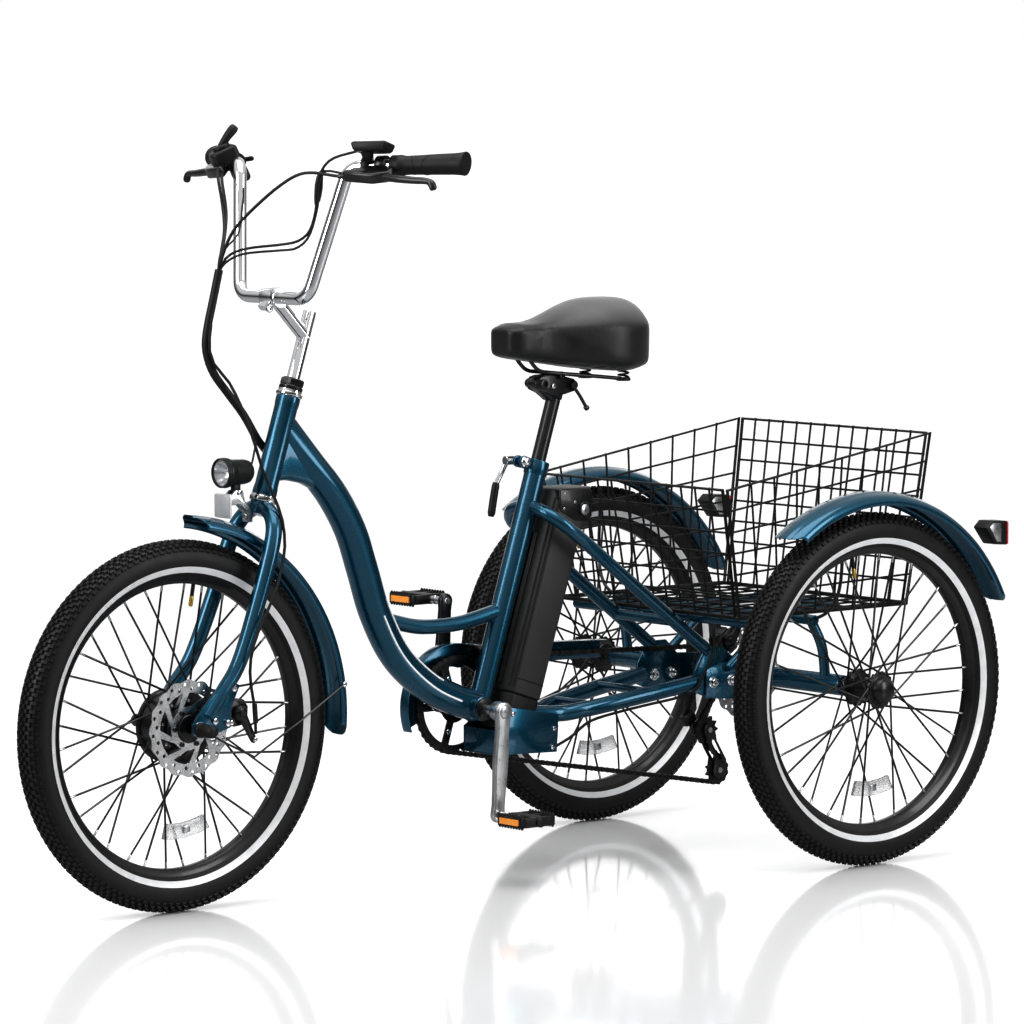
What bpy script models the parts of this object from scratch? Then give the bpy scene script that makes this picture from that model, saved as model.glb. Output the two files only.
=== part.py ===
"""Adult electric tricycle: step-through frame, two rear wheels on one axle, and a wire basket.

Metres, +Z up, +X forward, +Y to the rider's left. Places are measured from the front wheel's
ground contact, and one empty at the end moves the whole tricycle so that its box is centred.
"""
from math import acos, atan2, ceil, cos, hypot, pi, radians, sin, sqrt, tan

import bmesh
import bpy
from mathutils import Matrix, Vector
from mathutils.geometry import delaunay_2d_cdt

# Driving dimensions
WHEEL_RADIUS = 0.305
WHEELBASE = 1.220
HALF_TRACK = 0.360
HEAD_ANGLE = radians(72.0)
SEAT_ANGLE = radians(72.0)
REAR_REACH = 1.5440
FRONT_AXLE_X = (REAR_REACH - WHEEL_RADIUS) / 2

WELD = 0.00001
GAP = 0.0003
FACETS = 24
FLAT_DOWN = pi / 2 + pi / FACETS
SPOKES = 36
SPOKE_RADIUS = 0.0011
RIM_BED = 0.2340

HEAD_POINT = Vector((-0.1866, 0.0, 0.6725))
HEAD_TUBE_Z = (0.6720, 0.8320)
HEAD_TUBE_RADIUS = 0.0195
SEAT_POINT = Vector((-0.7829, 0.0, 0.7090))
SEAT_TUBE_TOP = 0.6970
SEAT_TUBE_RADIUS = 0.0190
SEAT_POST_RADIUS = 0.0127
MAIN_TUBE_RADIUS = 0.027
STAY_RADIUS = 0.0115
STAY_Y = 0.0746
PLATE_THICKNESS = 0.005
SUBFRAME_PLATE_Y = STAY_Y + PLATE_THICKNESS + GAP

BB = Vector((-0.630, 0.0, 0.286))
CRANK_LENGTH = 0.175
CRANK_TILT = radians(4.0)
CHAIN_PITCH = 0.0127
CHAIN_Y = -0.045
CHAIN_HALF_HEIGHT = 0.0038
CHAIN_HALF_WIDTH = 0.0036
RING_TEETH = 40
COG_TEETH = 20
PULLEY_TEETH = 11

AXLE = Vector((-WHEELBASE, 0.0, WHEEL_RADIUS))
AXLE_RADIUS = 0.0085
ROTOR_RADIUS = 0.080
FRONT_ROTOR_Y = 0.0396
REAR_ROTOR_Y = 0.0480
FORK_HALF = 0.066

BAR_RADIUS = 0.0111
GRIP_SWEEP = radians(26.0)
BAR_CORNER = Vector((-0.2513, 0.1454, 1.2130))
BAR_CLAMP = Vector((-0.2080, 0.0, 0.9970))
GRIP_START = 0.0775
GRIP_END = 0.208
LEVER_DROP = radians(25.0)

BATTERY_HALF = 0.038
BATTERY_NEAR = 0.0275
BATTERY_FAR = 0.1080
BATTERY_LOW = 0.3220
BATTERY_TOP = 0.6520

BASKET_FLOOR_Z = 0.4292
WIRE = 0.0030

SADDLE_NOSE = -0.6901
SADDLE_TAIL = -0.9914
SADDLE_PIVOT = Vector((-0.7760, 0.0, 0.8320))

TEAL = (0.015, 0.135, 0.235)
BLACK = (0.012, 0.012, 0.013)
RUBBER = (0.020, 0.020, 0.021)
CHROME = (0.82, 0.83, 0.85)
STEEL = (0.55, 0.56, 0.58)
RED = (0.55, 0.02, 0.02)


# Scene set-up
for old in list(bpy.data.objects):
    bpy.data.objects.remove(old, do_unlink=True)
PARTS = bpy.data.collections.new("adult_tricycle")
CUTTERS = bpy.data.collections.new("cutters")
bpy.context.scene.collection.children.link(PARTS)
bpy.context.scene.collection.children.link(CUTTERS)


def material(name, colour, roughness, metallic):
    """A Principled material with one colour."""
    made = bpy.data.materials.new(name)
    made.use_nodes = True
    shader = made.node_tree.nodes["Principled BSDF"]
    shader.inputs["Base Color"].default_value = (*colour, 1.0)
    shader.inputs["Roughness"].default_value = roughness
    shader.inputs["Metallic"].default_value = metallic
    return made


# Modelling helpers
def link(name, data):
    obj = bpy.data.objects.new(name, data)
    PARTS.objects.link(obj)
    return obj


def plain_mesh(obj, name):
    """The object as it evaluates, welded, in world space, under a new name."""
    bpy.context.view_layer.update()
    graph = bpy.context.evaluated_depsgraph_get()
    mesh = bpy.data.meshes.new_from_object(obj.evaluated_get(graph))
    mesh.transform(obj.matrix_world)
    work = bmesh.new()
    work.from_mesh(mesh)
    bmesh.ops.remove_doubles(work, verts=work.verts, dist=WELD)
    bmesh.ops.dissolve_limit(work, angle_limit=radians(0.1), verts=work.verts, edges=work.edges)
    bmesh.ops.recalc_face_normals(work, faces=work.faces)
    work.to_mesh(mesh)
    work.free()
    bpy.data.objects.remove(obj, do_unlink=True)
    made = link(name, mesh)
    made.data.name = name
    return made


def along(direction):
    """Rotation that turns +Z to a direction."""
    return Vector(direction).to_track_quat("Z", "Y").to_matrix().to_4x4()


def cylinder(name, start, end, radius, sides=16, end_radius=None):
    """A round bar, or a cone, between two points."""
    start = Vector(start)
    end = Vector(end)
    work = bmesh.new()
    frame = Matrix.Translation((start + end) / 2) @ along(end - start)
    tip = radius if end_radius is None else end_radius
    bmesh.ops.create_cone(work, cap_ends=True, segments=sides, radius1=radius, radius2=tip,
                          depth=(end - start).length, matrix=frame)
    mesh = bpy.data.meshes.new(name)
    work.to_mesh(mesh)
    work.free()
    return link(name, mesh)


def block(name, centre, size, turn=None, bevel=0.0):
    """A box, with its long edges rounded where a bevel is given."""
    work = bmesh.new()
    frame = Matrix.Translation(Vector(centre)) @ (turn or Matrix.Identity(4))
    bmesh.ops.create_cube(work, size=1.0, matrix=Matrix.Diagonal((*size, 1.0)))
    if bevel:
        bmesh.ops.bevel(work, geom=work.edges[:], offset=bevel, segments=1, affect="EDGES")
    bmesh.ops.transform(work, matrix=frame, verts=work.verts)
    mesh = bpy.data.meshes.new(name)
    work.to_mesh(mesh)
    work.free()
    return link(name, mesh)


def tube(name, path, radius, sides=10, radii=None, closed=False):
    """A round tube along a path of points."""
    curve = bpy.data.curves.new(name, "CURVE")
    curve.dimensions = "3D"
    curve.bevel_depth = radius
    curve.bevel_resolution = (sides - 4) // 2
    curve.use_fill_caps = True
    spline = curve.splines.new("POLY")
    spline.points.add(len(path) - 1)
    spline.use_cyclic_u = closed
    for index, place in enumerate(path):
        spline.points[index].co = (*place, 1.0)
        spline.points[index].radius = radii[index] if radii else 1.0
    return plain_mesh(link(name + "_path", curve), name)


def filled(loops, spot):
    """Whether a spot lies inside an odd number of loops."""
    crossings = 0
    for loop in loops:
        for (ax, ay), (bx, by) in zip(loop, [*loop[1:], loop[0]]):
            if (ay > spot.y) != (by > spot.y):
                crossings += spot.x < ax + (bx - ax) * (spot.y - ay) / (by - ay)
    return crossings % 2 == 1


def sheet(name, loops, thickness, frame):
    """A plate with an outline and holes, drawn in a frame's x and y and as thick each side of it."""
    points = []
    edges = []
    for loop in loops:
        base = len(points)
        points += [Vector((x, y)) for x, y in loop]
        edges += [(base + i, base + (i + 1) % len(loop)) for i in range(len(loop))]
    spots, _, faces, _, _, _ = delaunay_2d_cdt(points, edges, [], 0, 0.000001)
    faces = [face for face in faces if filled(loops, sum((spots[i] for i in face), Vector((0, 0))) / 3)]
    work = bmesh.new()
    low = [work.verts.new(frame @ Vector((x, y, -thickness / 2))) for x, y in spots]
    high = [work.verts.new(frame @ Vector((x, y, thickness / 2))) for x, y in spots]
    for face in faces:
        work.faces.new([high[i] for i in face])
        work.faces.new([low[i] for i in reversed(face)])
    partner = {a: b for a, b in zip(low, high)}
    for edge in [e for e in work.edges if len(e.link_faces) == 1]:
        a, b = edge.verts
        if a in partner and b in partner:
            work.faces.new((a, b, partner[b], partner[a]))
    bmesh.ops.recalc_face_normals(work, faces=work.faces)
    mesh = bpy.data.meshes.new(name)
    work.to_mesh(mesh)
    work.free()
    return link(name, mesh)


def flat(name, outline, thickness, y, holes=()):
    """A plate cut to an outline of (x, z) points, centred on a plane of constant y."""
    frame = Matrix.Translation((0.0, y, 0.0)) @ Matrix.Rotation(pi / 2, 4, "X")
    return sheet(name, [outline, *holes], thickness, frame)


def turned(name, profile, centre, steps=FACETS, closed=True, arc=2 * pi, start=0.0, wall=0.0):
    """A profile of (radius, offset) points turned about the Y direction through a centre."""
    mesh = bpy.data.meshes.new(name)
    edges = [(i, i + 1) for i in range(len(profile) - 1)]
    if closed:
        edges.append((len(profile) - 1, 0))
    mesh.from_pydata([(radius, 0.0, offset) for radius, offset in profile], edges, [])
    body = link(name + "_profile", mesh)
    screw = body.modifiers.new("turn", "SCREW")
    screw.axis = "Z"
    screw.angle = arc
    screw.steps = steps
    screw.render_steps = steps
    screw.use_merge_vertices = True
    screw.merge_threshold = WELD
    if wall:
        shell = body.modifiers.new("wall", "SOLIDIFY")
        shell.thickness = wall
        shell.offset = 0.0
    spin = Matrix.Rotation(start, 4, "Z")
    body.matrix_world = Matrix.Translation(centre) @ Matrix.Rotation(-pi / 2, 4, "X") @ spin
    return plain_mesh(body, name)


def boolean(name, body, tools, operation):
    for tool in tools:
        step = body.modifiers.new(operation.lower(), "BOOLEAN")
        step.operation = operation
        step.solver = "EXACT"
        step.object = tool
    made = plain_mesh(body, name + "_made")
    for tool in tools:
        bpy.data.objects.remove(tool, do_unlink=True)
    made.name = name
    made.data.name = name
    return made


def fuse(name, pieces):
    """Weld several solids into one."""
    return boolean(name, pieces[0], pieces[1:], "UNION")


def cut(name, body, cutters):
    """Take cutters away from a solid."""
    for tool in cutters:
        PARTS.objects.unlink(tool)
        CUTTERS.objects.link(tool)
        tool.hide_render = True
        tool.display_type = "WIRE"
    return boolean(name, body, cutters, "DIFFERENCE")


def mirrored(obj, name):
    """A copy of a solid on the other side of the middle plane."""
    mesh = obj.data.copy()
    mesh.transform(Matrix.Scale(-1.0, 4, (0.0, 1.0, 0.0)))
    mesh.flip_normals()
    return link(name, mesh)


# Path helpers
def smooth(points, steps):
    """Points on a Catmull-Rom curve through the given ones."""
    points = [Vector(p) for p in points]
    padded = [2 * points[0] - points[1], *points, 2 * points[-1] - points[-2]]
    path = []
    for i in range(1, len(padded) - 2):
        before, here, there, after = padded[i - 1:i + 3]
        for k in range(steps):
            t = k / steps
            path.append(0.5 * (2 * here + (there - before) * t
                               + (2 * before - 5 * here + 4 * there - after) * t ** 2
                               + (3 * here - before - 3 * there + after) * t ** 3))
    path.append(points[-1])
    return path


def filleted(corners, radius, steps=3):
    """A path of straight runs with round bends at its inner corners."""
    corners = [Vector(c) for c in corners]
    path = [corners[0]]
    for before, here, after in zip(corners, corners[1:], corners[2:]):
        back = (before - here).normalized()
        ahead = (after - here).normalized()
        half = back.angle(ahead) / 2
        reach = radius / tan(half)
        centre = here + (back + ahead).normalized() * (radius / sin(half))
        first = here + back * reach - centre
        last = here + ahead * reach - centre
        sweep = first.angle(last)
        for k in range(steps + 1):
            t = k / steps
            path.append(centre + (first * sin((1 - t) * sweep) + last * sin(t * sweep)) / sin(sweep))
    path.append(corners[-1])
    return path


def circle(x, z, radius, count, start=0.0, end=2 * pi):
    """Points of (x, z) round a circle, or along an arc of it."""
    whole = abs(end - start - 2 * pi) < 1e-6
    span = count if whole else count - 1
    return [(x + radius * cos(start + (end - start) * i / span),
             z + radius * sin(start + (end - start) * i / span)) for i in range(count)]


def pitch_radius(teeth):
    return CHAIN_PITCH / (2 * sin(pi / teeth))


def sprocket_outline(x, z, teeth, phase=0.0):
    """Zigzag outline whose tips stay inside the chain's inner edge."""
    tip = (pitch_radius(teeth) - CHAIN_HALF_HEIGHT) * cos(pi / teeth) - GAP
    outline = []
    for i in range(2 * teeth):
        radius = tip if i % 2 == 0 else tip - 0.0045
        angle = phase + pi * i / teeth
        outline.append((x + radius * cos(angle), z + radius * sin(angle)))
    return outline


def window(x, z, inner, outer, start, end, steps=3):
    """An opening between two radii and two angles."""
    return circle(x, z, outer, steps, start, end) + circle(x, z, inner, steps, end, start)


def head_axis(z):
    return Vector((HEAD_POINT.x - (z - HEAD_POINT.z) / tan(HEAD_ANGLE), 0.0, z))


def seat_axis(z):
    return Vector((SEAT_POINT.x - (z - SEAT_POINT.z) / tan(SEAT_ANGLE), 0.0, z))


SEAT_BACK = Vector((-sin(SEAT_ANGLE), 0.0, -cos(SEAT_ANGLE)))
Y = Vector((0.0, 1.0, 0.0))


# Wheels
def tyre(name, centre):
    """Tyre with a flat tread, closed at its beads; a facet of it stands on the ground."""
    half = [(0.2445, 0.0116), (0.2740, 0.0268)]
    tread = [(0.2965, 0.0210), (WHEEL_RADIUS, 0.0100), (WHEEL_RADIUS, -0.0100), (0.2965, -0.0210)]
    profile = half + tread + [(r, -y) for r, y in reversed(half)]
    flat_scale = 1 / cos(pi / FACETS)
    profile = [(r * flat_scale, y) for r, y in profile]
    return turned(name, profile, centre, start=FLAT_DOWN)


def rim(name, centre):
    """Deep single-wall rim: two flanges that hold the beads, and a bed for the spokes."""
    half = [(RIM_BED, 0.0085), (0.2480, 0.0148), (0.2438, 0.0122)]
    profile = half + [(r, -y) for r, y in reversed(half)]
    flat_scale = 1 / cos(pi / FACETS)
    return turned(name, [(r * flat_scale, y) for r, y in profile], centre, start=FLAT_DOWN)


def laced_hub(name, centre, profile, flange_radius, flange_y, cross, steps):
    """A hub with its crossed spokes: every other spoke leans forward, on both flanges."""
    shell = turned(name + "_shell", profile, centre, steps=steps)
    work = bmesh.new()
    for i in range(SPOKES):
        side = 1 if i % 2 else -1
        lean = 1 if (i // 2) % 2 else -1
        rim_angle = 2 * pi * (i + 0.5) / SPOKES
        hub_angle = rim_angle + lean * cross
        hub_y = side * (flange_y + lean * 1.8 * SPOKE_RADIUS)
        start = Vector((flange_radius * cos(hub_angle), hub_y, flange_radius * sin(hub_angle)))
        reach = RIM_BED - GAP
        end = Vector((reach * cos(rim_angle), side * 0.003, reach * sin(rim_angle)))
        frame = Matrix.Translation(Vector(centre) + (start + end) / 2) @ along(end - start)
        bmesh.ops.create_cone(work, cap_ends=True, segments=3, radius1=SPOKE_RADIUS,
                              radius2=SPOKE_RADIUS, depth=(end - start).length, matrix=frame)
    mesh = bpy.data.meshes.new(name + "_spokes")
    work.to_mesh(mesh)
    work.free()
    return fuse(name, [shell, link(name + "_spokes", mesh)])


MOTOR_PROFILE = [(0.0220, 0.0430), (0.0220, 0.0383), (0.0300, 0.0383), (0.0330, 0.0270),
                 (0.0560, 0.0255), (0.0600, 0.0230), (0.0600, -0.0230), (0.0560, -0.0255),
                 (0.0330, -0.0300), (0.0200, -0.0340), (0.0080, -0.0340), (0.0080, 0.0430)]
HUB_PROFILE = [(0.0, 0.0500), (0.0165, 0.0475), (0.0235, 0.0380), (0.0240, 0.0302), (0.0310, 0.0300),
               (0.0310, 0.0250), (0.0190, 0.0220), (0.0190, -0.0220), (0.0310, -0.0250), (0.0310, -0.0300),
               (0.0180, -0.0360), (0.0094, -0.0360), (0.0094, 0.0295), (0.0, 0.0295)]


def rotor(name, centre, bore):
    """Brake disc: a ring carried on six slanted arms from a bolted middle."""
    arms = 6
    outer = circle(centre.x, centre.z, ROTOR_RADIUS, 24)
    holes = [circle(centre.x, centre.z, bore, 10)]
    for i in range(arms):
        start = 2 * pi * i / arms
        holes.append(circle(centre.x, centre.z, 0.062, 3, start, start + 0.72)
                     + circle(centre.x, centre.z, 0.036, 3, start + 0.36, start - 0.30))
    return flat(name, outer, 0.0020, centre.y, holes)


# Front wheel, on the fork's axle
FRONT = Vector((0.0, 0.0, WHEEL_RADIUS))
front_hub = laced_hub("front_hub", FRONT, MOTOR_PROFILE, 0.0555, 0.0215, radians(38), 14)
front_rim = rim("front_rim", FRONT)
front_tyre = tyre("front_tyre", FRONT)
front_rotor = rotor("front_rotor", FRONT + Y * FRONT_ROTOR_Y, 0.0245)
axle_profile = [(0.0, 0.1080), (0.0105, 0.1060), (0.0110, FORK_HALF + 0.0034), (0.0060, FORK_HALF + 0.0034)]
front_axle = turned("front_axle", axle_profile + [(r, -y) for r, y in reversed(axle_profile)],
                    FRONT, steps=8, closed=False)

# Rear wheels, axle and rotor
rear_sets = []
for side, sign in (("left", 1), ("right", -1)):
    centre = AXLE + Y * sign * HALF_TRACK
    profile = [(r, sign * y) for r, y in HUB_PROFILE]
    hub = laced_hub(side + "_hub", centre, profile, 0.0275, 0.0278, radians(60.5), 12)
    rear_sets.append([hub, rim(side + "_rim", centre), tyre(side + "_tyre", centre)])
left_wheel, right_wheel = rear_sets
rear_axle = cylinder("rear_axle", AXLE - Y * 0.3880, AXLE + Y * 0.3880, AXLE_RADIUS, 12)
rear_rotor = rotor("rear_rotor", AXLE + Y * REAR_ROTOR_Y, 0.0094)


# Front frame: one weldment
def stays(sign):
    """Seat stay and chain stay of one side."""
    side = Vector((1.0, sign, 1.0))
    top = [(-0.7560, 0.0080, 0.6235), (-0.7600, 0.0460, 0.6130), (-0.7800, 0.0700, 0.5925),
           (-0.8150, STAY_Y, 0.5667), (-1.1050, STAY_Y, 0.3545)]
    bottom = [(-0.6480, 0.0180, 0.2810), (-0.7850, 0.0280, 0.2650), (-0.8400, 0.0450, 0.2690),
              (-0.9400, 0.0620, 0.2830), (-1.0850, STAY_Y, 0.3020)]
    seat_stay = smooth([Vector(p) * side for p in top[:4]], 2) + [Vector(top[4]) * side]
    chain_stay = [Vector(p) * side for p in bottom]
    plate = [(-1.0720, 0.2850), (-1.0720, 0.3200), (-1.0950, 0.3600), (-1.1400, 0.3600),
             (-1.1720, 0.3300), (-1.1720, 0.2780), (-1.1000, 0.2740)]
    return [tube("seat_stay", seat_stay, STAY_RADIUS, 8), tube("chain_stay", chain_stay, 0.0140, 8),
            flat("dropout_plate", plate, PLATE_THICKNESS, sign * STAY_Y)]


main_path = smooth([(-0.2220, 0, 0.7870), (-0.2809, 0, 0.7195), (-0.3292, 0, 0.6650),
                    (-0.3673, 0, 0.6042), (-0.3930, 0, 0.5358), (-0.4203, 0, 0.4600),
                    (-0.4633, 0, 0.3880), (-0.5250, 0, 0.3345), (-0.5880, 0, 0.3040),
                    (-0.6380, 0, 0.2880)], 1)
top_path = smooth([(-0.4280, 0, 0.4525), (-0.4959, 0, 0.4350), (-0.5395, 0, 0.4300),
                   (-0.5944, 0, 0.4310), (-0.6386, 0, 0.4368), (-0.7020, 0, 0.4500)], 1)
gusset_outline = [(-0.1960, 0.6940), (-0.2260, 0.7800), (-0.2620, 0.7420), (-0.3150, 0.6820),
                  (-0.2960, 0.6720), (-0.2620, 0.6880), (-0.2280, 0.6950)]
frame_pieces = [
    cylinder("head_tube", head_axis(HEAD_TUBE_Z[0]), head_axis(HEAD_TUBE_Z[1]), HEAD_TUBE_RADIUS, 12),
    tube("main_tube", main_path, MAIN_TUBE_RADIUS, 10),
    flat("gusset", gusset_outline, 0.030, 0.0),
    tube("top_tube", top_path, 0.0127, 8),
    cylinder("seat_tube", seat_axis(0.2800), seat_axis(SEAT_TUBE_TOP), SEAT_TUBE_RADIUS, 12),
    cylinder("bottom_bracket", BB - Y * 0.0340, BB + Y * 0.0340, 0.0210, 12),
    cylinder("stay_bridge", (-1.0240, -STAY_Y, 0.4130), (-1.0240, STAY_Y, 0.4130), 0.0095, 8),
    cylinder("front_bridge", (-0.8560, -0.0480, 0.2780), (-0.8560, 0.0480, 0.2780), 0.0060, 8),
    cylinder("rear_bridge", (-0.9700, -0.0660, 0.2930), (-0.9700, 0.0660, 0.2930), 0.0070, 8),
]
for sign in (1, -1):
    frame_pieces += stays(sign)
    ear = circle(-0.7420, 0.7000, 0.0105, 7, radians(-90), radians(90))
    ear += [(-0.7740, 0.6950), (-0.7740, 0.6820)]
    frame_pieces.append(flat("clamp_ear", ear, 0.006, sign * 0.0085))
main_frame = fuse("main_frame", frame_pieces)
main_frame = cut("main_frame", main_frame, [
    cylinder("head_bore", head_axis(HEAD_TUBE_Z[0] - 0.05), head_axis(HEAD_TUBE_Z[1] + 0.05), 0.0150, 12),
    cylinder("seat_bore", seat_axis(0.4850), seat_axis(SEAT_TUBE_TOP + 0.05), 0.0133, 12),
    cylinder("spindle_bore", BB - Y * 0.05, BB + Y * 0.05, 0.0125, 12),
])

# Rear subframe: axle housings, plates, basket bearers and fender stays
BEARER_Z = 0.4175
subframe_pieces = [
    cylinder("front_bearer", (-1.0660, -0.2300, BEARER_Z), (-1.0660, 0.2300, BEARER_Z), 0.0092, 8),
    cylinder("middle_bearer", (-1.1870, -0.2640, BEARER_Z - 0.0006), (-1.1870, 0.2640, BEARER_Z - 0.0006),
             0.0090, 8),
    cylinder("rear_bearer", (-1.3850, -0.1050, BEARER_Z), (-1.3850, 0.1050, BEARER_Z), 0.0092, 8),
]
for sign in (1, -1):
    side = Vector((1.0, sign, 1.0))
    plate = [(-1.0960, 0.2720), (-1.0960, 0.3220), (-1.1250, 0.3320), (-1.1700, 0.3340),
             (-1.2400, 0.3300), (-1.2480, 0.3050), (-1.2380, 0.2740), (-1.1900, 0.2640)]
    upright = smooth([Vector(p) * side for p in
                      [(-1.2150, 0.2580, 0.3100), (-1.2060, 0.2580, 0.3700), (-1.1870, 0.2500, BEARER_Z)]], 2)
    strut = [Vector(p) * side for p in [(-1.1400, 0.0880, 0.3220), (-1.2620, 0.0880, BEARER_Z)]]
    rail = [Vector(p) * side for p in [(-1.0610, 0.0880, BEARER_Z - 0.0004),
                                       (-1.3930, 0.0880, BEARER_Z - 0.0004)]]
    fender_stay = smooth([Vector(p) * side for p in
                          [(-1.1870, 0.2560, BEARER_Z), (-1.1900, 0.2960, 0.4400),
                           (-1.1950, 0.3160, 0.4900), (-1.2000, 0.3165, 0.6140)]], 2)
    subframe_pieces += [
        flat("axle_plate", plate, PLATE_THICKNESS, sign * SUBFRAME_PLATE_Y),
        cylinder("axle_housing", AXLE + Y * sign * 0.0790, AXLE + Y * sign * 0.3000, 0.0180, 12),
        tube("upright", upright, 0.0090, 6),
        cylinder("strut", strut[0], strut[1], 0.0080, 6),
        cylinder("rail", rail[0], rail[1], 0.0086, 6),
        tube("fender_stay", fender_stay, 0.0042, 6),
    ]
rear_subframe = fuse("rear_subframe", subframe_pieces)
rear_subframe = cut("rear_subframe", rear_subframe, [
    cylinder("axle_bore", AXLE - Y * 0.3200, AXLE + Y * 0.3200, 0.0104, 12)])


# Fenders
def fender(name, centre, profile, start, end, steps):
    """An arched strip over a wheel, between two angles from the forward direction."""
    return turned(name, profile, centre, steps=steps, closed=False, arc=end - start, start=-end, wall=0.0016)


def arched(crown, edge, half):
    """Section of a fender: a round crown with short skirts."""
    right = [(edge, half), (crown - 0.0055, half * 0.72)]
    return right + [(crown, half * 0.26), (crown, -half * 0.26)] + [(r, -y) for r, y in reversed(right)]


front_fender = fender("front_fender", FRONT, arched(0.344, 0.324, 0.033), radians(95), radians(187), 10)
left_fender = fender("left_fender", AXLE + Y * HALF_TRACK, arched(0.340, 0.320, 0.036),
                     radians(53), radians(157), 10)
right_fender = mirrored(left_fender, "right_fender")

# Tail reflectors: a wedge bracket with a red rear face
reflector_outline = [(-1.4700, 0.5680), (-1.4900, 0.5800), (-1.5440, 0.5780), (-1.5440, 0.5360),
                     (-1.5050, 0.5380)]
left_tail_reflector = flat("left_tail_reflector", reflector_outline, 0.034, HALF_TRACK)
right_tail_reflector = flat("right_tail_reflector", reflector_outline, 0.034, -HALF_TRACK)


# Basket: five wire panels
def grille(name, low_left, low_right, high_right, high_left, columns, rows):
    """A flat wire panel between four corners: a frame with bars that fan evenly between its edges."""
    corners = [Vector(c) for c in (low_left, low_right, high_right, high_left)]
    along_x = (corners[1] - corners[0]).normalized()
    normal = along_x.cross(corners[3] - corners[0]).normalized()
    along_y = normal.cross(along_x)
    spots = [((c - corners[0]).dot(along_x), (c - corners[0]).dot(along_y)) for c in corners]

    def at(u, v):
        weights = ((1 - u) * (1 - v), u * (1 - v), u * v, (1 - u) * v)
        return Vector([sum(w * s[k] for w, s in zip(weights, spots)) for k in (0, 1)])

    loops = [[at(0, 0), at(1, 0), at(1, 1), at(0, 1)]]
    for i in range(columns):
        for j in range(rows):
            cell = [at((i + a) / columns, (j + b) / rows) for a, b in ((0, 0), (1, 0), (1, 1), (0, 1))]
            middle = sum(cell, Vector((0.0, 0.0))) / 4
            wide = 1 - WIRE / (cell[1] - cell[0]).length
            tall = 1 - WIRE / (cell[3] - cell[0]).length
            loops.append([middle + Vector(((c - middle).x * wide, (c - middle).y * tall)) for c in cell])
    axes = Matrix((along_x, along_y, normal)).transposed().to_4x4()
    return sheet(name, loops, WIRE, Matrix.Translation(corners[0]) @ axes)


FRONT_LOW = -1.0310
FRONT_HIGH = -0.9920
REAR_LOW = -1.4300
REAR_HIGH = -1.4750
LOW_HALF = 0.2370
HIGH_HALF = 0.2480
PANEL_LOW = BASKET_FLOOR_Z + 0.0020
FRONT_TOP = 0.6520
REAR_TOP = 0.7280
CORNER = 0.0030
FLOOR_CORNERS = [(FRONT_LOW, LOW_HALF, BASKET_FLOOR_Z), (FRONT_LOW, -LOW_HALF, BASKET_FLOOR_Z),
                 (REAR_LOW, -LOW_HALF, BASKET_FLOOR_Z), (REAR_LOW, LOW_HALF, BASKET_FLOOR_Z)]
FRONT_CORNERS = [(FRONT_LOW, LOW_HALF - CORNER, PANEL_LOW), (FRONT_LOW, CORNER - LOW_HALF, PANEL_LOW),
                 (FRONT_HIGH, CORNER - HIGH_HALF, FRONT_TOP), (FRONT_HIGH, HIGH_HALF - CORNER, FRONT_TOP)]
REAR_CORNERS = [(REAR_LOW, CORNER - LOW_HALF, PANEL_LOW), (REAR_LOW, LOW_HALF - CORNER, PANEL_LOW),
                (REAR_HIGH, HIGH_HALF - CORNER, REAR_TOP), (REAR_HIGH, CORNER - HIGH_HALF, REAR_TOP)]
LEFT_CORNERS = [(FRONT_LOW, LOW_HALF, PANEL_LOW), (REAR_LOW, LOW_HALF, PANEL_LOW),
                (REAR_HIGH, HIGH_HALF, REAR_TOP), (FRONT_HIGH, HIGH_HALF, FRONT_TOP)]
basket_floor = grille("basket_floor", *FLOOR_CORNERS, 5, 5)
basket_front = grille("basket_front", *FRONT_CORNERS, 6, 3)
basket_rear = grille("basket_rear", *REAR_CORNERS, 6, 4)
basket_left = grille("basket_left", *LEFT_CORNERS, 5, 4)
basket_right = mirrored(basket_left, "basket_right")

# Controller box: a folded tray round the chain stays, open at the top, and the battery on its rail
box_outline = [(-0.6460, 0.2060), (-0.7840, 0.2010), (-0.7880, 0.2500), (-0.6780, 0.2860),
               (-0.6560, 0.2560), (-0.6460, 0.2500)]
tray = flat("tray", box_outline, 0.0850, 0.0025)
hollow_outline = [(-0.6300, 0.2090), (-0.8000, 0.2045), (-0.8000, 0.3200), (-0.6300, 0.3200)]
controller_box = cut("controller_box", tray, [flat("tray_hollow", hollow_outline, 0.0800, 0.0025)])


def battery_section(near, far, half, chamfer):
    """Outline of the battery across its length: (back, side) with its front corners cut."""
    side = [(near, half - chamfer), (near + chamfer * 0.7, half), (far - 0.010, half), (far, half - 0.012)]
    return side + [(back, -reach) for back, reach in reversed(side)]


def prism_up_seat(name, section, low, high):
    """A section carried along the seat tube between two heights on its axis."""
    work = bmesh.new()
    base = seat_axis(low)
    rise = seat_axis(high) - base
    ring = [work.verts.new(base + SEAT_BACK * back + Y * side) for back, side in section]
    face = work.faces.new(ring)
    lifted = bmesh.ops.extrude_face_region(work, geom=[face])
    tops = [v for v in lifted["geom"] if isinstance(v, bmesh.types.BMVert)]
    bmesh.ops.translate(work, verts=tops, vec=rise)
    bmesh.ops.recalc_face_normals(work, faces=work.faces)
    mesh = bpy.data.meshes.new(name)
    work.to_mesh(mesh)
    work.free()
    return link(name, mesh)


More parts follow.
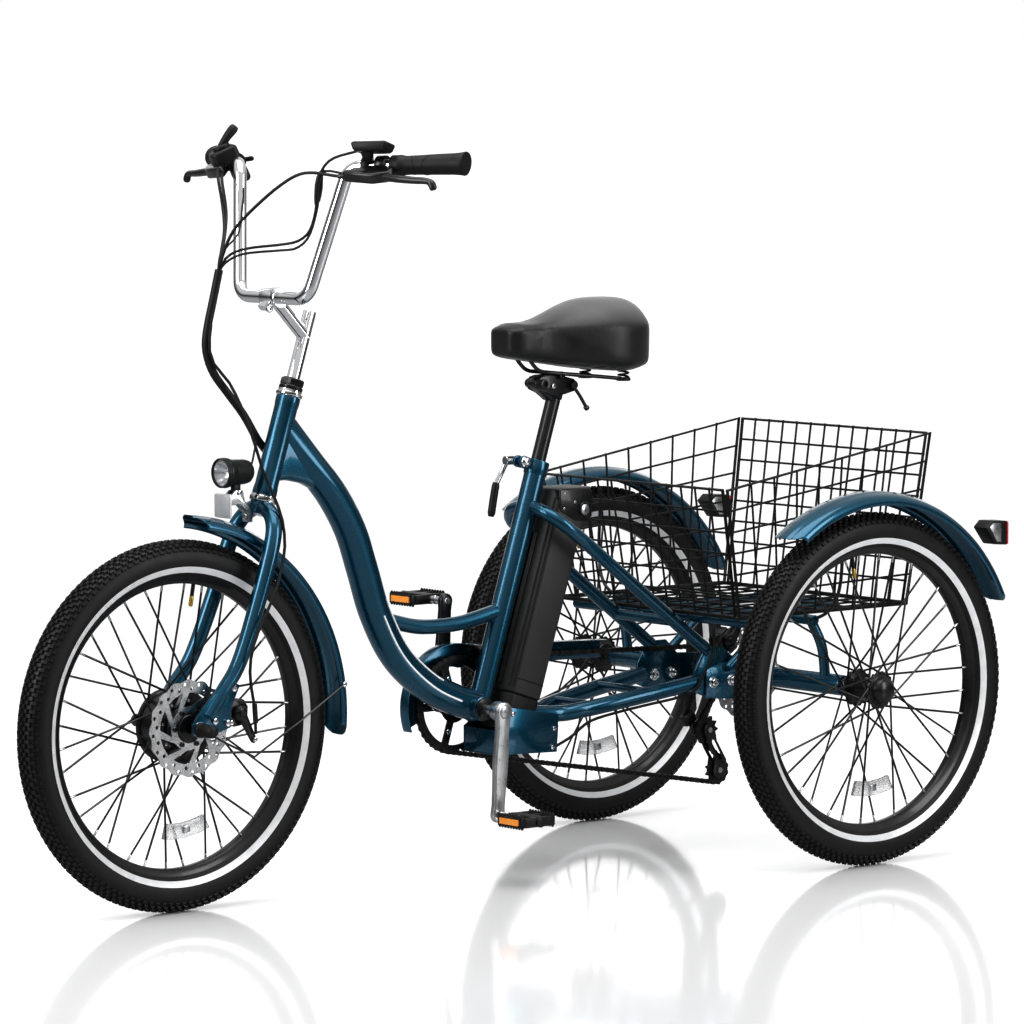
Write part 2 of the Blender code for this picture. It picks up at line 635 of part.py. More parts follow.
rail_side = [(SEAT_TUBE_RADIUS + 0.0004, 0.0110), (0.0240, 0.0140), (0.0270, 0.0140)]
rail_section = rail_side + [(back, -reach) for back, reach in reversed(rail_side)]
battery_rail = prism_up_seat("battery_rail", rail_section, 0.3350, 0.5850)
battery = prism_up_seat("battery", battery_section(BATTERY_NEAR, BATTERY_FAR, BATTERY_HALF, 0.018),
                        BATTERY_LOW, BATTERY_TOP + 0.0500)
battery = cut("battery", battery, [block("battery_top", (-0.82, 0.0, BATTERY_TOP + 0.05), (0.3, 0.2, 0.1))])

# Crank set, chain, freewheel, derailleur and guard
CRANK_DOWN = Vector((sin(CRANK_TILT), 0.0, -cos(CRANK_TILT)))
PEDAL_EYE = BB + CRANK_DOWN * CRANK_LENGTH
OTHER_EYE = BB - CRANK_DOWN * CRANK_LENGTH


def crank_arm(name, eye, sign):
    """A forged arm: a round boss, a tapering blade and a pedal eye."""
    down = (eye - BB).normalized()
    side = Vector((-down.z, 0.0, down.x))
    blade = []
    for run, width in ((0.0, 0.0145), (0.060, 0.0115), (CRANK_LENGTH, 0.0105)):
        place = BB + down * run + side * width
        blade.append((place.x, place.z))
    for run, width in ((CRANK_LENGTH, 0.0105), (0.060, 0.0115), (0.0, 0.0145)):
        place = BB + down * run - side * width
        blade.append((place.x, place.z))
    boss = cylinder("boss", BB + Y * sign * 0.0660, BB + Y * sign * 0.0890, 0.0165, 12)
    arm = flat("arm", blade, 0.0120, sign * 0.0840)
    end = cylinder("eye", eye + Y * sign * 0.0778, eye + Y * sign * 0.0930, 0.0130, 12)
    return fuse(name, [boss, arm, end])


left_crank = cut("left_crank", crank_arm("left_crank", PEDAL_EYE, 1),
                 [cylinder("taper", BB + Y * 0.0600, BB + Y * 0.0820, 0.0088, 12)])
ring_windows = [window(BB.x, BB.z, 0.0330, 0.0600, 2 * pi * i / 5 + 0.16, 2 * pi * (i + 1) / 5 - 0.16)
                for i in range(5)]
right_crank = fuse("right_crank", [
    cylinder("spindle", BB - Y * 0.0800, BB + Y * 0.0815, AXLE_RADIUS, 12),
    flat("chainring", sprocket_outline(BB.x, BB.z, RING_TEETH), 0.0030, CHAIN_Y, ring_windows),
    crank_arm("drive_arm", OTHER_EYE, -1),
    cylinder("spider", BB - Y * 0.0420, BB - Y * 0.0680, 0.0200, 12),
])


def pedal(name, eye, sign):
    """Platform pedal: a bar through a cage with two windows."""
    middle = eye + Y * sign * 0.1590
    long_half = 0.0400
    wide_half = 0.0370
    outline = [(-long_half, -0.026), (-0.030, -wide_half), (0.030, -wide_half), (long_half, -0.026),
               (long_half, 0.026), (0.030, wide_half), (-0.030, wide_half), (-long_half, 0.026)]
    holes = []
    for way in (1, -1):
        holes.append([(way * 0.0120, -0.0260), (way * 0.0330, -0.0220),
                      (way * 0.0330, 0.0220), (way * 0.0120, 0.0260)])
    cage = flat("cage", outline, 0.0220, 0.0, holes)
    cage.data.transform(Matrix.Translation(middle) @ Matrix.Rotation(pi / 2, 4, "X"))
    stub = cylinder("stub", eye + Y * sign * 0.0934, middle, 0.0065, 10)
    return fuse(name, [cage, stub])


left_pedal = pedal("left_pedal", PEDAL_EYE, 1)
right_pedal = pedal("right_pedal", OTHER_EYE, -1)

GUIDE = Vector((-1.2120, 0.0, 0.1960))
TENSION = Vector((-1.2360, 0.0, 0.1220))
PULLEYS = [(BB, pitch_radius(RING_TEETH), 1), (AXLE, pitch_radius(COG_TEETH), 1),
           (GUIDE, pitch_radius(PULLEY_TEETH), -1), (TENSION, pitch_radius(PULLEY_TEETH), 1)]


def tangent(first, second):
    """Angles at which a chain leaves one wheel and meets the next; turn is 1 for anticlockwise."""
    (a, ra, ta), (b, rb, tb) = first, second
    dx, dz = b.x - a.x, b.z - a.z
    gap = hypot(dx, dz)
    base = atan2(dz, dx)
    swing = acos((ta * ra - tb * rb) / gap)
    leave = base - swing
    return leave if ta > 0 else leave + pi, leave if tb > 0 else leave + pi


def chain_path():
    """The chain's middle line: an arc of about one point a link on each wheel, joined by straight runs."""
    path = []
    length = 0.0
    spans = [tangent(PULLEYS[i], PULLEYS[(i + 1) % 4]) for i in range(4)]
    for i, (centre, radius, turn) in enumerate(PULLEYS):
        arrive = spans[i - 1][1]
        sweep = (spans[i][0] - arrive) * turn % (2 * pi) * turn
        count = ceil(abs(sweep) * radius / CHAIN_PITCH)
        for k in range(count + 1):
            angle = arrive + sweep * k / count
            place = Vector((centre.x + radius * cos(angle), CHAIN_Y, centre.z + radius * sin(angle)))
            length += (place - path[-1]).length if path else 0.0
            path.append(place)
    print("chain: about %d links" % round((length + (path[0] - path[-1]).length) / CHAIN_PITCH))
    return path


chain_points = chain_path()
chain_work = bmesh.new()
rings = []
for i, pin in enumerate(chain_points):
    ahead = (chain_points[(i + 1) % len(chain_points)] - chain_points[i - 1]).normalized()
    outward = ahead.cross(Y)
    rings.append([chain_work.verts.new(pin + outward * a * CHAIN_HALF_HEIGHT + Y * b * CHAIN_HALF_WIDTH)
                  for a, b in ((1, 1), (1, -1), (-1, -1), (-1, 1))])
for i, ring in enumerate(rings):
    onward = rings[(i + 1) % len(rings)]
    for k in range(4):
        chain_work.faces.new((ring[k], ring[(k + 1) % 4], onward[(k + 1) % 4], onward[k]))
bmesh.ops.recalc_face_normals(chain_work, faces=chain_work.faces)
chain_mesh = bpy.data.meshes.new("chain")
chain_work.to_mesh(chain_mesh)
chain_work.free()
chain = link("chain", chain_mesh)

COGS = [(14, -3), (16, -2), (18, -1), (COG_TEETH, 0), (22, 1), (24, 2)]
COG_STEP = 0.0050
COG_HALF = 0.0010
cog_profile = [(0.0130, -0.0185), (0.0160, -0.0185)]
for teeth, step in COGS:
    tip = (pitch_radius(teeth) - CHAIN_HALF_HEIGHT) * cos(pi / teeth) - GAP
    cog_profile += [(tip, step * COG_STEP - COG_HALF), (tip, step * COG_STEP + COG_HALF),
                    (0.0160, (step + 0.6) * COG_STEP)]
cog_profile += [(0.0130, 0.0130)]
freewheel = turned("freewheel", cog_profile, AXLE + Y * CHAIN_Y, steps=9)

hanger_outline = [(-1.1800, 0.2860), (-1.2020, 0.2860), (-1.2080, 0.2300), (-1.1960, 0.2080),
                  (-1.1780, 0.2120)]
cage_outline = (circle(GUIDE.x, GUIDE.z, 0.0120, 4, -0.2, pi - 0.5)
                + circle(TENSION.x, TENSION.z, 0.0150, 5, pi - 0.5, 2 * pi - 0.2))
derailleur = fuse("derailleur", [
    flat("hanger", hanger_outline, 0.0050, -0.0690),
    block("linkage", (-1.1860, -0.0640, 0.2160), (0.0280, 0.0160, 0.0200),
          Matrix.Rotation(0.5, 4, "Y"), 0.003),
    block("knuckle", (-1.2020, -0.0585, 0.2000), (0.0300, 0.0110, 0.0220),
          Matrix.Rotation(0.3, 4, "Y"), 0.003),
    flat("outer_cage", cage_outline, 0.0020, CHAIN_Y - 0.0085),
    flat("inner_cage", cage_outline, 0.0020, CHAIN_Y + 0.0085),
    cylinder("guide_pin", GUIDE + Y * (CHAIN_Y - 0.0110), GUIDE + Y * (CHAIN_Y + 0.0110), 0.0050, 6),
    cylinder("tension_pin", TENSION + Y * (CHAIN_Y - 0.0110), TENSION + Y * (CHAIN_Y + 0.0110), 0.0050, 6),
    flat("guide_pulley", sprocket_outline(GUIDE.x, GUIDE.z, PULLEY_TEETH)[::2], 0.0060, CHAIN_Y),
    flat("tension_pulley", sprocket_outline(TENSION.x, TENSION.z, PULLEY_TEETH)[::2], 0.0060, CHAIN_Y),
])

GUARD_REACH = 0.1060
GUARD_INNER = 0.0640
GUARD_PLATE_Y = -0.0610
GUARD_RIM = 0.0018
guard_arc = circle(BB.x, BB.z, GUARD_REACH, 12, radians(-22), radians(108))
rim_arc = circle(BB.x, BB.z, GUARD_REACH - GUARD_RIM, 12, radians(108), radians(-22))
guard_tail = [(-0.9740, 0.3740), (-0.9740, 0.3420)]
guard_back = [(-0.7000, 0.3460)] + circle(BB.x, BB.z, GUARD_INNER, 8, radians(108), radians(-22))
rim_back = [(-0.9740, 0.3740), (-0.9740, 0.3740 - GUARD_RIM)]
chain_guard = fuse("chain_guard", [
    flat("guard_plate", guard_arc + guard_tail + guard_back, 0.0018, GUARD_PLATE_Y),
    flat("guard_rim", guard_arc + rim_back + rim_arc, 0.0220, GUARD_PLATE_Y + 0.0101),
    cylinder("guard_tab", (-0.6740, -SEAT_TUBE_RADIUS - 0.0008, 0.3810), (-0.6740, -0.0460, 0.3810),
             0.0060, 8),
])

# Brake calipers
def caliper(name, centre, size, rotor_y, rotor_centre, arm_start, arm_end):
    """A body that straddles the disc, with its cable arm."""
    body = block("body", centre, size, None, 0.004)
    arm = cylinder("arm", arm_start, arm_end, 0.0042, 8)
    slot = cylinder("slot", rotor_centre + Y * (rotor_y - 0.0022), rotor_centre + Y * (rotor_y + 0.0022),
                    ROTOR_RADIUS + 0.003, 24)
    return cut(name, fuse(name, [body, arm]), [slot])


front_caliper = caliper("front_caliper", (-0.0850, 0.0440, 0.3260), (0.0480, 0.0260, 0.0460),
                        FRONT_ROTOR_Y, FRONT, (-0.0980, 0.0520, 0.3200), (-0.1120, 0.0680, 0.2780))
rear_caliper = caliper("rear_caliper", (-1.1640, 0.0500, 0.3640), (0.0420, 0.0280, 0.0400),
                       REAR_ROTOR_Y, AXLE, (-1.1560, 0.0560, 0.3700), (-1.1340, 0.0560, 0.3960))

# Fork
fork_pieces = [
    cylinder("steerer", head_axis(0.6400), head_axis(0.8460), 0.0127, 12),
    cylinder("crown_race", head_axis(0.6450), head_axis(0.6714), 0.0195, 12),
    cylinder("lock_nut", head_axis(0.8326), head_axis(0.8640), 0.0172, 8),
]
for sign in (1, -1):
    side = Vector((1.0, sign, 1.0))
    blade = smooth([Vector(p) * side for p in
                    [(-0.1800, 0.0040, 0.6570), (-0.1745, 0.0380, 0.6380), (-0.1600, 0.0560, 0.5980),
                     (-0.1265, 0.0600, 0.5050), (-0.0848, 0.0640, 0.4090), (-0.0479, FORK_HALF, 0.3620),
                     (-0.0185, FORK_HALF, 0.3240)]], 2)
    front_edge = [(-0.0120, 0.2920), (0.0130, 0.2960), (0.0130, 0.3140), (-0.0080, 0.3400)]
    tip = front_edge + [(-0.0340, 0.3560), (-0.0340, 0.3200)]
    if sign > 0:
        tip = front_edge + [(-0.0560, 0.3840), (-0.0830, 0.3720), (-0.0660, 0.3380), (-0.0640, 0.3040),
                            (-0.0450, 0.2990)]
    fork_pieces += [tube("blade", blade, 0.0130, 8), flat("dropout", tip, 0.0060, sign * FORK_HALF)]
fork = cut("fork", fuse("fork", fork_pieces), [
    cylinder("quill_bore", head_axis(0.7200), head_axis(0.9000), 0.0116, 12),
    cylinder("axle_hole", FRONT - Y * 0.1, FRONT + Y * 0.1, 0.0064, 12),
])

# Stem, handlebar, grips and controls
STEM_KNEE = head_axis(0.9312)
stem = fuse("stem", [
    cylinder("quill", head_axis(0.7600), head_axis(0.9700), BAR_RADIUS, 12),
    cylinder("extension", STEM_KNEE, BAR_CLAMP, 0.0105, 12),
    cylinder("bar_clamp", BAR_CLAMP - Y * 0.0200, BAR_CLAMP + Y * 0.0200, 0.0165, 12),
])
stem = cut("stem", stem, [cylinder("bar_hole", BAR_CLAMP - Y * 0.03, BAR_CLAMP + Y * 0.03, 0.0119, 12)])


def bar_point(run, sign=1):
    """A point on the swept end of the bar, measured from its upper corner."""
    sweep = Vector((-sin(GRIP_SWEEP), cos(GRIP_SWEEP), 0.03))
    place = BAR_CORNER + sweep * run
    return Vector((place.x, sign * place.y, place.z))


half_bar = filleted([(BAR_CLAMP.x, 0.0905, BAR_CLAMP.z), BAR_CORNER, bar_point(0.200)], 0.032)
lower_bend = filleted([(BAR_CLAMP.x, 0.0, BAR_CLAMP.z), (BAR_CLAMP.x, 0.0905, BAR_CLAMP.z), BAR_CORNER],
                      0.032)
left_bar = lower_bend[1:-1] + half_bar[1:]
right_bar = [Vector((p.x, -p.y, p.z)) for p in reversed(left_bar)]
handlebar = tube("handlebar", right_bar + left_bar, BAR_RADIUS, 10)


class Hand:
    """Directions at one end of the bar: along it, ahead of it and square to both."""

    def __init__(self, sign):
        self.sign = sign
        self.out = (bar_point(1.0, sign) - bar_point(0.0, sign)).normalized()
        level = Vector((cos(GRIP_SWEEP), sign * sin(GRIP_SWEEP), 0.0))
        self.ahead = level * cos(LEVER_DROP) - Vector((0.0, 0.0, sin(LEVER_DROP)))
        self.up = Vector((level.x * sin(LEVER_DROP), level.y * sin(LEVER_DROP), cos(LEVER_DROP)))

    def at(self, run, ahead=0.0, up=0.0):
        return bar_point(run, self.sign) + self.ahead * ahead + self.up * up

    def turn(self):
        return Matrix((self.out, self.ahead, self.out.cross(self.ahead))).transposed().to_4x4()


HANDS = {1: Hand(1), -1: Hand(-1)}


def grip(name, hand):
    """Rubber sleeve that swells at its inner end and flares at the outer end."""
    sections = ((GRIP_START, 0.0168), (0.098, 0.0172), (0.104, 0.0152), (0.150, 0.0160), (0.185, 0.0162),
                (GRIP_END, 0.0190))
    path = [hand.at(run) for run, _ in sections]
    body = tube("sleeve", path, 1.0, 10, [radius for _, radius in sections])
    return cut(name, body, [cylinder("bar_socket", hand.at(0.060), hand.at(0.2005), 0.0122, 10)])


left_grip = grip("left_grip", HANDS[1])
right_grip = grip("right_grip", HANDS[-1])

LEVER_RUN = 0.0580
LEVER_AHEAD = 0.0300


def perch(name, hand, extra=()):
    """Brake lever holder: a clamp round the bar and a forward arm with the pivot's fork."""
    clamp = cylinder("clamp", hand.at(0.0520), hand.at(0.0690), 0.0175, 10)
    arm = block("holder", hand.at(0.0550, 0.0220), (0.0220, 0.0260, 0.0150), hand.turn(), 0.003)
    barrel = cylinder("adjuster", hand.at(0.0470, 0.0260), hand.at(0.0180, 0.0330), 0.0055, 8)
    body = fuse(name, [clamp, arm, barrel, *extra])
    return cut(name, body, [
        cylinder("bar_hole", hand.at(0.015), hand.at(0.080), 0.0122, 10),
        block("lever_slot", hand.at(LEVER_RUN + 0.0050, LEVER_AHEAD + 0.0030), (0.0280, 0.0280, 0.0080),
              hand.turn()),
    ])


def brake_lever(name, hand):
    """A blade from the pivot, bowed away from the grip, with a ball at its tip."""
    spots = [(LEVER_RUN, LEVER_AHEAD), (0.078, 0.0360), (0.105, 0.0480), (0.140, 0.0560), (0.168, 0.0620)]
    path = [hand.at(run, ahead) for run, ahead in spots]
    blade = tube("blade", path, 0.0034, 8)
    hub = cylinder("pivot_eye", hand.at(LEVER_RUN, LEVER_AHEAD, -0.0036),
                   hand.at(LEVER_RUN, LEVER_AHEAD, 0.0036), 0.0068, 10)
    ball = bmesh.new()
    bmesh.ops.create_uvsphere(ball, u_segments=6, v_segments=5, radius=0.0058,
                              matrix=Matrix.Translation(hand.at(0.168, 0.0620)))
    mesh = bpy.data.meshes.new("ball")
    ball.to_mesh(mesh)
    ball.free()
    return fuse(name, [blade, hub, link("ball", mesh)])


left = HANDS[1]
right = HANDS[-1]
shifter = cylinder("shifter", right.at(0.0470, 0.0100, 0.0300), right.at(0.0470, 0.0100, 0.0040), 0.0200, 14)
left_brake_perch = perch("left_brake_perch", left)
right_brake_perch = perch("right_brake_perch", right, [shifter])
left_brake_lever = brake_lever("left_brake_lever", left)
right_brake_lever = brake_lever("right_brake_lever", right)

SHIFT_PIVOT = right.at(0.0470, 0.0100, 0.0330)
shift_lever = fuse("shift_lever", [
    cylinder("shift_disc", right.at(0.0470, 0.0100, 0.0304), right.at(0.0470, 0.0100, 0.0360), 0.0150, 12),
    tube("shift_paddle", [right.at(0.0470, 0.0100, 0.0340), right.at(0.0480, -0.0020, 0.0460),
                          right.at(0.0500, -0.0140, 0.0560)], 0.0052, 6)])
throttle_lever = fuse("throttle_lever", [
    cylinder("throttle_ring", right.at(0.0696), right.at(0.0752), 0.0160, 10),
    tube("throttle_paddle", [right.at(0.0732, -0.0120, -0.0020), right.at(0.0732, -0.0250, -0.0080),
                             right.at(0.0640, -0.0340, -0.0100)], 0.0034, 6)])
throttle_lever = cut("throttle_lever", throttle_lever, [
    cylinder("bar_hole", right.at(0.060), right.at(0.085), 0.0124, 10)])

display_turn = left.turn() @ Matrix.Rotation(radians(-37), 4, "X")
display = fuse("display", [
    cylinder("display_clamp", left.at(0.0270), left.at(0.0390), 0.0165, 10),
    block("display_stalk", left.at(0.0330, 0.0060, 0.0240), (0.0120, 0.0100, 0.0260), left.turn()),
    block("display_case", left.at(0.0500, 0.0020, 0.0340), (0.0620, 0.0360, 0.0120), display_turn, 0.003),
])
display = cut("display", display, [cylinder("bar_hole", left.at(0.016), left.at(0.060), 0.0122, 10)])

# Head lamp on its bracket below the head tube
LAMP = Vector((-0.1240, 0.0, 0.7130))
lamp_profile = [(0.0, -0.0340), (0.0160, -0.0320), (0.0205, -0.0220), (0.0215, 0.0080), (0.0245, 0.0140),
                (0.0245, 0.0280), (0.0222, 0.0280), (0.0222, 0.0245), (0.0, 0.0230)]
headlamp = turned("headlamp", lamp_profile, (0.0, 0.0, 0.0), steps=12, closed=False)
headlamp.data.transform(Matrix.Translation(LAMP) @ Matrix.Rotation(radians(-90), 4, "Z"))
LAMP_HINGE = LAMP + Vector((-0.0040, 0.0, -0.0330))
headlamp = fuse("headlamp", [
    headlamp, block("lamp_foot", LAMP + Vector((-0.0040, 0.0, -0.0280)), (0.0140, 0.0100, 0.0200))])
bracket_side = [(-0.1200, 0.6840), (-0.1360, 0.6840), (-0.1400, 0.6660), (-0.1560, 0.6480),
                (-0.1560, 0.6300), (-0.1490, 0.6300), (-0.1490, 0.6440), (-0.1320, 0.6600),
                (-0.1120, 0.6600), (-0.1040, 0.6560), (-0.1040, 0.6680)]
lamp_bracket = fuse("lamp_bracket", [
    flat("bracket_plate", bracket_side, 0.0200, 0.0),
    block("reflector", (-0.1015, 0.0, 0.6590), (0.0070, 0.0400, 0.0400), None, 0.0015)])
lamp_bracket = cut("lamp_bracket", lamp_bracket, [block("foot_slot", LAMP_HINGE, (0.0500, 0.0108, 0.0300))])

# Seat post, saddle and their levers
POST_LOW = 0.5450
POST_HIGH = 0.8050
head_outline = [(-0.8240, 0.8020), (-0.8300, 0.8230), (-0.8060, 0.8270)]
head_outline += circle(SADDLE_PIVOT.x, SADDLE_PIVOT.z, 0.0105, 7, radians(110), radians(-70))
head_outline += [(-0.8000, 0.8020)]
seat_post = fuse("seat_post", [
    cylinder("post", seat_axis(POST_LOW), seat_axis(POST_HIGH), SEAT_POST_RADIUS, 12),
    flat("post_head", head_outline, 0.0220, 0.0)])
seat_post = cut("seat_post", seat_post, [
    cylinder("pin_hole", SADDLE_PIVOT - Y * 0.02, SADDLE_PIVOT + Y * 0.02, 0.0052, 12)])

cheek_outline = [(-0.7650, 0.8320), (-0.7700, 0.8210), (-0.8000, 0.8110), (-0.8260, 0.8120),
                 (-0.8520, 0.8190), (-0.8520, 0.8370), (-0.8100, 0.8470), (-0.7790, 0.8450)]
rail_low = [(-0.7360, 0.0170, 0.8880), (-0.7480, 0.0170, 0.8720), (-0.7680, 0.0170, 0.8530),
            (-0.8000, 0.0190, 0.8500), (-0.8700, 0.0330, 0.8430), (-0.9260, 0.0480, 0.8370)]
SPRING_FOOT = Vector((-0.9300, 0.0500, 0.8370))
SPRING_WIRE = 0.0014
SPRING_RADIUS = 0.0078
SPRING_TURNS = 3
SPRING_RISE = 0.0070
SPRING_POINTS = 8


def spring_path(sign):
    """The coil under one corner of the saddle, running straight down into its rail."""
    foot = Vector((SPRING_FOOT.x, sign * SPRING_FOOT.y, SPRING_FOOT.z))
    path = []
    for i in range(SPRING_TURNS * SPRING_POINTS + 1):
        angle = 2 * pi * i / SPRING_POINTS
        lift = SPRING_RISE * i / SPRING_POINTS
        path.append(foot + Vector((SPRING_RADIUS * cos(angle), SPRING_RADIUS * sin(angle), lift)))
    return path


def least_gap(path, apart, wire):
    """Least clear distance between points of a wound wire that lie some points apart along it."""
    return min((b - a).length for i, a in enumerate(path) for b in path[i + apart:]) - 2 * wire


spring_gap = least_gap(spring_path(1), SPRING_POINTS // 2 + 1, SPRING_WIRE)
print("saddle spring: least gap between turns %.2f mm" % (1000 * spring_gap))
saddle_pieces = [cylinder("pivot_pin", SADDLE_PIVOT - Y * 0.0230, SADDLE_PIVOT + Y * 0.0230, 0.0046, 12)]
for sign in (1, -1):
    side = Vector((1.0, sign, 1.0))
    rails = [Vector(p) * side for p in rail_low]
    saddle_pieces += [
        flat("cheek", cheek_outline, 0.0044, sign * 0.0137),
        tube("saddle_rail", rails, 0.0034, 6),
        tube("saddle_spring", spring_path(sign), SPRING_WIRE, 6),
        cylinder("spring_cup", (SPRING_FOOT.x, sign * SPRING_FOOT.y, SPRING_FOOT.z - 0.0040),
                 (SPRING_FOOT.x, sign * SPRING_FOOT.y, SPRING_FOOT.z + 0.0012), 0.0110, 8),
    ]
saddle_pieces.append(cylinder("clamp_bar", (-0.8160, -0.0230, 0.8455), (-0.8160, 0.0230, 0.8455), 0.0062, 8))
saddle_base = fuse("saddle_base", saddle_pieces)


def saddle_shape():
    """Padded saddle: rounded sections from the nose to the wide tail, hollowed a little underneath."""
    work = bmesh.new()
    sections = 14
    around = 16
    rings = []
    for i in range(sections):
        t = i / (sections - 1)
        share = 0.5 - 0.5 * cos(pi * (0.03 + 0.94 * t))
        run = SADDLE_NOSE + (SADDLE_TAIL - SADDLE_NOSE) * share
        flare = min(1.0, max(0.0, (share - 0.20) / 0.5345))
        flare = flare * flare * (3 - 2 * flare)
        close = sqrt(max(0.0, 1 - max(0.0, (share - 0.62) / 0.38) ** 2.71))
        nose = sqrt(max(0.0, 1 - max(0.0, (0.13 - share) / 0.13) ** 2))
        half = (0.0446 + 0.0539 * flare) * (0.30 + 0.70 * close) * (0.35 + 0.65 * nose)
        top = 0.9350 + 0.0402 * flare * close - 0.0100 * (1 - nose) - 0.0025 * (1 - close)
        low = 0.8860 - 0.0337 * flare + 0.0080 * (1 - nose) + 0.0140 * (1 - close)
        middle = (top + low) / 2
        height = (top - low) / 2
        ring = []
        for k in range(around):
            angle = 2 * pi * k / around
            c, s = cos(angle), sin(angle)
            y = half * abs(c) ** 0.72 * (1 if c > 0 else -1)
            z = middle + height * abs(s) ** 0.62 * (1 if s > 0 else -1)
            ring.append(work.verts.new((run, y, z)))
        rings.append(ring)
    for a, b in zip(rings, rings[1:]):
        for k in range(around):
            work.faces.new((a[k], a[(k + 1) % around], b[(k + 1) % around], b[k]))
    work.faces.new(rings[0])
    work.faces.new(rings[-1])
    bmesh.ops.recalc_face_normals(work, faces=work.faces)
    mesh = bpy.data.meshes.new("saddle_cushion")
    work.to_mesh(mesh)
    work.free()
    return link("saddle_cushion", mesh)


saddle_cushion = cut("saddle_cushion", saddle_shape(), [
    block("rail_room", (-0.7360, 0.0, 0.8795), (0.0320, 0.0480, 0.0230)),
    block("spring_room", (-0.9300, 0.0, 0.8480), (0.0400, 0.1360, 0.0280))])

LATCH_PIVOT = Vector((-0.8440, 0.0, 0.8275))
saddle_latch = fuse("saddle_latch", [
    cylinder("latch_eye", LATCH_PIVOT + Y * 0.0164, LATCH_PIVOT + Y * 0.0224, 0.0075, 10),
    tube("latch_arm", [LATCH_PIVOT + Y * 0.0195, LATCH_PIVOT + Vector((-0.0120, 0.0200, -0.0180)),
                       LATCH_PIVOT + Vector((-0.0270, 0.0210, -0.0400))], 0.0030, 8)])

QR_PIVOT = Vector((-0.7420, -0.0330, 0.7000))
seat_quick_release = fuse("seat_quick_release", [
    cylinder("cam", QR_PIVOT - Vector((0.0090, 0.0, 0.0)), QR_PIVOT + Vector((0.0090, 0.0, 0.0)), 0.0080, 10),
    tube("release_arm", smooth([QR_PIVOT, (-0.7360, -0.0430, 0.6820), (-0.7230, -0.0450, 0.6600),
                                (-0.7120, -0.0450, 0.6040)], 2), 0.0048, 6)])

# Cables: the control harness from the bar to the frame, and the clipped brake and gear cables
LOOM = [(-0.1188, -0.030, 1.0434), (-0.1062, -0.030, 0.9947), (-0.0936, -0.030, 0.9461),
        (-0.0914, -0.030, 0.9135), (-0.1040, -0.029, 0.8771), (-0.1356, -0.027, 0.8382),
        (-0.1649, -0.026, 0.8042), (-0.1916, -0.0262, 0.7650), (-0.2120, -0.0285, 0.7440)]
LEFT_BRAKE_RUN = [left.at(0.0150, 0.0334), (-0.1960, 0.100, 1.2030), (-0.1756, 0.060, 1.1820),
                  (-0.1524, 0.010, 1.1384), (-0.1344, -0.015, 1.1039), (-0.1230, -0.028, 1.0628),
                  (-0.1180, -0.030, 1.0400)]
RIGHT_RUN = [right.at(0.0150, 0.0334), (-0.1870, -0.110, 1.1830), (-0.1760, -0.085, 1.1337),
             (-0.1446, -0.050, 1.0912), (-0.1215, -0.032, 1.0597), (-0.1175, -0.030, 1.0380)]
cable_harness = fuse("cable_harness", [
    tube("loom", smooth(LOOM, 1), 0.0068, 6),
    tube("left_run", smooth(LEFT_BRAKE_RUN, 1), 0.0026, 6),
    tube("right_run", smooth(RIGHT_RUN, 1), 0.0026, 6)])
FRONT_BRAKE_RUN = [(-0.1245, -0.0160, 0.8640), (-0.1360, 0.0120, 0.8120), (-0.1500, 0.0280, 0.7500),
                   (-0.1700, 0.0340, 0.6990), (-0.1850, 0.0500, 0.6500), (-0.1800, 0.0760, 0.6020),
                   (-0.1600, 0.0830, 0.5720), (-0.1440, 0.0840, 0.5245), (-0.1165, 0.0860, 0.4775),
                   (-0.0970, 0.0880, 0.4382), (-0.0935, 0.0860, 0.4056), (-0.1026, 0.0800, 0.3717),
                   (-0.1072, 0.0740, 0.3400), (-0.1118, 0.0725, 0.2900)]
front_brake_cable = tube("front_brake_cable", smooth(FRONT_BRAKE_RUN, 1), 0.0025, 6)
REAR_RUN = [(-0.7880, 0.0380, 0.2100), (-0.8150, 0.0470, 0.2250), (-0.8500, 0.0520, 0.2480),
            (-0.9000, 0.0580, 0.2590), (-0.9700, 0.0660, 0.2690), (-1.0400, 0.0740, 0.2780),
            (-1.0640, 0.0890, 0.2900), (-1.0800, 0.0930, 0.3180), (-1.1010, 0.0940, 0.3520),
            (-1.1150, 0.0800, 0.3790), (-1.1290, 0.0640, 0.4030)]
rear_cable = tube("rear_cable", smooth(REAR_RUN, 1), 0.0025, 6)

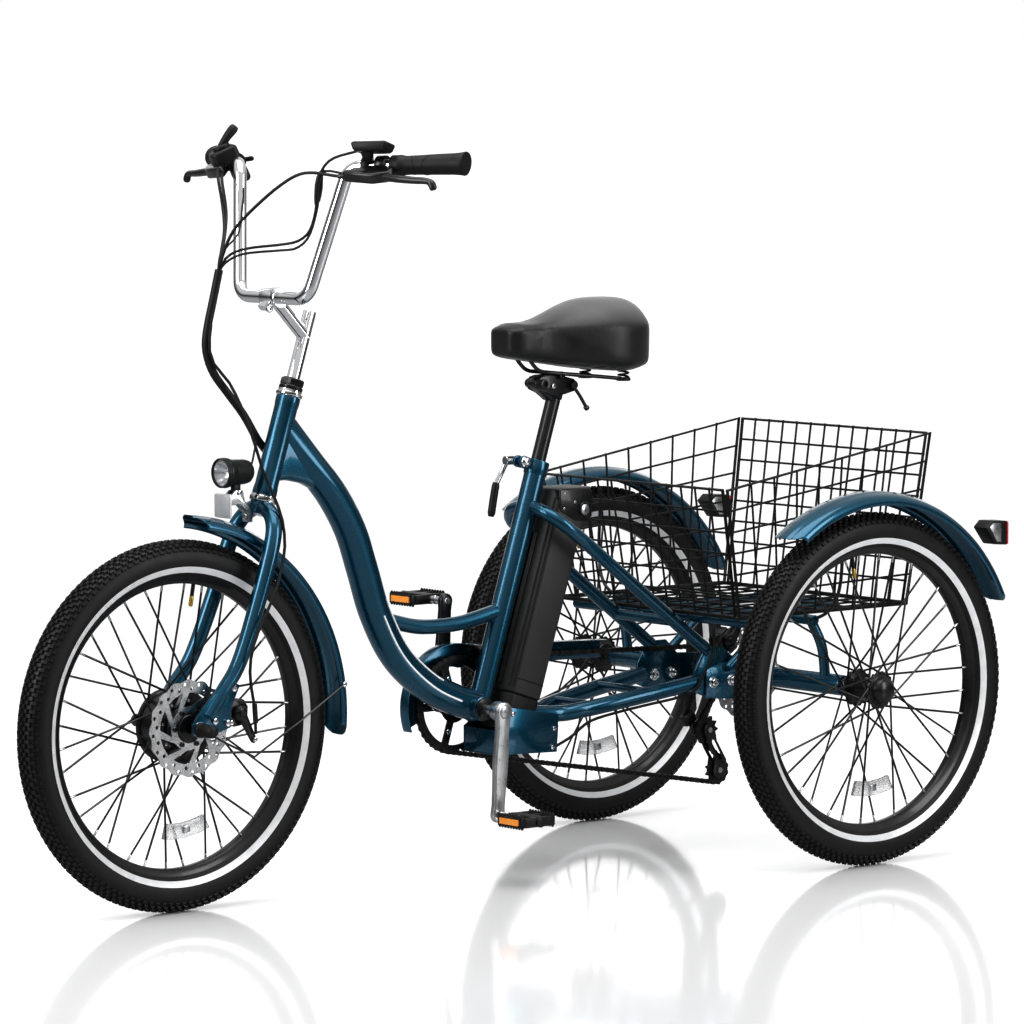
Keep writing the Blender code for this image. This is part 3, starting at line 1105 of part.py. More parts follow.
# Finishes and parenting: every moving set hangs from an empty on its joint
FINISHES = {
    "teal_paint": (TEAL, 0.35, 0.6), "black_paint": (BLACK, 0.45, 0.2), "rubber": (RUBBER, 0.85, 0.0),
    "chrome": (CHROME, 0.12, 1.0), "steel": (STEEL, 0.35, 1.0), "black_plastic": (BLACK, 0.55, 0.0),
    "vinyl": (BLACK, 0.5, 0.0), "red_lens": (RED, 0.2, 0.0),
}
MATERIALS = {name: material(name, *values) for name, values in FINISHES.items()}
SETS = [
    ("frame", (0.0, 0.0, 0.0), {
        "teal_paint": [main_frame, rear_subframe, controller_box, left_fender, right_fender, chain_guard],
        "black_paint": [basket_floor, basket_front, basket_rear, basket_left, basket_right, derailleur,
                        rear_caliper],
        "steel": [chain], "red_lens": [left_tail_reflector, right_tail_reflector],
        "black_plastic": [battery_rail, rear_cable]}),
    ("steering", HEAD_POINT, {
        "teal_paint": [fork, front_fender], "chrome": [stem, handlebar], "rubber": [left_grip, right_grip],
        "black_plastic": [left_brake_perch, right_brake_perch, display, lamp_bracket, cable_harness,
                          front_brake_cable],
        "black_paint": [front_caliper, front_axle]}),
    ("headlamp_tilt", LAMP_HINGE, {"black_plastic": [headlamp]}),
    ("front_wheel", FRONT, {
        "black_paint": [front_hub, front_rim], "rubber": [front_tyre], "steel": [front_rotor]}),
    ("rear_axle_set", AXLE, {
        "black_paint": left_wheel[:2], "rubber": left_wheel[2:], "steel": [rear_axle, rear_rotor]}),
    ("right_wheel", AXLE - Y * HALF_TRACK, {"black_paint": right_wheel[:2], "rubber": right_wheel[2:]}),
    ("crank", BB, {"chrome": [left_crank], "black_paint": [right_crank]}),
    ("left_pedal_set", PEDAL_EYE, {"black_plastic": [left_pedal]}),
    ("right_pedal_set", OTHER_EYE, {"black_plastic": [right_pedal]}),
    ("freewheel_set", AXLE, {"black_paint": [freewheel]}),
    ("post", seat_axis(SEAT_TUBE_TOP), {"black_paint": [seat_post]}),
    ("saddle", SADDLE_PIVOT, {"vinyl": [saddle_cushion], "black_paint": [saddle_base]}),
    ("latch", LATCH_PIVOT, {"black_paint": [saddle_latch]}),
    ("battery_set", seat_axis(BATTERY_LOW), {"black_plastic": [battery]}),
    ("release", QR_PIVOT, {"chrome": [seat_quick_release]}),
    ("left_lever", left.at(LEVER_RUN, LEVER_AHEAD), {"black_paint": [left_brake_lever]}),
    ("right_lever", right.at(LEVER_RUN, LEVER_AHEAD), {"black_paint": [right_brake_lever]}),
    ("shift", SHIFT_PIVOT, {"black_plastic": [shift_lever]}),
    ("throttle", right.at(0.0720), {"black_plastic": [throttle_lever]}),
]
tricycle = link("tricycle_origin", None)
tricycle.location = (FRONT_AXLE_X, 0.0, 0.0)
for name, pivot, pieces in SETS:
    joint = link(name + "_pivot", None)
    joint.parent = tricycle
    joint.location = pivot
    for finish, objects in pieces.items():
        for obj in objects:
            obj.parent = joint
            obj.location = -Vector(pivot)
            obj.data.materials.clear()
            obj.data.materials.append(MATERIALS[finish])
            obj.data.shade_smooth()
            obj.data.set_sharp_from_angle(angle=radians(35))
bpy.context.view_layer.update()
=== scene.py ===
"""Looks of an adult electric tricycle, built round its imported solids.

Pieces are measured from the front wheel's ground contact, as a workshop would, and moved to the
model's frame when they are fitted to their bodies.
"""
from math import acos, atan2, cos, degrees, hypot, pi, radians, sin, sqrt, tan

import bpy
from mathutils import Matrix, Vector


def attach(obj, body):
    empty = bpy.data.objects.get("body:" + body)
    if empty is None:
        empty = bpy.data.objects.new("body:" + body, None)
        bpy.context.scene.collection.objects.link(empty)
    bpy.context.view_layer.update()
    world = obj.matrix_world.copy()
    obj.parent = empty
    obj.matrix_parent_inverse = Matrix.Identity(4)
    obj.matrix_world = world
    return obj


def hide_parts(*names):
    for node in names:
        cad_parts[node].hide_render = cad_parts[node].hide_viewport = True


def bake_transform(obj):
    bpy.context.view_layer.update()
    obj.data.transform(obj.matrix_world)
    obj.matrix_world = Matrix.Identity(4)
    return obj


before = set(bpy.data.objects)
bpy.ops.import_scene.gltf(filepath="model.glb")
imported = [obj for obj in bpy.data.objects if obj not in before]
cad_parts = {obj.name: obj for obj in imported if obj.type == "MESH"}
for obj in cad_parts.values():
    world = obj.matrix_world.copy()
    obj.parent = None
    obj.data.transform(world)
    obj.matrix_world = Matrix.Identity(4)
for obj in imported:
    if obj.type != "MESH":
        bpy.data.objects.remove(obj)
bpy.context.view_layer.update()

FRONT_AXLE_X = 0.6195
SHIFT = Vector((FRONT_AXLE_X, 0.0, 0.0))
X = Vector((1.0, 0.0, 0.0))
Y = Vector((0.0, 1.0, 0.0))
Z = Vector((0.0, 0.0, 1.0))


# Bench work: selecting, drawing, turning, bending
def lay_down():
    """Leaves edit mode and selects nothing."""
    if bpy.context.object is not None and bpy.context.object.mode != "OBJECT":
        bpy.ops.object.mode_set(mode="OBJECT")
    bpy.ops.object.select_all(action="DESELECT")


def pick_up(piece):
    lay_down()
    piece.select_set(True)
    bpy.context.view_layer.objects.active = piece
    return piece


def apply_all(piece):
    """Applies a piece's modifiers in their order."""
    pick_up(piece)
    for step in list(piece.modifiers):
        bpy.ops.object.modifier_apply(modifier=step.name)
    return piece


def soften(piece, width, segments=2, angle=38.0):
    """Rounds the sharp edges of a piece."""
    if width > 0.0:
        step = piece.modifiers.new("edge", "BEVEL")
        step.width = width
        step.segments = segments
        step.limit_method = "ANGLE"
        step.angle_limit = radians(angle)
        step.miter_outer = "MITER_ARC"
        apply_all(piece)
    return piece


def draw(name, lines):
    """Draws lines point by point in one mesh, and stays in edit mode."""
    lay_down()
    piece = None
    for points in lines:
        points = [Vector(p) for p in points]
        bpy.ops.mesh.primitive_plane_add(size=0.001, location=points[0])
        if piece is None:
            piece = bpy.context.object
            piece.name = name
            bpy.ops.object.transform_apply()
            bpy.ops.object.mode_set(mode="EDIT")
        bpy.ops.mesh.merge(type="CENTER")
        for here, there in zip(points, points[1:]):
            bpy.ops.mesh.extrude_vertices_move(TRANSFORM_OT_translate={"value": tuple(there - here)})
    bpy.ops.mesh.select_all(action="SELECT")
    return piece


def tidy_mesh(piece, weld=0.00001):
    """Welds doubles and turns all faces outwards."""
    if piece.mode != "EDIT":
        pick_up(piece)
        bpy.ops.object.mode_set(mode="EDIT")
    bpy.ops.mesh.select_all(action="SELECT")
    bpy.ops.mesh.remove_doubles(threshold=weld)
    bpy.ops.mesh.normals_make_consistent(inside=False)
    lay_down()
    return piece


def turn(name, profile, centre, axis=Y, steps=64, sweep=2 * pi, start=0.0, wall=0.0, first=None):
    """Swings a profile of (radius, offset) points round an axis through a centre."""
    axis = Vector(axis).normalized()
    out = X * cos(start) + Z * sin(start) if first is None and abs(axis.y) > 0.999 else None
    if out is None:
        out = (first or axis.orthogonal()).normalized()
    centre = Vector(centre)
    piece = draw(name, [[centre + out * radius + axis * offset for radius, offset in profile]])
    bpy.ops.mesh.spin(steps=steps, angle=sweep, center=centre, axis=axis)
    tidy_mesh(piece)
    if wall:
        shell = piece.modifiers.new("wall", "SOLIDIFY")
        shell.thickness = wall
        shell.offset = 0.0
        apply_all(piece)
    return piece


def rod(name, paths, radius, sides=12, radii=None, closed=False):
    """Round bar bent along one path of points, or several bars in one piece."""
    lay_down()
    paths = [paths] if isinstance(paths[0], Vector) else paths
    line = bpy.data.curves.new(name, "CURVE")
    line.dimensions = "3D"
    line.bevel_depth = radius
    line.bevel_resolution = max(0, (sides - 4) // 2)
    line.use_fill_caps = not closed
    for path in paths:
        spline = line.splines.new("POLY")
        spline.points.add(len(path) - 1)
        spline.use_cyclic_u = closed
        for index, place in enumerate(path):
            spline.points[index].co = (*place, 1.0)
            spline.points[index].radius = radii[index] if radii else 1.0
    piece = bpy.data.objects.new(name, line)
    bpy.context.scene.collection.objects.link(piece)
    pick_up(piece)
    bpy.ops.object.convert(target="MESH")
    return tidy_mesh(bpy.context.object)


def plate(name, outline, y, thickness, holes=(), edge=0.0006, segments=2):
    """A plate cut to an outline of (x, z) points, with holes, standing in a plane of constant y."""
    loops = [[Vector((x, y - thickness / 2, z)) for x, z in [*loop, loop[0]]] for loop in (outline, *holes)]
    piece = draw(name, loops)
    bpy.ops.mesh.remove_doubles(threshold=0.00001)
    if holes:
        bpy.ops.mesh.fill()
        bpy.ops.mesh.dissolve_limited(angle_limit=0.02)
    else:
        bpy.ops.mesh.edge_face_add()
    bpy.ops.mesh.select_all(action="SELECT")
    bpy.ops.mesh.extrude_region_move(TRANSFORM_OT_translate={"value": (0.0, thickness, 0.0)})
    tidy_mesh(piece)
    return soften(piece, edge, segments)


def block(name, centre, size, tilt=None, edge=0.001, segments=2):
    """A box with rounded edges."""
    lay_down()
    turned = (tilt or Matrix.Identity(4)).to_euler()
    bpy.ops.mesh.primitive_cube_add(size=1.0, location=centre, rotation=turned, scale=size)
    piece = bpy.context.object
    piece.name = name
    bpy.ops.object.transform_apply()
    return soften(piece, edge, segments)


def moved(piece, matrix):
    """Moves or turns a piece's mesh."""
    piece.data.transform(matrix)
    if matrix.determinant() < 0:
        piece.data.flip_normals()
    return piece


def about(point, angle, axis):
    point = Vector(point)
    return Matrix.Translation(point) @ Matrix.Rotation(angle, 4, axis) @ Matrix.Translation(-point)


def flattened(piece, point, direction, share):
    """Squeezes a piece along a direction, towards a plane through a point."""
    squeeze = Matrix.Scale(share, 4, Vector(direction))
    return moved(piece, Matrix.Translation(point) @ squeeze @ Matrix.Translation(-Vector(point)))


def copied(piece, name, matrix=None):
    """A copy with a mesh of its own."""
    made = piece.copy()
    made.data = piece.data.copy()
    made.name = name
    bpy.context.scene.collection.objects.link(made)
    return moved(made, matrix) if matrix is not None else made


def across(piece, name):
    """The same piece on the other side of the middle plane."""
    return copied(piece, name, Matrix.Scale(-1.0, 4, Y))


def painted(piece, finish):
    piece.data.materials.clear()
    piece.data.materials.append(finish)
    return piece


def together(name, pieces):
    """Joins pieces into one, each keeping its finish."""
    lay_down()
    for piece in pieces:
        piece.select_set(True)
    bpy.context.view_layer.objects.active = pieces[0]
    bpy.ops.object.join()
    pieces[0].name = name
    return pieces[0]


def ringed(piece, count, centre, axis=Y):
    """Repeats a piece evenly round an axis, in one mesh."""
    pick_up(piece)
    bpy.ops.object.mode_set(mode="EDIT")
    bpy.ops.mesh.select_all(action="SELECT")
    bpy.ops.mesh.spin(steps=count - 1, angle=2 * pi * (count - 1) / count, center=centre, axis=axis, dupli=True)
    lay_down()
    return piece


def fit(piece, body, slot, *nodes, finish=None, angle=35.0):
    """Moves a finished piece to the model's frame, shades it and hangs it on its body."""
    if finish is not None:
        painted(piece, finish)
    piece.data.transform(Matrix.Translation(SHIFT))
    pick_up(piece)
    bpy.ops.object.shade_smooth_by_angle(angle=radians(angle))
    lay_down()
    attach(piece, body)
    if nodes:
        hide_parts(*nodes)
    return piece


# Lines: smooth runs, bends, arcs
def smooth(points, steps=6):
    """Points on a smooth curve through the given ones."""
    points = [Vector(p) for p in points]
    padded = [2 * points[0] - points[1], *points, 2 * points[-1] - points[-2]]
    path = []
    for i in range(1, len(padded) - 2):
        before, here, there, after = padded[i - 1:i + 3]
        for k in range(steps):
            t = k / steps
            path.append(0.5 * (2 * here + (there - before) * t
                               + (2 * before - 5 * here + 4 * there - after) * t ** 2
                               + (3 * here - before - 3 * there + after) * t ** 3))
    path.append(points[-1])
    return path


def bent(corners, radius, steps=8):
    """Straight runs with round bends at the inner corners."""
    corners = [Vector(c) for c in corners]
    path = [corners[0]]
    for before, here, after in zip(corners, corners[1:], corners[2:]):
        back = (before - here).normalized()
        ahead = (after - here).normalized()
        half = back.angle(ahead) / 2
        centre = here + (back + ahead).normalized() * (radius / sin(half))
        first = here + back * (radius / tan(half)) - centre
        last = here + ahead * (radius / tan(half)) - centre
        sweep = first.angle(last)
        for k in range(steps + 1):
            t = k / steps
            path.append(centre + (first * sin((1 - t) * sweep) + last * sin(t * sweep)) / sin(sweep))
    path.append(corners[-1])
    return path


def arc(x, z, radius, count, start=0.0, end=2 * pi):
    """Points of (x, z) round a circle, or along a part of it."""
    whole = abs(abs(end - start) - 2 * pi) < 1e-6
    span = count if whole else count - 1
    return [(x + radius * cos(start + (end - start) * i / span),
             z + radius * sin(start + (end - start) * i / span)) for i in range(count)]


def evenly(path, count):
    """The same line with evenly spaced points."""
    runs = [0.0]
    for a, b in zip(path, path[1:]):
        runs.append(runs[-1] + (b - a).length)
    made = []
    k = 0
    for i in range(count):
        goal = runs[-1] * i / (count - 1)
        while k < len(runs) - 2 and runs[k + 1] < goal:
            k += 1
        share = (goal - runs[k]) / max(1e-9, runs[k + 1] - runs[k])
        made.append(path[k].lerp(path[k + 1], min(1.0, share)))
    return made


def side_of(points, sign):
    return [Vector((p[0], sign * p[1], p[2])) for p in points]


# Measures shared with the solids
WHEEL_RADIUS = 0.305
FRONT = Vector((0.0, 0.0, WHEEL_RADIUS))
AXLE = Vector((-1.220, 0.0, WHEEL_RADIUS))
HALF_TRACK = 0.360
HEAD_UP = Vector((-cos(radians(72)), 0.0, sin(radians(72))))
SEAT_UP = HEAD_UP.copy()
SEAT_BACK = Vector((-sin(radians(72)), 0.0, -cos(radians(72))))
BB = Vector((-0.630, 0.0, 0.286))
STAY_Y = 0.0746
RIM_BED = 0.2340


def head_axis(z):
    return Vector((-0.1866 - (z - 0.6725) / tan(radians(72)), 0.0, z))


def seat_axis(z):
    return Vector((-0.7829 - (z - 0.7090) / tan(radians(72)), 0.0, z))


GRIP_SWEEP = radians(26.0)
LEVER_DROP = radians(25.0)
BAR_CORNER = Vector((-0.2513, 0.1454, 1.2130))
BAR_CLAMP = Vector((-0.2080, 0.0, 0.9970))
BAR_RADIUS = 0.0111


class Hand:
    """Directions at one end of the bar: along it, ahead of it and square to both."""

    def __init__(self, sign):
        self.sign = sign
        self.out = Vector((-sin(GRIP_SWEEP), sign * cos(GRIP_SWEEP), 0.03)).normalized()
        level = Vector((cos(GRIP_SWEEP), sign * sin(GRIP_SWEEP), 0.0))
        self.ahead = level * cos(LEVER_DROP) - Z * sin(LEVER_DROP)
        self.up = level * sin(LEVER_DROP) + Z * cos(LEVER_DROP)

    def at(self, run, ahead=0.0, up=0.0):
        start = Vector((BAR_CORNER.x, self.sign * BAR_CORNER.y, BAR_CORNER.z))
        step = Vector((-sin(GRIP_SWEEP), self.sign * cos(GRIP_SWEEP), 0.03))
        return start + step * run + self.ahead * ahead + self.up * up

    def tilt(self, roll=0.0):
        lean = self.out.cross(self.ahead)
        return Matrix((self.out, self.ahead, lean)).transposed().to_4x4() @ Matrix.Rotation(roll, 4, "X")


LEFT = Hand(1)
RIGHT = Hand(-1)


# Finishes
def new_group(name, inputs, outputs):
    """A node group with named sockets; returns it with its input and output nodes."""
    tree = bpy.data.node_groups.new(name, "ShaderNodeTree")
    for label, value in inputs:
        made = tree.interface.new_socket(label, in_out="INPUT", socket_type="NodeSocketFloat")
        made.default_value = value
    for label in outputs:
        tree.interface.new_socket(label, in_out="OUTPUT", socket_type="NodeSocketFloat")
    return tree, tree.nodes.new("NodeGroupInput"), tree.nodes.new("NodeGroupOutput")


def node(tree, kind, **values):
    made = tree.nodes.new(kind)
    for key, value in values.items():
        if hasattr(made, key):
            setattr(made, key, value)
        else:
            made.inputs[key.replace("_", " ")].default_value = value
    return made


def mottle_group():
    """Soft cloudy variation of a finish: wide clouds with finer ones in them."""
    tree, inside, outside = new_group("soft_mottle", [("Scale", 20.0)], ["Mask"])
    place = node(tree, "ShaderNodeTexCoord")
    cloud = node(tree, "ShaderNodeTexNoise", Detail=5.0, Roughness=0.62)
    spread = node(tree, "ShaderNodeMapRange", From_Min=0.32, From_Max=0.68)
    tree.links.new(place.outputs["Object"], cloud.inputs["Vector"])
    tree.links.new(inside.outputs["Scale"], cloud.inputs["Scale"])
    tree.links.new(cloud.outputs["Fac"], spread.inputs["Value"])
    tree.links.new(spread.outputs["Result"], outside.inputs["Mask"])
    return tree


def grain_group():
    """Fine skin of a moulded, sprayed or cast surface."""
    tree, inside, outside = new_group("fine_grain", [("Scale", 900.0), ("Cell_Scale", 500.0), ("Cells", 0.0)], ["Height"])
    place = node(tree, "ShaderNodeTexCoord")
    dots = node(tree, "ShaderNodeTexNoise", Detail=2.0)
    cells = node(tree, "ShaderNodeTexVoronoi")
    blend = node(tree, "ShaderNodeMix", data_type="FLOAT")
    tree.links.new(place.outputs["Object"], dots.inputs["Vector"])
    tree.links.new(place.outputs["Object"], cells.inputs["Vector"])
    tree.links.new(inside.outputs["Scale"], dots.inputs["Scale"])
    tree.links.new(inside.outputs["Cell_Scale"], cells.inputs["Scale"])
    tree.links.new(inside.outputs["Cells"], blend.inputs[0])
    tree.links.new(dots.outputs["Fac"], blend.inputs[2])
    tree.links.new(cells.outputs["Distance"], blend.inputs[3])
    tree.links.new(blend.outputs[0], outside.inputs["Height"])
    return tree


def scuff_group():
    """Sparse hairline marks, longer one way than the other."""
    tree, inside, outside = new_group("hairline_scuffs", [("Scale", 60.0), ("Reach", 8.0)], ["Mask"])
    place = node(tree, "ShaderNodeTexCoord")
    stretch = node(tree, "ShaderNodeCombineXYZ", X=1.0, Y=1.0)
    pull = node(tree, "ShaderNodeVectorMath", operation="MULTIPLY")
    marks = node(tree, "ShaderNodeTexNoise", Detail=3.0, Roughness=0.7, Distortion=0.6)
    sift = node(tree, "ShaderNodeMapRange", From_Min=0.60, From_Max=0.74)
    tree.links.new(inside.outputs["Reach"], stretch.inputs["Z"])
    tree.links.new(place.outputs["Object"], pull.inputs[0])
    tree.links.new(stretch.outputs["Vector"], pull.inputs[1])
    tree.links.new(pull.outputs["Vector"], marks.inputs["Vector"])
    tree.links.new(inside.outputs["Scale"], marks.inputs["Scale"])
    tree.links.new(marks.outputs["Fac"], sift.inputs["Value"])
    tree.links.new(sift.outputs["Result"], outside.inputs["Mask"])
    return tree


def road_dust_group():
    """A thin film low on the machine, where a wheel throws it up."""
    tree, inside, outside = new_group("road_dust", [("Height", 0.25), ("Amount", 0.3)], ["Mask"])
    place = node(tree, "ShaderNodeTexCoord")
    parts = node(tree, "ShaderNodeSeparateXYZ")
    fall = node(tree, "ShaderNodeMapRange", From_Min=0.0, To_Min=1.0, To_Max=0.0)
    cloud = node(tree, "ShaderNodeTexNoise", Scale=55.0, Detail=6.0, Roughness=0.65)
    mix = node(tree, "ShaderNodeMath", operation="MULTIPLY")
    level = node(tree, "ShaderNodeMath", operation="MULTIPLY", use_clamp=True)
    tree.links.new(place.outputs["Object"], parts.inputs["Vector"])
    tree.links.new(place.outputs["Object"], cloud.inputs["Vector"])
    tree.links.new(parts.outputs["Z"], fall.inputs["Value"])
    tree.links.new(inside.outputs["Height"], fall.inputs["From Max"])
    tree.links.new(fall.outputs["Result"], mix.inputs[0])
    tree.links.new(cloud.outputs["Fac"], mix.inputs[1])
    tree.links.new(mix.outputs["Value"], level.inputs[0])
    tree.links.new(inside.outputs["Amount"], level.inputs[1])
    tree.links.new(level.outputs["Value"], outside.inputs["Mask"])
    return tree


MOTTLE = mottle_group()
GRAIN = grain_group()
SCUFFS = scuff_group()
ROAD_DUST = road_dust_group()


def placed(tree, group, **values):
    made = tree.nodes.new("ShaderNodeGroup")
    made.node_tree = group
    for key, value in values.items():
        made.inputs[key].default_value = value
    return made


def colour_mix(tree, mask, first, second):
    """Mixes two colours, or a colour socket and a colour, by a mask."""
    made = node(tree, "ShaderNodeMix", data_type="RGBA")
    tree.links.new(mask, made.inputs[0])
    for socket, value in ((made.inputs[6], first), (made.inputs[7], second)):
        if isinstance(value, tuple):
            socket.default_value = (*value, 1.0)
        else:
            tree.links.new(value, socket)
    return made.outputs[2]


def finish(name, colour, second, rough, metal=0.0, coat=0.0, mottle=18.0, grain=(900.0, 500.0, 0.0),
           bump=0.00002, scuff=(60.0, 8.0, 0.1), dust=0.0, **sockets):
    """A surface with cloudy colour, varied gloss, a fine grain, hairline marks and road dust."""
    made = bpy.data.materials.new(name)
    made.use_nodes = True
    tree = made.node_tree
    shader = tree.nodes["Principled BSDF"]
    clouds = placed(tree, MOTTLE, Scale=mottle)
    marks = placed(tree, SCUFFS, Scale=scuff[0], Reach=scuff[1])
    film = placed(tree, ROAD_DUST, Height=0.30, Amount=dust)
    skin = placed(tree, GRAIN, Scale=grain[0], Cell_Scale=grain[1], Cells=grain[2])
    base = colour_mix(tree, clouds.outputs["Mask"], colour, second)
    if dust:
        base = colour_mix(tree, film.outputs["Mask"], base, (0.22, 0.20, 0.17))
    tree.links.new(base, shader.inputs["Base Color"])
    gloss = node(tree, "ShaderNodeMapRange", To_Min=rough[0], To_Max=rough[1])
    tree.links.new(clouds.outputs["Mask"], gloss.inputs["Value"])
    worn = node(tree, "ShaderNodeMath", operation="MULTIPLY_ADD", use_clamp=True)
    worn.inputs[1].default_value = scuff[2]
    tree.links.new(marks.outputs["Mask"], worn.inputs[0])
    tree.links.new(gloss.outputs["Result"], worn.inputs[2])
    tree.links.new(worn.outputs["Value"], shader.inputs["Roughness"])
    relief = node(tree, "ShaderNodeBump", Strength=1.0, Distance=bump)
    tree.links.new(skin.outputs["Height"], relief.inputs["Height"])
    tree.links.new(relief.outputs["Normal"], shader.inputs["Normal"])
    shader.inputs["Metallic"].default_value = metal
    shader.inputs["Coat Weight"].default_value = coat
    shader.inputs["Coat Roughness"].default_value = 0.08
    for key, value in sockets.items():
        shader.inputs[key.replace("_", " ")].default_value = value
    return made


teal_paint = finish("teal_metallic_paint", (0.0050, 0.088, 0.150), (0.0058, 0.095, 0.161), (0.25, 0.28), metal=0.80,
                    coat=0.9, mottle=45.0, grain=(2400.0, 1500.0, 0.35), bump=0.0000010, scuff=(45.0, 6.0, 0.012),
                    dust=0.01)
black_enamel = finish("black_enamel", (0.0040, 0.0040, 0.0044), (0.0065, 0.0065, 0.0070), (0.26, 0.33), coat=0.3,
                      mottle=60.0, grain=(1400.0, 900.0, 0.3), bump=0.00001, scuff=(50.0, 6.0, 0.08), dust=0.02)
powder_black = finish("powder_coat_black", (0.0045, 0.0045, 0.0049), (0.0080, 0.0080, 0.0085), (0.38, 0.50),
                      mottle=90.0, grain=(1100.0, 800.0, 0.5), bump=0.00004, dust=0.02, Specular_IOR_Level=0.4)
black_plastic = finish("moulded_black_plastic", (0.0050, 0.0050, 0.0054), (0.0090, 0.0090, 0.0095), (0.38, 0.48),
                       mottle=40.0, grain=(900.0, 700.0, 0.6), bump=0.00005, dust=0.02, Specular_IOR_Level=0.42)
battery_shell = finish("battery_shell", (0.026, 0.0255, 0.025), (0.032, 0.0315, 0.031), (0.40, 0.48), mottle=30.0,
                       grain=(900.0, 700.0, 0.6), bump=0.00004, scuff=(50.0, 6.0, 0.05))
tyre_rubber = finish("tyre_rubber", (0.0045, 0.0045, 0.0048), (0.0080, 0.0080, 0.0084), (0.44, 0.56), mottle=35.0,
                     grain=(700.0, 600.0, 0.3), bump=0.00006, scuff=(90.0, 3.0, 0.08), dust=0.03, Specular_IOR_Level=0.45)
grip_rubber = finish("grip_rubber", (0.0045, 0.0045, 0.0049), (0.0075, 0.0075, 0.0080), (0.46, 0.56), mottle=60.0,
                     grain=(900.0, 900.0, 0.8), bump=0.00008, Specular_IOR_Level=0.42)
cable_rubber = finish("cable_rubber", (0.0045, 0.0045, 0.0049), (0.0075, 0.0075, 0.0080), (0.40, 0.50), mottle=70.0,
                      grain=(1200.0, 900.0, 0.4), bump=0.00005, Specular_IOR_Level=0.4)
saddle_vinyl = finish("saddle_vinyl", (0.0055, 0.0055, 0.0059), (0.0090, 0.0090, 0.0095), (0.34, 0.44), mottle=25.0,
                      grain=(520.0, 620.0, 0.85), bump=0.00008, scuff=(30.0, 3.0, 0.05), Sheen_Weight=0.20,
                      Sheen_Roughness=0.40)


def paint_sheen_above(material, low, high, colour):
    """Fades a finish to a lighter colour between two heights: a painted sheen of light on what lies above."""
    tree = material.node_tree
    shade = tree.nodes["Principled BSDF"].inputs["Base Color"]
    place = node(tree, "ShaderNodeTexCoord")
    parts = node(tree, "ShaderNodeSeparateXYZ")
    fade = node(tree, "ShaderNodeMapRange", From_Min=low, From_Max=high)
    tree.links.new(place.outputs["Object"], parts.inputs["Vector"])
    tree.links.new(parts.outputs["Z"], fade.inputs["Value"])
    tree.links.new(colour_mix(tree, fade.outputs["Result"], shade.links[0].from_socket, colour), shade)


# Painted sheen: the saddle's top is painted a lighter grey where overhead light falls on it.
paint_sheen_above(saddle_vinyl, 0.930, 0.962, (0.115, 0.115, 0.118))
chrome = finish("chrome_plate", (0.80, 0.81, 0.83), (0.88, 0.89, 0.90), (0.03, 0.06), metal=1.0, mottle=25.0,
                grain=(1500.0, 900.0, 0.2), bump=0.0000004, scuff=(70.0, 10.0, 0.04))
bright_steel = finish("bright_steel", (0.50, 0.51, 0.52), (0.62, 0.63, 0.64), (0.22, 0.34), metal=1.0, mottle=80.0,
                      grain=(1500.0, 900.0, 0.2), bump=0.00002, scuff=(110.0, 12.0, 0.15))
polished_alloy = finish("polished_alloy", (0.70, 0.71, 0.72), (0.80, 0.80, 0.81), (0.26, 0.36), metal=1.0, mottle=45.0,
                        grain=(1300.0, 900.0, 0.2), bump=0.00001, scuff=(80.0, 9.0, 0.12))
chain_steel = finish("oiled_chain_steel", (0.035, 0.034, 0.033), (0.075, 0.072, 0.070), (0.28, 0.46), metal=0.9,
                     mottle=120.0, grain=(1500.0, 900.0, 0.3), bump=0.00003)
reflex_band = finish("reflective_band", (0.66, 0.67, 0.68), (0.76, 0.77, 0.78), (0.28, 0.40), metal=0.25, mottle=55.0,
                     grain=(1800.0, 1600.0, 0.9), bump=0.00003)
white_line = finish("white_line", (0.78, 0.79, 0.80), (0.84, 0.84, 0.85), (0.30, 0.40), mottle=70.0,
                    grain=(1500.0, 900.0, 0.3), bump=0.00001)
amber_lens = finish("amber_reflector", (0.82, 0.28, 0.03), (0.94, 0.40, 0.07), (0.10, 0.20), mottle=120.0,
                    grain=(300.0, 620.0, 0.95), bump=0.0005, coat=0.8)
red_lens = finish("red_reflector", (0.45, 0.006, 0.006), (0.62, 0.012, 0.010), (0.08, 0.18), mottle=120.0,
                  grain=(300.0, 620.0, 0.95), bump=0.0005, coat=0.8)
clear_lens = finish("clear_reflector", (0.90, 0.91, 0.92), (0.97, 0.97, 0.98), (0.06, 0.14), mottle=120.0,
                    grain=(300.0, 520.0, 0.95), bump=0.0006, coat=0.8, Transmission_Weight=0.8, IOR=1.49)
lamp_glass = finish("lamp_glass", (0.90, 0.91, 0.92), (0.96, 0.96, 0.97), (0.03, 0.07), mottle=60.0,
                    grain=(300.0, 260.0, 0.9), bump=0.0004, coat=0.6, Transmission_Weight=0.9, IOR=1.49)
brass_cap = finish("brass_valve_cap", (0.55, 0.38, 0.07), (0.68, 0.48, 0.11), (0.25, 0.36), metal=0.85, mottle=150.0,
                   grain=(1500.0, 900.0, 0.3), bump=0.00003)
screen_glass = finish("display_glass", (0.004, 0.0045, 0.005), (0.007, 0.0075, 0.008), (0.05, 0.10), mottle=50.0,
                      grain=(900.0, 500.0, 0.1), bump=0.000005, coat=1.0)


# Floor, light and camera
NEAR = Vector((0.6465, 0.7630, 0.0))


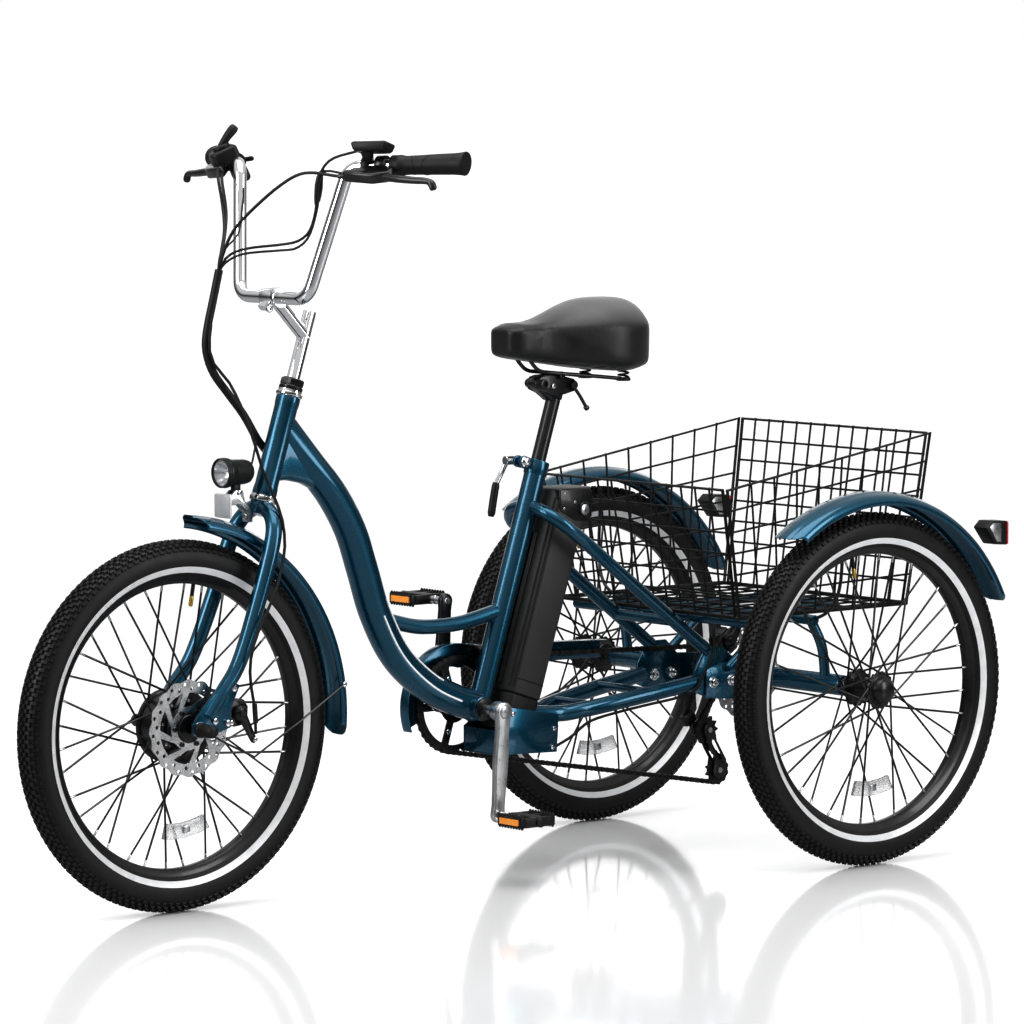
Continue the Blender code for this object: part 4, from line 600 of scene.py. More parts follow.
def surroundings():
    """White to the camera and to matt surfaces; a white backdrop, a bright ceiling and dim walls in reflections."""
    world = bpy.data.worlds.new("studio")
    bpy.context.scene.world = world
    world.use_nodes = True
    tree = world.node_tree
    sky = tree.nodes["Background"]
    ray = node(tree, "ShaderNodeLightPath")
    place = node(tree, "ShaderNodeTexCoord")
    facing = node(tree, "ShaderNodeVectorMath", operation="DOT_PRODUCT")
    facing.inputs[1].default_value = -NEAR
    backdrop = node(tree, "ShaderNodeMapRange", From_Min=0.84, From_Max=0.96, To_Min=0.05, To_Max=1.30)
    parts = node(tree, "ShaderNodeSeparateXYZ")
    ceiling = node(tree, "ShaderNodeMapRange", From_Min=0.06, From_Max=0.45, To_Min=0.05, To_Max=0.70)
    room = node(tree, "ShaderNodeMath", operation="MAXIMUM")
    matt = node(tree, "ShaderNodeMix", data_type="FLOAT")
    matt.inputs[3].default_value = 0.72
    shown = node(tree, "ShaderNodeMix", data_type="FLOAT")
    shown.inputs[3].default_value = 1.0
    tree.links.new(place.outputs["Generated"], facing.inputs[0])
    tree.links.new(place.outputs["Generated"], parts.inputs["Vector"])
    tree.links.new(facing.outputs["Value"], backdrop.inputs["Value"])
    tree.links.new(parts.outputs["Z"], ceiling.inputs["Value"])
    tree.links.new(backdrop.outputs["Result"], room.inputs[0])
    tree.links.new(ceiling.outputs["Result"], room.inputs[1])
    tree.links.new(ray.outputs["Is Diffuse Ray"], matt.inputs[0])
    tree.links.new(room.outputs["Value"], matt.inputs[2])
    tree.links.new(ray.outputs["Is Camera Ray"], shown.inputs[0])
    tree.links.new(matt.outputs[0], shown.inputs[2])
    tree.links.new(shown.outputs[0], sky.inputs["Strength"])
    sky.inputs["Color"].default_value = (1.0, 1.0, 1.0, 1.0)


def studio():
    lay_down()
    bpy.ops.mesh.primitive_circle_add(vertices=96, radius=900.0, fill_type="NGON", location=(0.0, 0.0, 0.0))
    floor = bpy.context.object
    floor.name = "studio_floor"
    pale = finish("pale_floor", (0.90, 0.90, 0.905), (0.905, 0.905, 0.91), (0.085, 0.087), mottle=0.3,
                  grain=(6.0, 4.0, 0.2), bump=0.0, scuff=(1.0, 1.0, 0.0))
    tree = pale.node_tree
    shade = tree.nodes["Principled BSDF"].inputs["Base Color"]
    ray = node(tree, "ShaderNodeLightPath")
    tree.links.new(colour_mix(tree, ray.outputs["Is Glossy Ray"], shade.links[0].from_socket, (0.32, 0.32, 0.325)), shade)
    painted(floor, pale)
    surroundings()
    bpy.context.scene.view_settings.view_transform = "Standard"
    bpy.context.scene.view_settings.gamma = 0.80
    eye = bpy.data.cameras.new("photo_camera")
    eye.sensor_width = 36.0
    eye.lens = 194.316
    eye.clip_end = 3000.0
    camera = bpy.data.objects.new("photo_camera", eye)
    camera.location = SHIFT + Vector((5.35778, 7.17379, 1.42913))
    camera.rotation_euler = (radians(90.0 - 4.952), 0.0, radians(139.723))
    bpy.context.scene.collection.objects.link(camera)
    bpy.context.scene.camera = camera
    middle = Vector((0.0, 0.0, 0.6))
    left = Vector((0.763, -0.6465, 0.0))
    for name, spot, size, power in (
            ("softbox_left", middle + left * 2.9 + NEAR * 2.0 + Z * 1.3, (1.4, 2.8), 70.0),
            ("softbox_right", middle - left * 3.0 + NEAR * 1.4 + Z * 1.1, (1.2, 2.6), 50.0),
            ("softbox_top", middle + NEAR * 0.4 + Z * 3.2, (3.2, 3.2), 90.0)):
        lamp = bpy.data.lights.new(name, "AREA")
        lamp.shape = "RECTANGLE"
        lamp.size, lamp.size_y = size
        lamp.energy = power
        box = bpy.data.objects.new(name, lamp)
        box.location = spot
        box.rotation_euler = (middle - spot).to_track_quat("-Z", "Y").to_euler()
        bpy.context.scene.collection.objects.link(box)


studio()


# Cables first: their routes are the solids' own
def cable(name, route, radius, body, nodes=(), steps=4, sides=10, blend=None, sleeve=None):
    """A cable run as a tube along a smooth route, hung on its body, or left loose in place where a blend is given, with
    a plug joint where one is given.
    """
    path = evenly(smooth(route, steps), 34)
    piece = painted(rod(name, path, radius, sides), cable_rubber)
    piece.data.transform(Matrix.Translation(SHIFT))
    pick_up(piece)
    bpy.ops.object.shade_smooth_by_angle(angle=radians(50))
    lay_down()
    if blend:
        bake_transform(piece)
    else:
        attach(piece, body)
    if nodes:
        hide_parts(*nodes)
    if sleeve:
        first, last, wide = sleeve
        joint = rod(name + "_joint", path[first:last], wide, 14, [0.75] + [1.0] * (last - first - 2) + [0.75])
        fit(joint, body, "black_plastic", finish=black_plastic, angle=40)
    return piece


LOOM = [(-0.1188, -0.030, 1.0434), (-0.1062, -0.030, 0.9947), (-0.0936, -0.030, 0.9461), (-0.0914, -0.030, 0.9135),
        (-0.1040, -0.029, 0.8771), (-0.1356, -0.027, 0.8382), (-0.1649, -0.026, 0.8042), (-0.1916, -0.0262, 0.7650),
        (-0.2120, -0.0285, 0.7440)]
LEFT_BRAKE_RUN = [LEFT.at(-0.0035, 0.0350), (-0.1960, 0.100, 1.2030), (-0.1756, 0.060, 1.1820),
                  (-0.1524, 0.010, 1.1384), (-0.1344, -0.015, 1.1039), (-0.1230, -0.028, 1.0628),
                  (-0.1180, -0.030, 1.0400)]
RIGHT_RUN = [RIGHT.at(-0.0035, 0.0350), (-0.1870, -0.110, 1.1830), (-0.1760, -0.085, 1.1337),
             (-0.1446, -0.050, 1.0912), (-0.1215, -0.032, 1.0597), (-0.1175, -0.030, 1.0380)]
FRONT_BRAKE_RUN = [(-0.0970, -0.0235, 0.9550), (-0.0905, -0.0200, 0.9150), (-0.1030, -0.0180, 0.8840),
                   (-0.1245, -0.0160, 0.8640), (-0.1360, 0.0120, 0.8120), (-0.1500, 0.0280, 0.7500),
                   (-0.1609, 0.0300, 0.7168), (-0.1727, 0.0420, 0.6775), (-0.1798, 0.0540, 0.6434),
                   (-0.1799, 0.0630, 0.6111), (-0.1725, 0.0710, 0.5777), (-0.1526, 0.0790, 0.5319),
                   (-0.1297, 0.0830, 0.4928), (-0.1095, 0.0850, 0.4616), (-0.0934, 0.0870, 0.4269),
                   (-0.0899, 0.0860, 0.3911), (-0.0985, 0.0810, 0.3560), (-0.1090, 0.0732, 0.3380),
                   (-0.1118, 0.0725, 0.2900)]
REAR_RUN = [(-0.7880, 0.0380, 0.2100), (-0.8150, 0.0470, 0.2250), (-0.8500, 0.0520, 0.2480),
            (-0.9000, 0.0580, 0.2590), (-0.9700, 0.0660, 0.2690), (-1.0400, 0.0740, 0.2780),
            (-1.0640, 0.0890, 0.2900), (-1.0800, 0.0930, 0.3180), (-1.1010, 0.0940, 0.3520),
            (-1.1150, 0.0800, 0.3790), (-1.1290, 0.0640, 0.4030)]
DISPLAY_LEAD = [LEFT.at(0.0240, 0.0040, 0.0300), (-0.2241, 0.13, 1.224), (-0.2071, 0.12, 1.192), (-0.2067, 0.115, 1.146),
                (-0.2059, 0.10, 1.11), (-0.2009, 0.08, 1.0935), (-0.1933, 0.05, 1.086), (-0.1495, 0.0, 1.078),
                (-0.1300, -0.0240, 1.0640), (-0.1205, -0.0300, 1.0420)]
loom = cable("control_loom", LOOM, 0.0068, "steering", ["cable_harness"], sides=14,
             blend=("steering", "frame", SHIFT + Vector((-0.10, -0.03, 0.96)), SHIFT + Vector((-0.20, -0.03, 0.76))))
left_brake_cable = cable("left_brake_cable", LEFT_BRAKE_RUN, 0.0026, "steering")
right_cable = cable("right_control_cable", RIGHT_RUN, 0.0026, "steering")
front_brake_cable = cable("front_brake_hose", FRONT_BRAKE_RUN, 0.0025, "steering", ["front_brake_cable"])
rear_cable = cable("rear_brake_cable_run", REAR_RUN, 0.0025, "frame", ["rear_cable"])
SWITCH_LEAD = [LEFT.at(0.0300, 0.0380), (-0.2165, 0.1240, 1.2060), (-0.2150, 0.1160, 1.1785), (-0.2090, 0.1120, 1.1365),
               (-0.2040, 0.0980, 1.0980), (-0.1960, 0.0760, 1.0800), (-0.1880, 0.0480, 1.0760), (-0.1480, 0.0, 1.0700),
               (-0.1285, -0.0240, 1.0560), (-0.1195, -0.0310, 1.0400)]
display_lead = cable("display_lead", DISPLAY_LEAD, 0.0022, "steering", sleeve=(7, 13, 0.0042))
SHIFT_RUN = [RIGHT.at(0.0330, 0.0290, 0.0080), (-0.1900, -0.1250, 1.1900), (-0.1790, -0.1000, 1.1500),
             (-0.1560, -0.0640, 1.1080), (-0.1290, -0.0380, 1.0700), (-0.1190, -0.0300, 1.0400)]
SMALL_LOOP = [RIGHT.at(0.0500, -0.0060, -0.0060), (-0.2450, -0.1300, 1.1800), (-0.2360, -0.1180, 1.1500),
              (-0.2050, -0.0900, 1.1000), (-0.1500, -0.0540, 1.0760), (-0.1215, -0.0330, 1.0440)]
shift_cable = cable("shift_cable", SHIFT_RUN, 0.0026, "steering")
small_lead = cable("throttle_lead", SMALL_LOOP, 0.0016, "steering")
LAMP_LEAD = [(-0.1930, -0.0245, 0.7640), (-0.1830, -0.0200, 0.7460), (-0.1720, -0.0120, 0.7280), (-0.1590, -0.0030, 0.7150)]
lamp_lead = cable("lamp_lead", LAMP_LEAD, 0.0017, "steering",
                  blend=("steering", "lamp", SHIFT + Vector((-0.1850, -0.0210, 0.7480)), SHIFT + Vector((-0.1640, -0.0060, 0.7180))))
switch_lead = cable("switch_lead", SWITCH_LEAD, 0.0020, "steering", sleeve=(6, 12, 0.0040))


# Wheels
def knob_row():
    """One pitch of tread: nine tapered knobs across the tyre, each other row half a pitch on."""
    lay_down()
    bpy.ops.mesh.primitive_cube_add(size=1.0, location=(0.0, 0.0, 0.0), scale=(0.0086, 0.0058, 0.0034))
    knob = bpy.context.object
    bpy.ops.object.transform_apply()
    for spot in knob.data.vertices:
        if spot.co.z > 0:
            spot.co.x *= 0.72
            spot.co.y *= 0.72
    rows = []
    for row, (y, radius, lean) in enumerate(((0.0, 0.3033, 0.0), (0.0068, 0.3026, 9.0), (0.0134, 0.3003, 22.0),
                                            (0.0192, 0.2962, 40.0), (0.0236, 0.2898, 58.0))):
        phase = (row % 2) * pi / TREAD_PITCHES
        for sign in ((1,) if row == 0 else (1, -1)):
            place = Matrix.Rotation(-phase, 4, "Y") @ Matrix.Translation((0.0, sign * y, radius))
            tip = Matrix.Rotation(radians(-sign * lean), 4, "X")
            stretch = Matrix.Diagonal((1.0, 1.0, 1.0 if row < 4 else 0.8, 1.0))
            rows.append(copied(knob, "knob", Matrix.Translation(FRONT) @ place @ tip @ stretch))
    bpy.data.objects.remove(knob)
    return together("tread", rows)


TREAD_PITCHES = 136
SIDEWALL = [(0.2436, 0.0112), (0.2462, 0.0150), (0.2515, 0.0196), (0.2570, 0.0230), (0.2640, 0.0257),
            (0.2715, 0.0267), (0.2785, 0.0262), (0.2850, 0.0246), (0.2905, 0.0214), (0.2955, 0.0168),
            (0.2990, 0.0110), (0.3010, 0.0050)]


def tyre():
    """Tyre with knobs, and a pale reflective band on each sidewall."""
    ring = SIDEWALL + [(r, -y) for r, y in reversed(SIDEWALL)]
    casing = painted(turn("tyre", ring + [ring[0]], FRONT, steps=108), tyre_rubber)
    tread = painted(ringed(knob_row(), TREAD_PITCHES, FRONT), tyre_rubber)
    band_line = [(0.2519, 0.0205), (0.2570, 0.0236), (0.2622, 0.0257), (0.2618, 0.0240), (0.2525, 0.0190)]
    pieces = [casing, tread]
    for sign in (1, -1):
        line = [(r, sign * y) for r, y in band_line]
        pieces.append(painted(turn("band", line + [line[0]], FRONT, steps=108), reflex_band))
        bead = [(0.2478, 0.0170), (0.2492, 0.0180), (0.2502, 0.0176), (0.2490, 0.0160)]
        bead = [(r, sign * y) for r, y in bead]
        pieces.append(painted(turn("bead_line", bead + [bead[0]], FRONT, steps=108), tyre_rubber))
    return together("tyre", pieces)


def rim():
    """Box-section rim with a valve and its brass cap."""
    half = [(0.2330, 0.0040), (0.2337, 0.0066), (0.2362, 0.0092), (0.2420, 0.0126), (0.2470, 0.0147), (0.2488, 0.0158),
            (0.2496, 0.0152), (0.2490, 0.0142), (0.2446, 0.0116)]
    ring = half + [(r, -y) for r, y in reversed(half)]
    hoop = painted(turn("hoop", ring + [ring[0]], FRONT, steps=108), black_enamel)
    stem = painted(turn("valve_stem", [(0.0, 0.236), (0.0033, 0.236), (0.0033, 0.214), (0.0027, 0.212),
                                       (0.0027, 0.205), (0.0, 0.205)], FRONT, Z, steps=16), tyre_rubber)
    cap = painted(turn("valve_cap", [(0.0, 0.196), (0.0026, 0.1965), (0.0037, 0.199), (0.0037, 0.2115), (0.0031, 0.2135),
                                     (0.0, 0.2135)], FRONT, Z, steps=14), brass_cap)
    valve = together("valve", [stem, cap])
    moved(valve, about(FRONT, radians(-10), "Y"))
    return together("rim", [hoop, valve])


def spokes(flange_radius, flange_y, cross):
    """Thirty-six crossed spokes with elbows at the flanges and nipples in the rim."""
    wires = []
    nipples = []
    for i in range(4):
        side = 1 if i % 2 else -1
        lean = 1 if (i // 2) % 2 else -1
        rim_angle = 2 * pi * (i + 0.5) / 36
        hub_angle = rim_angle + lean * cross
        hub_y = side * (flange_y + lean * 0.0020)
        start = Vector((flange_radius * cos(hub_angle), hub_y, flange_radius * sin(hub_angle)))
        end = Vector((RIM_BED * cos(rim_angle), side * 0.003, RIM_BED * sin(rim_angle)))
        run = (end - start).normalized()
        wires.append([FRONT + start - Y * side * lean * 0.0045, FRONT + start - Y * side * lean * 0.0015 + run * 0.0008,
                      FRONT + start + run * 0.004, FRONT + end - run * 0.004])
        nipples.append([FRONT + end - run * 0.0125, FRONT + end - run * 0.0115, FRONT + end + run * 0.001])
    wire = painted(ringed(rod("spoke_wires", wires, 0.0019, 6), 9, FRONT), black_enamel)
    nipple = painted(ringed(rod("nipples", nipples, 0.0021, 8, [0.62, 1.0, 1.0]), 9, FRONT), bright_steel)
    return together("spokes", [wire, nipple])


def spoke_reflector(angle, radius=0.170):
    """Clear reflector clipped between spokes, bowed with the rim."""
    outer = arc(FRONT.x, FRONT.z, radius + 0.016, 9, angle - 0.26, angle + 0.26)
    inner = arc(FRONT.x, FRONT.z, radius - 0.010, 9, angle + 0.24, angle - 0.24)
    lens = painted(plate("reflector_lens", outer + inner, 0.0, 0.0075, edge=0.0015), clear_lens)
    clip = painted(block("reflector_clip", FRONT + Vector((cos(angle), 0.0, sin(angle))) * (radius + 0.002),
                         (0.012, 0.010, 0.014), Matrix.Rotation(-angle, 4, "Y"), 0.0012), bright_steel)
    return together("spoke_reflector", [lens, clip])


front_tyre = tyre()
front_rim = rim()
front_reflector = spoke_reflector(radians(-97))
WHEELS = (("left", "rear_axle_set", 1), ("right", "right_wheel", -1))
for side, body, sign in WHEELS:
    there = Matrix.Translation(AXLE - FRONT + Y * sign * HALF_TRACK)
    fit(copied(front_tyre, side + "_tyre_dressed", there), body, "tyre", side + "_tyre", angle=42)
    fit(copied(front_rim, side + "_rim_dressed", there @ about(FRONT, radians(20), "Y")), body, "black_paint",
        side + "_rim", angle=50)
    fit(copied(front_reflector, side + "_spoke_reflector", there @ about(FRONT, radians(-4), "Y")), body, "chrome")
fit(front_tyre, "front_wheel", "tyre", "front_tyre", angle=42)
fit(front_rim, "front_wheel", "black_paint", "front_rim", angle=50)
fit(front_reflector, "front_wheel", "chrome")


def bolt(place, direction, radius, height, sides=6, finish_used=None, recess=0.5):
    """A bolt head with a chamfered rim and a socket."""
    lay_down()
    place = Vector(place)
    direction = Vector(direction).normalized()
    turned = direction.to_track_quat("Z", "Y").to_euler()
    bpy.ops.mesh.primitive_cylinder_add(vertices=sides, radius=radius, depth=height,
                                        location=place + direction * height / 2, rotation=turned)
    piece = bpy.context.object
    bpy.ops.object.transform_apply()
    soften(piece, min(radius, height) * 0.18, 2, 30)
    if recess:
        for spot in piece.data.polygons:
            spot.select = spot.normal.dot(direction) > 0.99
        pick_up(piece)
        bpy.ops.object.mode_set(mode="EDIT")
        bpy.ops.mesh.select_mode(type="FACE")
        bpy.ops.mesh.inset(thickness=radius * (1 - recess) * 0.7)
        bpy.ops.mesh.extrude_region_move(TRANSFORM_OT_translate={"value": tuple(direction * -height * 0.5)})
        bpy.ops.mesh.select_mode(type="VERT")
        lay_down()
    return painted(piece, finish_used or chrome)


def ring_of(make, count, centre, radius, y, start=0.0):
    """Pieces made at even places round a hub."""
    return [make(Vector(centre) + Y * y + Vector((cos(a), 0.0, sin(a))) * radius)
            for a in (start + 2 * pi * i / count for i in range(count))]


def rotor(name, centre, bore, bolts):
    """Brake disc with a lobed, drilled track on slanted arms."""
    outline = []
    for i in range(192):
        angle = 2 * pi * i / 192
        radius = 0.0782 + 0.0018 * cos(16 * angle)
        outline.append((centre.x + radius * cos(angle), centre.z + radius * sin(angle)))
    holes = [arc(centre.x, centre.z, bore, 24)]
    for i in range(8):
        start = 2 * pi * i / 8
        holes.append(arc(centre.x, centre.z, 0.0585, 6, start + 0.02, start + 0.58)
                     + arc(centre.x, centre.z, 0.0360, 4, start + 0.10, start - 0.34))
    for i in range(32):
        angle = 2 * pi * (i + 0.5) / 32
        radius = (0.0650, 0.0725)[i % 2]
        holes.append(arc(centre.x + radius * cos(angle), centre.z + radius * sin(angle), 0.0034, 8))
    disc = painted(plate(name, outline, centre.y, 0.0019, holes, edge=0.0), bright_steel)
    heads = ring_of(lambda spot: bolt(spot, Y, 0.0042, 0.0026, 16, black_enamel), 6, centre, bolts, 0.0009)
    return together(name, [disc, *heads])


def front_hub():
    """Hub motor: a drum with flanges, bolted cover, axle boss and disc carrier."""
    drum = [(0.0085, 0.0430), (0.0210, 0.0430), (0.0225, 0.0415), (0.0225, 0.0388), (0.0300, 0.0383), (0.0330, 0.0300),
            (0.0345, 0.0268), (0.0520, 0.0262), (0.0535, 0.0255), (0.0585, 0.0252), (0.0604, 0.0236), (0.0604, 0.0196),
            (0.0585, 0.0180), (0.0552, 0.0172), (0.0545, 0.0120), (0.0545, -0.0120), (0.0552, -0.0172),
            (0.0585, -0.0180), (0.0604, -0.0196), (0.0604, -0.0236), (0.0585, -0.0252), (0.0520, -0.0262),
            (0.0345, -0.0285), (0.0320, -0.0310), (0.0210, -0.0338), (0.0085, -0.0340)]
    shell = painted(turn("motor_drum", drum + [drum[0]], FRONT, steps=72), black_enamel)
    heads = ring_of(lambda spot: bolt(spot, Y, 0.0028, 0.0022, 16, bright_steel), 8, FRONT, 0.0440, 0.0262, 0.2)
    heads += ring_of(lambda spot: bolt(spot, -Y, 0.0028, 0.0022, 16, bright_steel), 8, FRONT, 0.0440, -0.0272, 0.2)
    return together("front_hub", [shell, *heads])


fit(front_hub(), "front_wheel", "black_paint", "front_hub", angle=40)
fit(spokes(0.0565, 0.0215, radians(38)), "front_wheel", "black_paint", angle=60).name = "front_spokes"
fit(rotor("front_disc", FRONT + Y * 0.0396, 0.0245, 0.0295), "front_wheel", "steel", "front_rotor")


def rear_hub(sign):
    """Hub shell with scalloped flanges and a domed cap."""
    shell_line = [(0.0, 0.0500), (0.0060, 0.0498), (0.0125, 0.0488), (0.0178, 0.0464), (0.0216, 0.0424), (0.0234, 0.0380),
                  (0.0240, 0.0330), (0.0262, 0.0318), (0.0270, 0.0300), (0.0270, 0.0255), (0.0200, 0.0235),
                  (0.0188, 0.0190), (0.0188, -0.0190), (0.0200, -0.0235), (0.0270, -0.0255), (0.0270, -0.0300),
                  (0.0215, -0.0320), (0.0190, -0.0355), (0.0095, -0.0360), (0.0095, 0.0200), (0.0, 0.0200)]
    centre = AXLE + Y * sign * HALF_TRACK
    shell = painted(turn("hub_shell", [(r, sign * y) for r, y in shell_line], centre, steps=56), black_enamel)
    pieces = [shell]
    for y in (0.0278, -0.0278):
        scallops = []
        for i in range(72):
            angle = 2 * pi * i / 72
            radius = 0.0318 + 0.0016 * cos(18 * angle)
            scallops.append((centre.x + radius * cos(angle), centre.z + radius * sin(angle)))
        pieces.append(painted(plate("flange", scallops, centre.y + sign * y, 0.0042, edge=0.0008), black_enamel))
    return together("rear_hub", pieces)


for side, body, sign in WHEELS:
    fit(rear_hub(sign), body, "black_paint", side + "_hub", angle=40).name = side + "_hub_dressed"
    wires = moved(spokes(0.0282, 0.0278, radians(60.5)), Matrix.Translation(AXLE - FRONT + Y * sign * HALF_TRACK))
    fit(wires, body, "black_paint", angle=60).name = side + "_spokes"
axle_line = [(0.0, 0.3860), (0.0078, 0.3860), (0.0085, 0.3845), (0.0085, -0.3845), (0.0078, -0.3860), (0.0, -0.3860)]
rear_axle = painted(turn("rear_axle_bar", axle_line, AXLE, steps=24), bright_steel)
fit(rear_axle, "rear_axle_set", "steel", "rear_axle")
fit(rotor("rear_disc", AXLE + Y * 0.0480, 0.0094, 0.0245), "rear_axle_set", "steel", "rear_rotor")


# Frame tubes
def weld_bead(end, run, radius, post, post_run, post_radius, bead=0.0021):
    """A rippled bead round the place where one tube ends on another."""
    run = Vector(run).normalized()
    post_run = Vector(post_run).normalized()
    side = run.orthogonal().normalized()
    other = run.cross(side)
    loop = []
    for k in range(40):
        angle = 2 * pi * k / 40
        start = Vector(end) + (side * cos(angle) + other * sin(angle)) * radius - run * 0.2
        gap = start - Vector(post)
        gap -= post_run * gap.dot(post_run)
        flat_run = run - post_run * run.dot(post_run)
        a = flat_run.dot(flat_run)
        b = 2 * gap.dot(flat_run)
        c = gap.dot(gap) - post_radius ** 2
        reach = (-b - sqrt(max(0.0, b * b - 4 * a * c))) / (2 * a)
        loop.append(start + run * reach)
    return rod("weld_bead", loop, bead, 8, [1.0 if k % 2 else 0.82 for k in range(40)], closed=True)


def bar(name, start, end, radius, sides=20):
    """A straight tube with rounded ends."""
    start = Vector(start)
    end = Vector(end)
    run = (end - start).normalized()
    ease = min(0.0015, radius * 0.2)
    return rod(name, [start, start + run * ease, end - run * ease, end], radius, sides, [0.86, 1.0, 1.0, 0.86])


def drawn_in(tube, end, share, reach):
    """Narrows a tube sideways towards one end."""
    for spot in tube.data.vertices:
        run = min(1.0, (spot.co - end).length / reach)
        spot.co.y *= share + (1 - share) * run * run * (3 - 2 * run)
    return tube


main_line = smooth([(-0.2220, 0, 0.7870), (-0.2809, 0, 0.7195), (-0.3292, 0, 0.6650), (-0.3673, 0, 0.6042),
                    (-0.3930, 0, 0.5358), (-0.4203, 0, 0.4600), (-0.4633, 0, 0.3880), (-0.5250, 0, 0.3345),
                    (-0.5880, 0, 0.3040), (-0.6380, 0, 0.2880)], 7)
top_line = smooth([(-0.4280, 0, 0.4525), (-0.4959, 0, 0.4350), (-0.5395, 0, 0.4300), (-0.5944, 0, 0.4310),
                   (-0.6386, 0, 0.4368), (-0.7020, 0, 0.4500)], 6)
head_line = [(0.0150, -0.0005), (0.0202, 0.0), (0.0206, 0.004), (0.0203, 0.012), (0.0195, 0.0170), (0.0195, 0.1500),
             (0.0203, 0.1560), (0.0206, 0.164), (0.0202, 0.1680), (0.0150, 0.1685)]
HEAD_LOW = head_axis(0.6720)
frame_tubes = [
    turn("head_tube", [(r, h) for r, h in head_line], HEAD_LOW, HEAD_UP, steps=40),
    drawn_in(rod("main_tube", main_line, 0.0270, 32), main_line[0], 0.62, 0.15),
    rod("top_tube", top_line, 0.0127, 20),
    bar("seat_tube", seat_axis(0.2800), seat_axis(0.6960), 0.0190, 32),
    bar("bottom_bracket", BB - Y * 0.0340, BB + Y * 0.0340, 0.0210, 32),
    bar("stay_bridge", (-1.0240, -STAY_Y, 0.4130), (-1.0240, STAY_Y, 0.4130), 0.0095),
    bar("front_bridge", (-0.8560, -0.0480, 0.2780), (-0.8560, 0.0480, 0.2780), 0.0060),
    bar("rear_bridge", (-0.9700, -0.0660, 0.2930), (-0.9700, 0.0660, 0.2930), 0.0070),
]
gusset_line = [(-0.1960, 0.6940), (-0.2260, 0.7800), (-0.2620, 0.7420), (-0.3150, 0.6820), (-0.2960, 0.6720), (-0.2620, 0.6880),
               (-0.2280, 0.6950)]
frame_tubes.append(plate("gusset", gusset_line, 0.0, 0.0300, edge=0.0110, segments=5))
for sign in (1, -1):
    top_bend = smooth(side_of([(-0.7560, 0.0080, 0.6235), (-0.7600, 0.0460, 0.6130), (-0.7800, 0.0700, 0.5925),
                               (-0.8150, STAY_Y, 0.5667)], sign), 6)
    seat_stay = top_bend + [Vector((-1.1050, sign * STAY_Y, 0.3545))]
    chain_stay = smooth(side_of([(-0.6480, 0.0180, 0.2810), (-0.7850, 0.0280, 0.2650), (-0.8400, 0.0450, 0.2690),
                                 (-0.9400, 0.0620, 0.2830), (-1.0850, STAY_Y, 0.3020)], sign), 6)
    lug = [(-1.0720, 0.2850), (-1.0720, 0.3200), (-1.0950, 0.3600), (-1.1400, 0.3600), (-1.1720, 0.3300),
           (-1.1720, 0.2780), (-1.1000, 0.2740)]
    frame_tubes += [rod("seat_stay", seat_stay, 0.0115, 20), rod("chain_stay", chain_stay, 0.0140, 20),
                    plate("dropout_plate", lug, sign * STAY_Y, 0.0050, edge=0.0012)]
    ear = arc(-0.7420, 0.7000, 0.0105, 13, radians(-90), radians(90)) + [(-0.7740, 0.6980), (-0.7740, 0.6820)]
    frame_tubes.append(plate("clamp_ear", ear, sign * 0.0085, 0.0060, edge=0.0010))
frame_tubes += [
    turn("seat_collar", [(0.0133, -0.022), (0.0200, -0.022), (0.0206, -0.020), (0.0206, 0.000), (0.0200, 0.002),
                         (0.0133, 0.002), (0.0133, -0.022)], seat_axis(0.6965), SEAT_UP, steps=36),
    weld_bead(top_line[-1], top_line[-1] - top_line[-4], 0.0127, seat_axis(0.45), SEAT_UP, 0.0190),
]
main_frame = together("main_frame_tubes", frame_tubes)
fit(main_frame, "frame", "teal_paint", "main_frame", finish=teal_paint, angle=32)


def main_stripes():
    """Two plain white lines along the left of the main tube's lower bend."""
    strips = []
    for low, lift, high in ((33, 0.020, 52), (35, -0.002, 57)):
        line = []
        for k in range(low, high):
            here = main_line[k]
            ahead = (main_line[k + 1] - main_line[k - 1]).normalized()
            up = Y.cross(ahead)
            up = up if up.z > 0 else -up
            angle = lift / 0.0272
            line.append(here + (Y * cos(angle) + up * sin(angle)) * 0.02715)
        strip = rod("stripe", line, 0.0017, 10)
        strips.append(strip)
    return together("main_tube_lines", strips)


fit(main_stripes(), "frame", "chrome", finish=white_line)


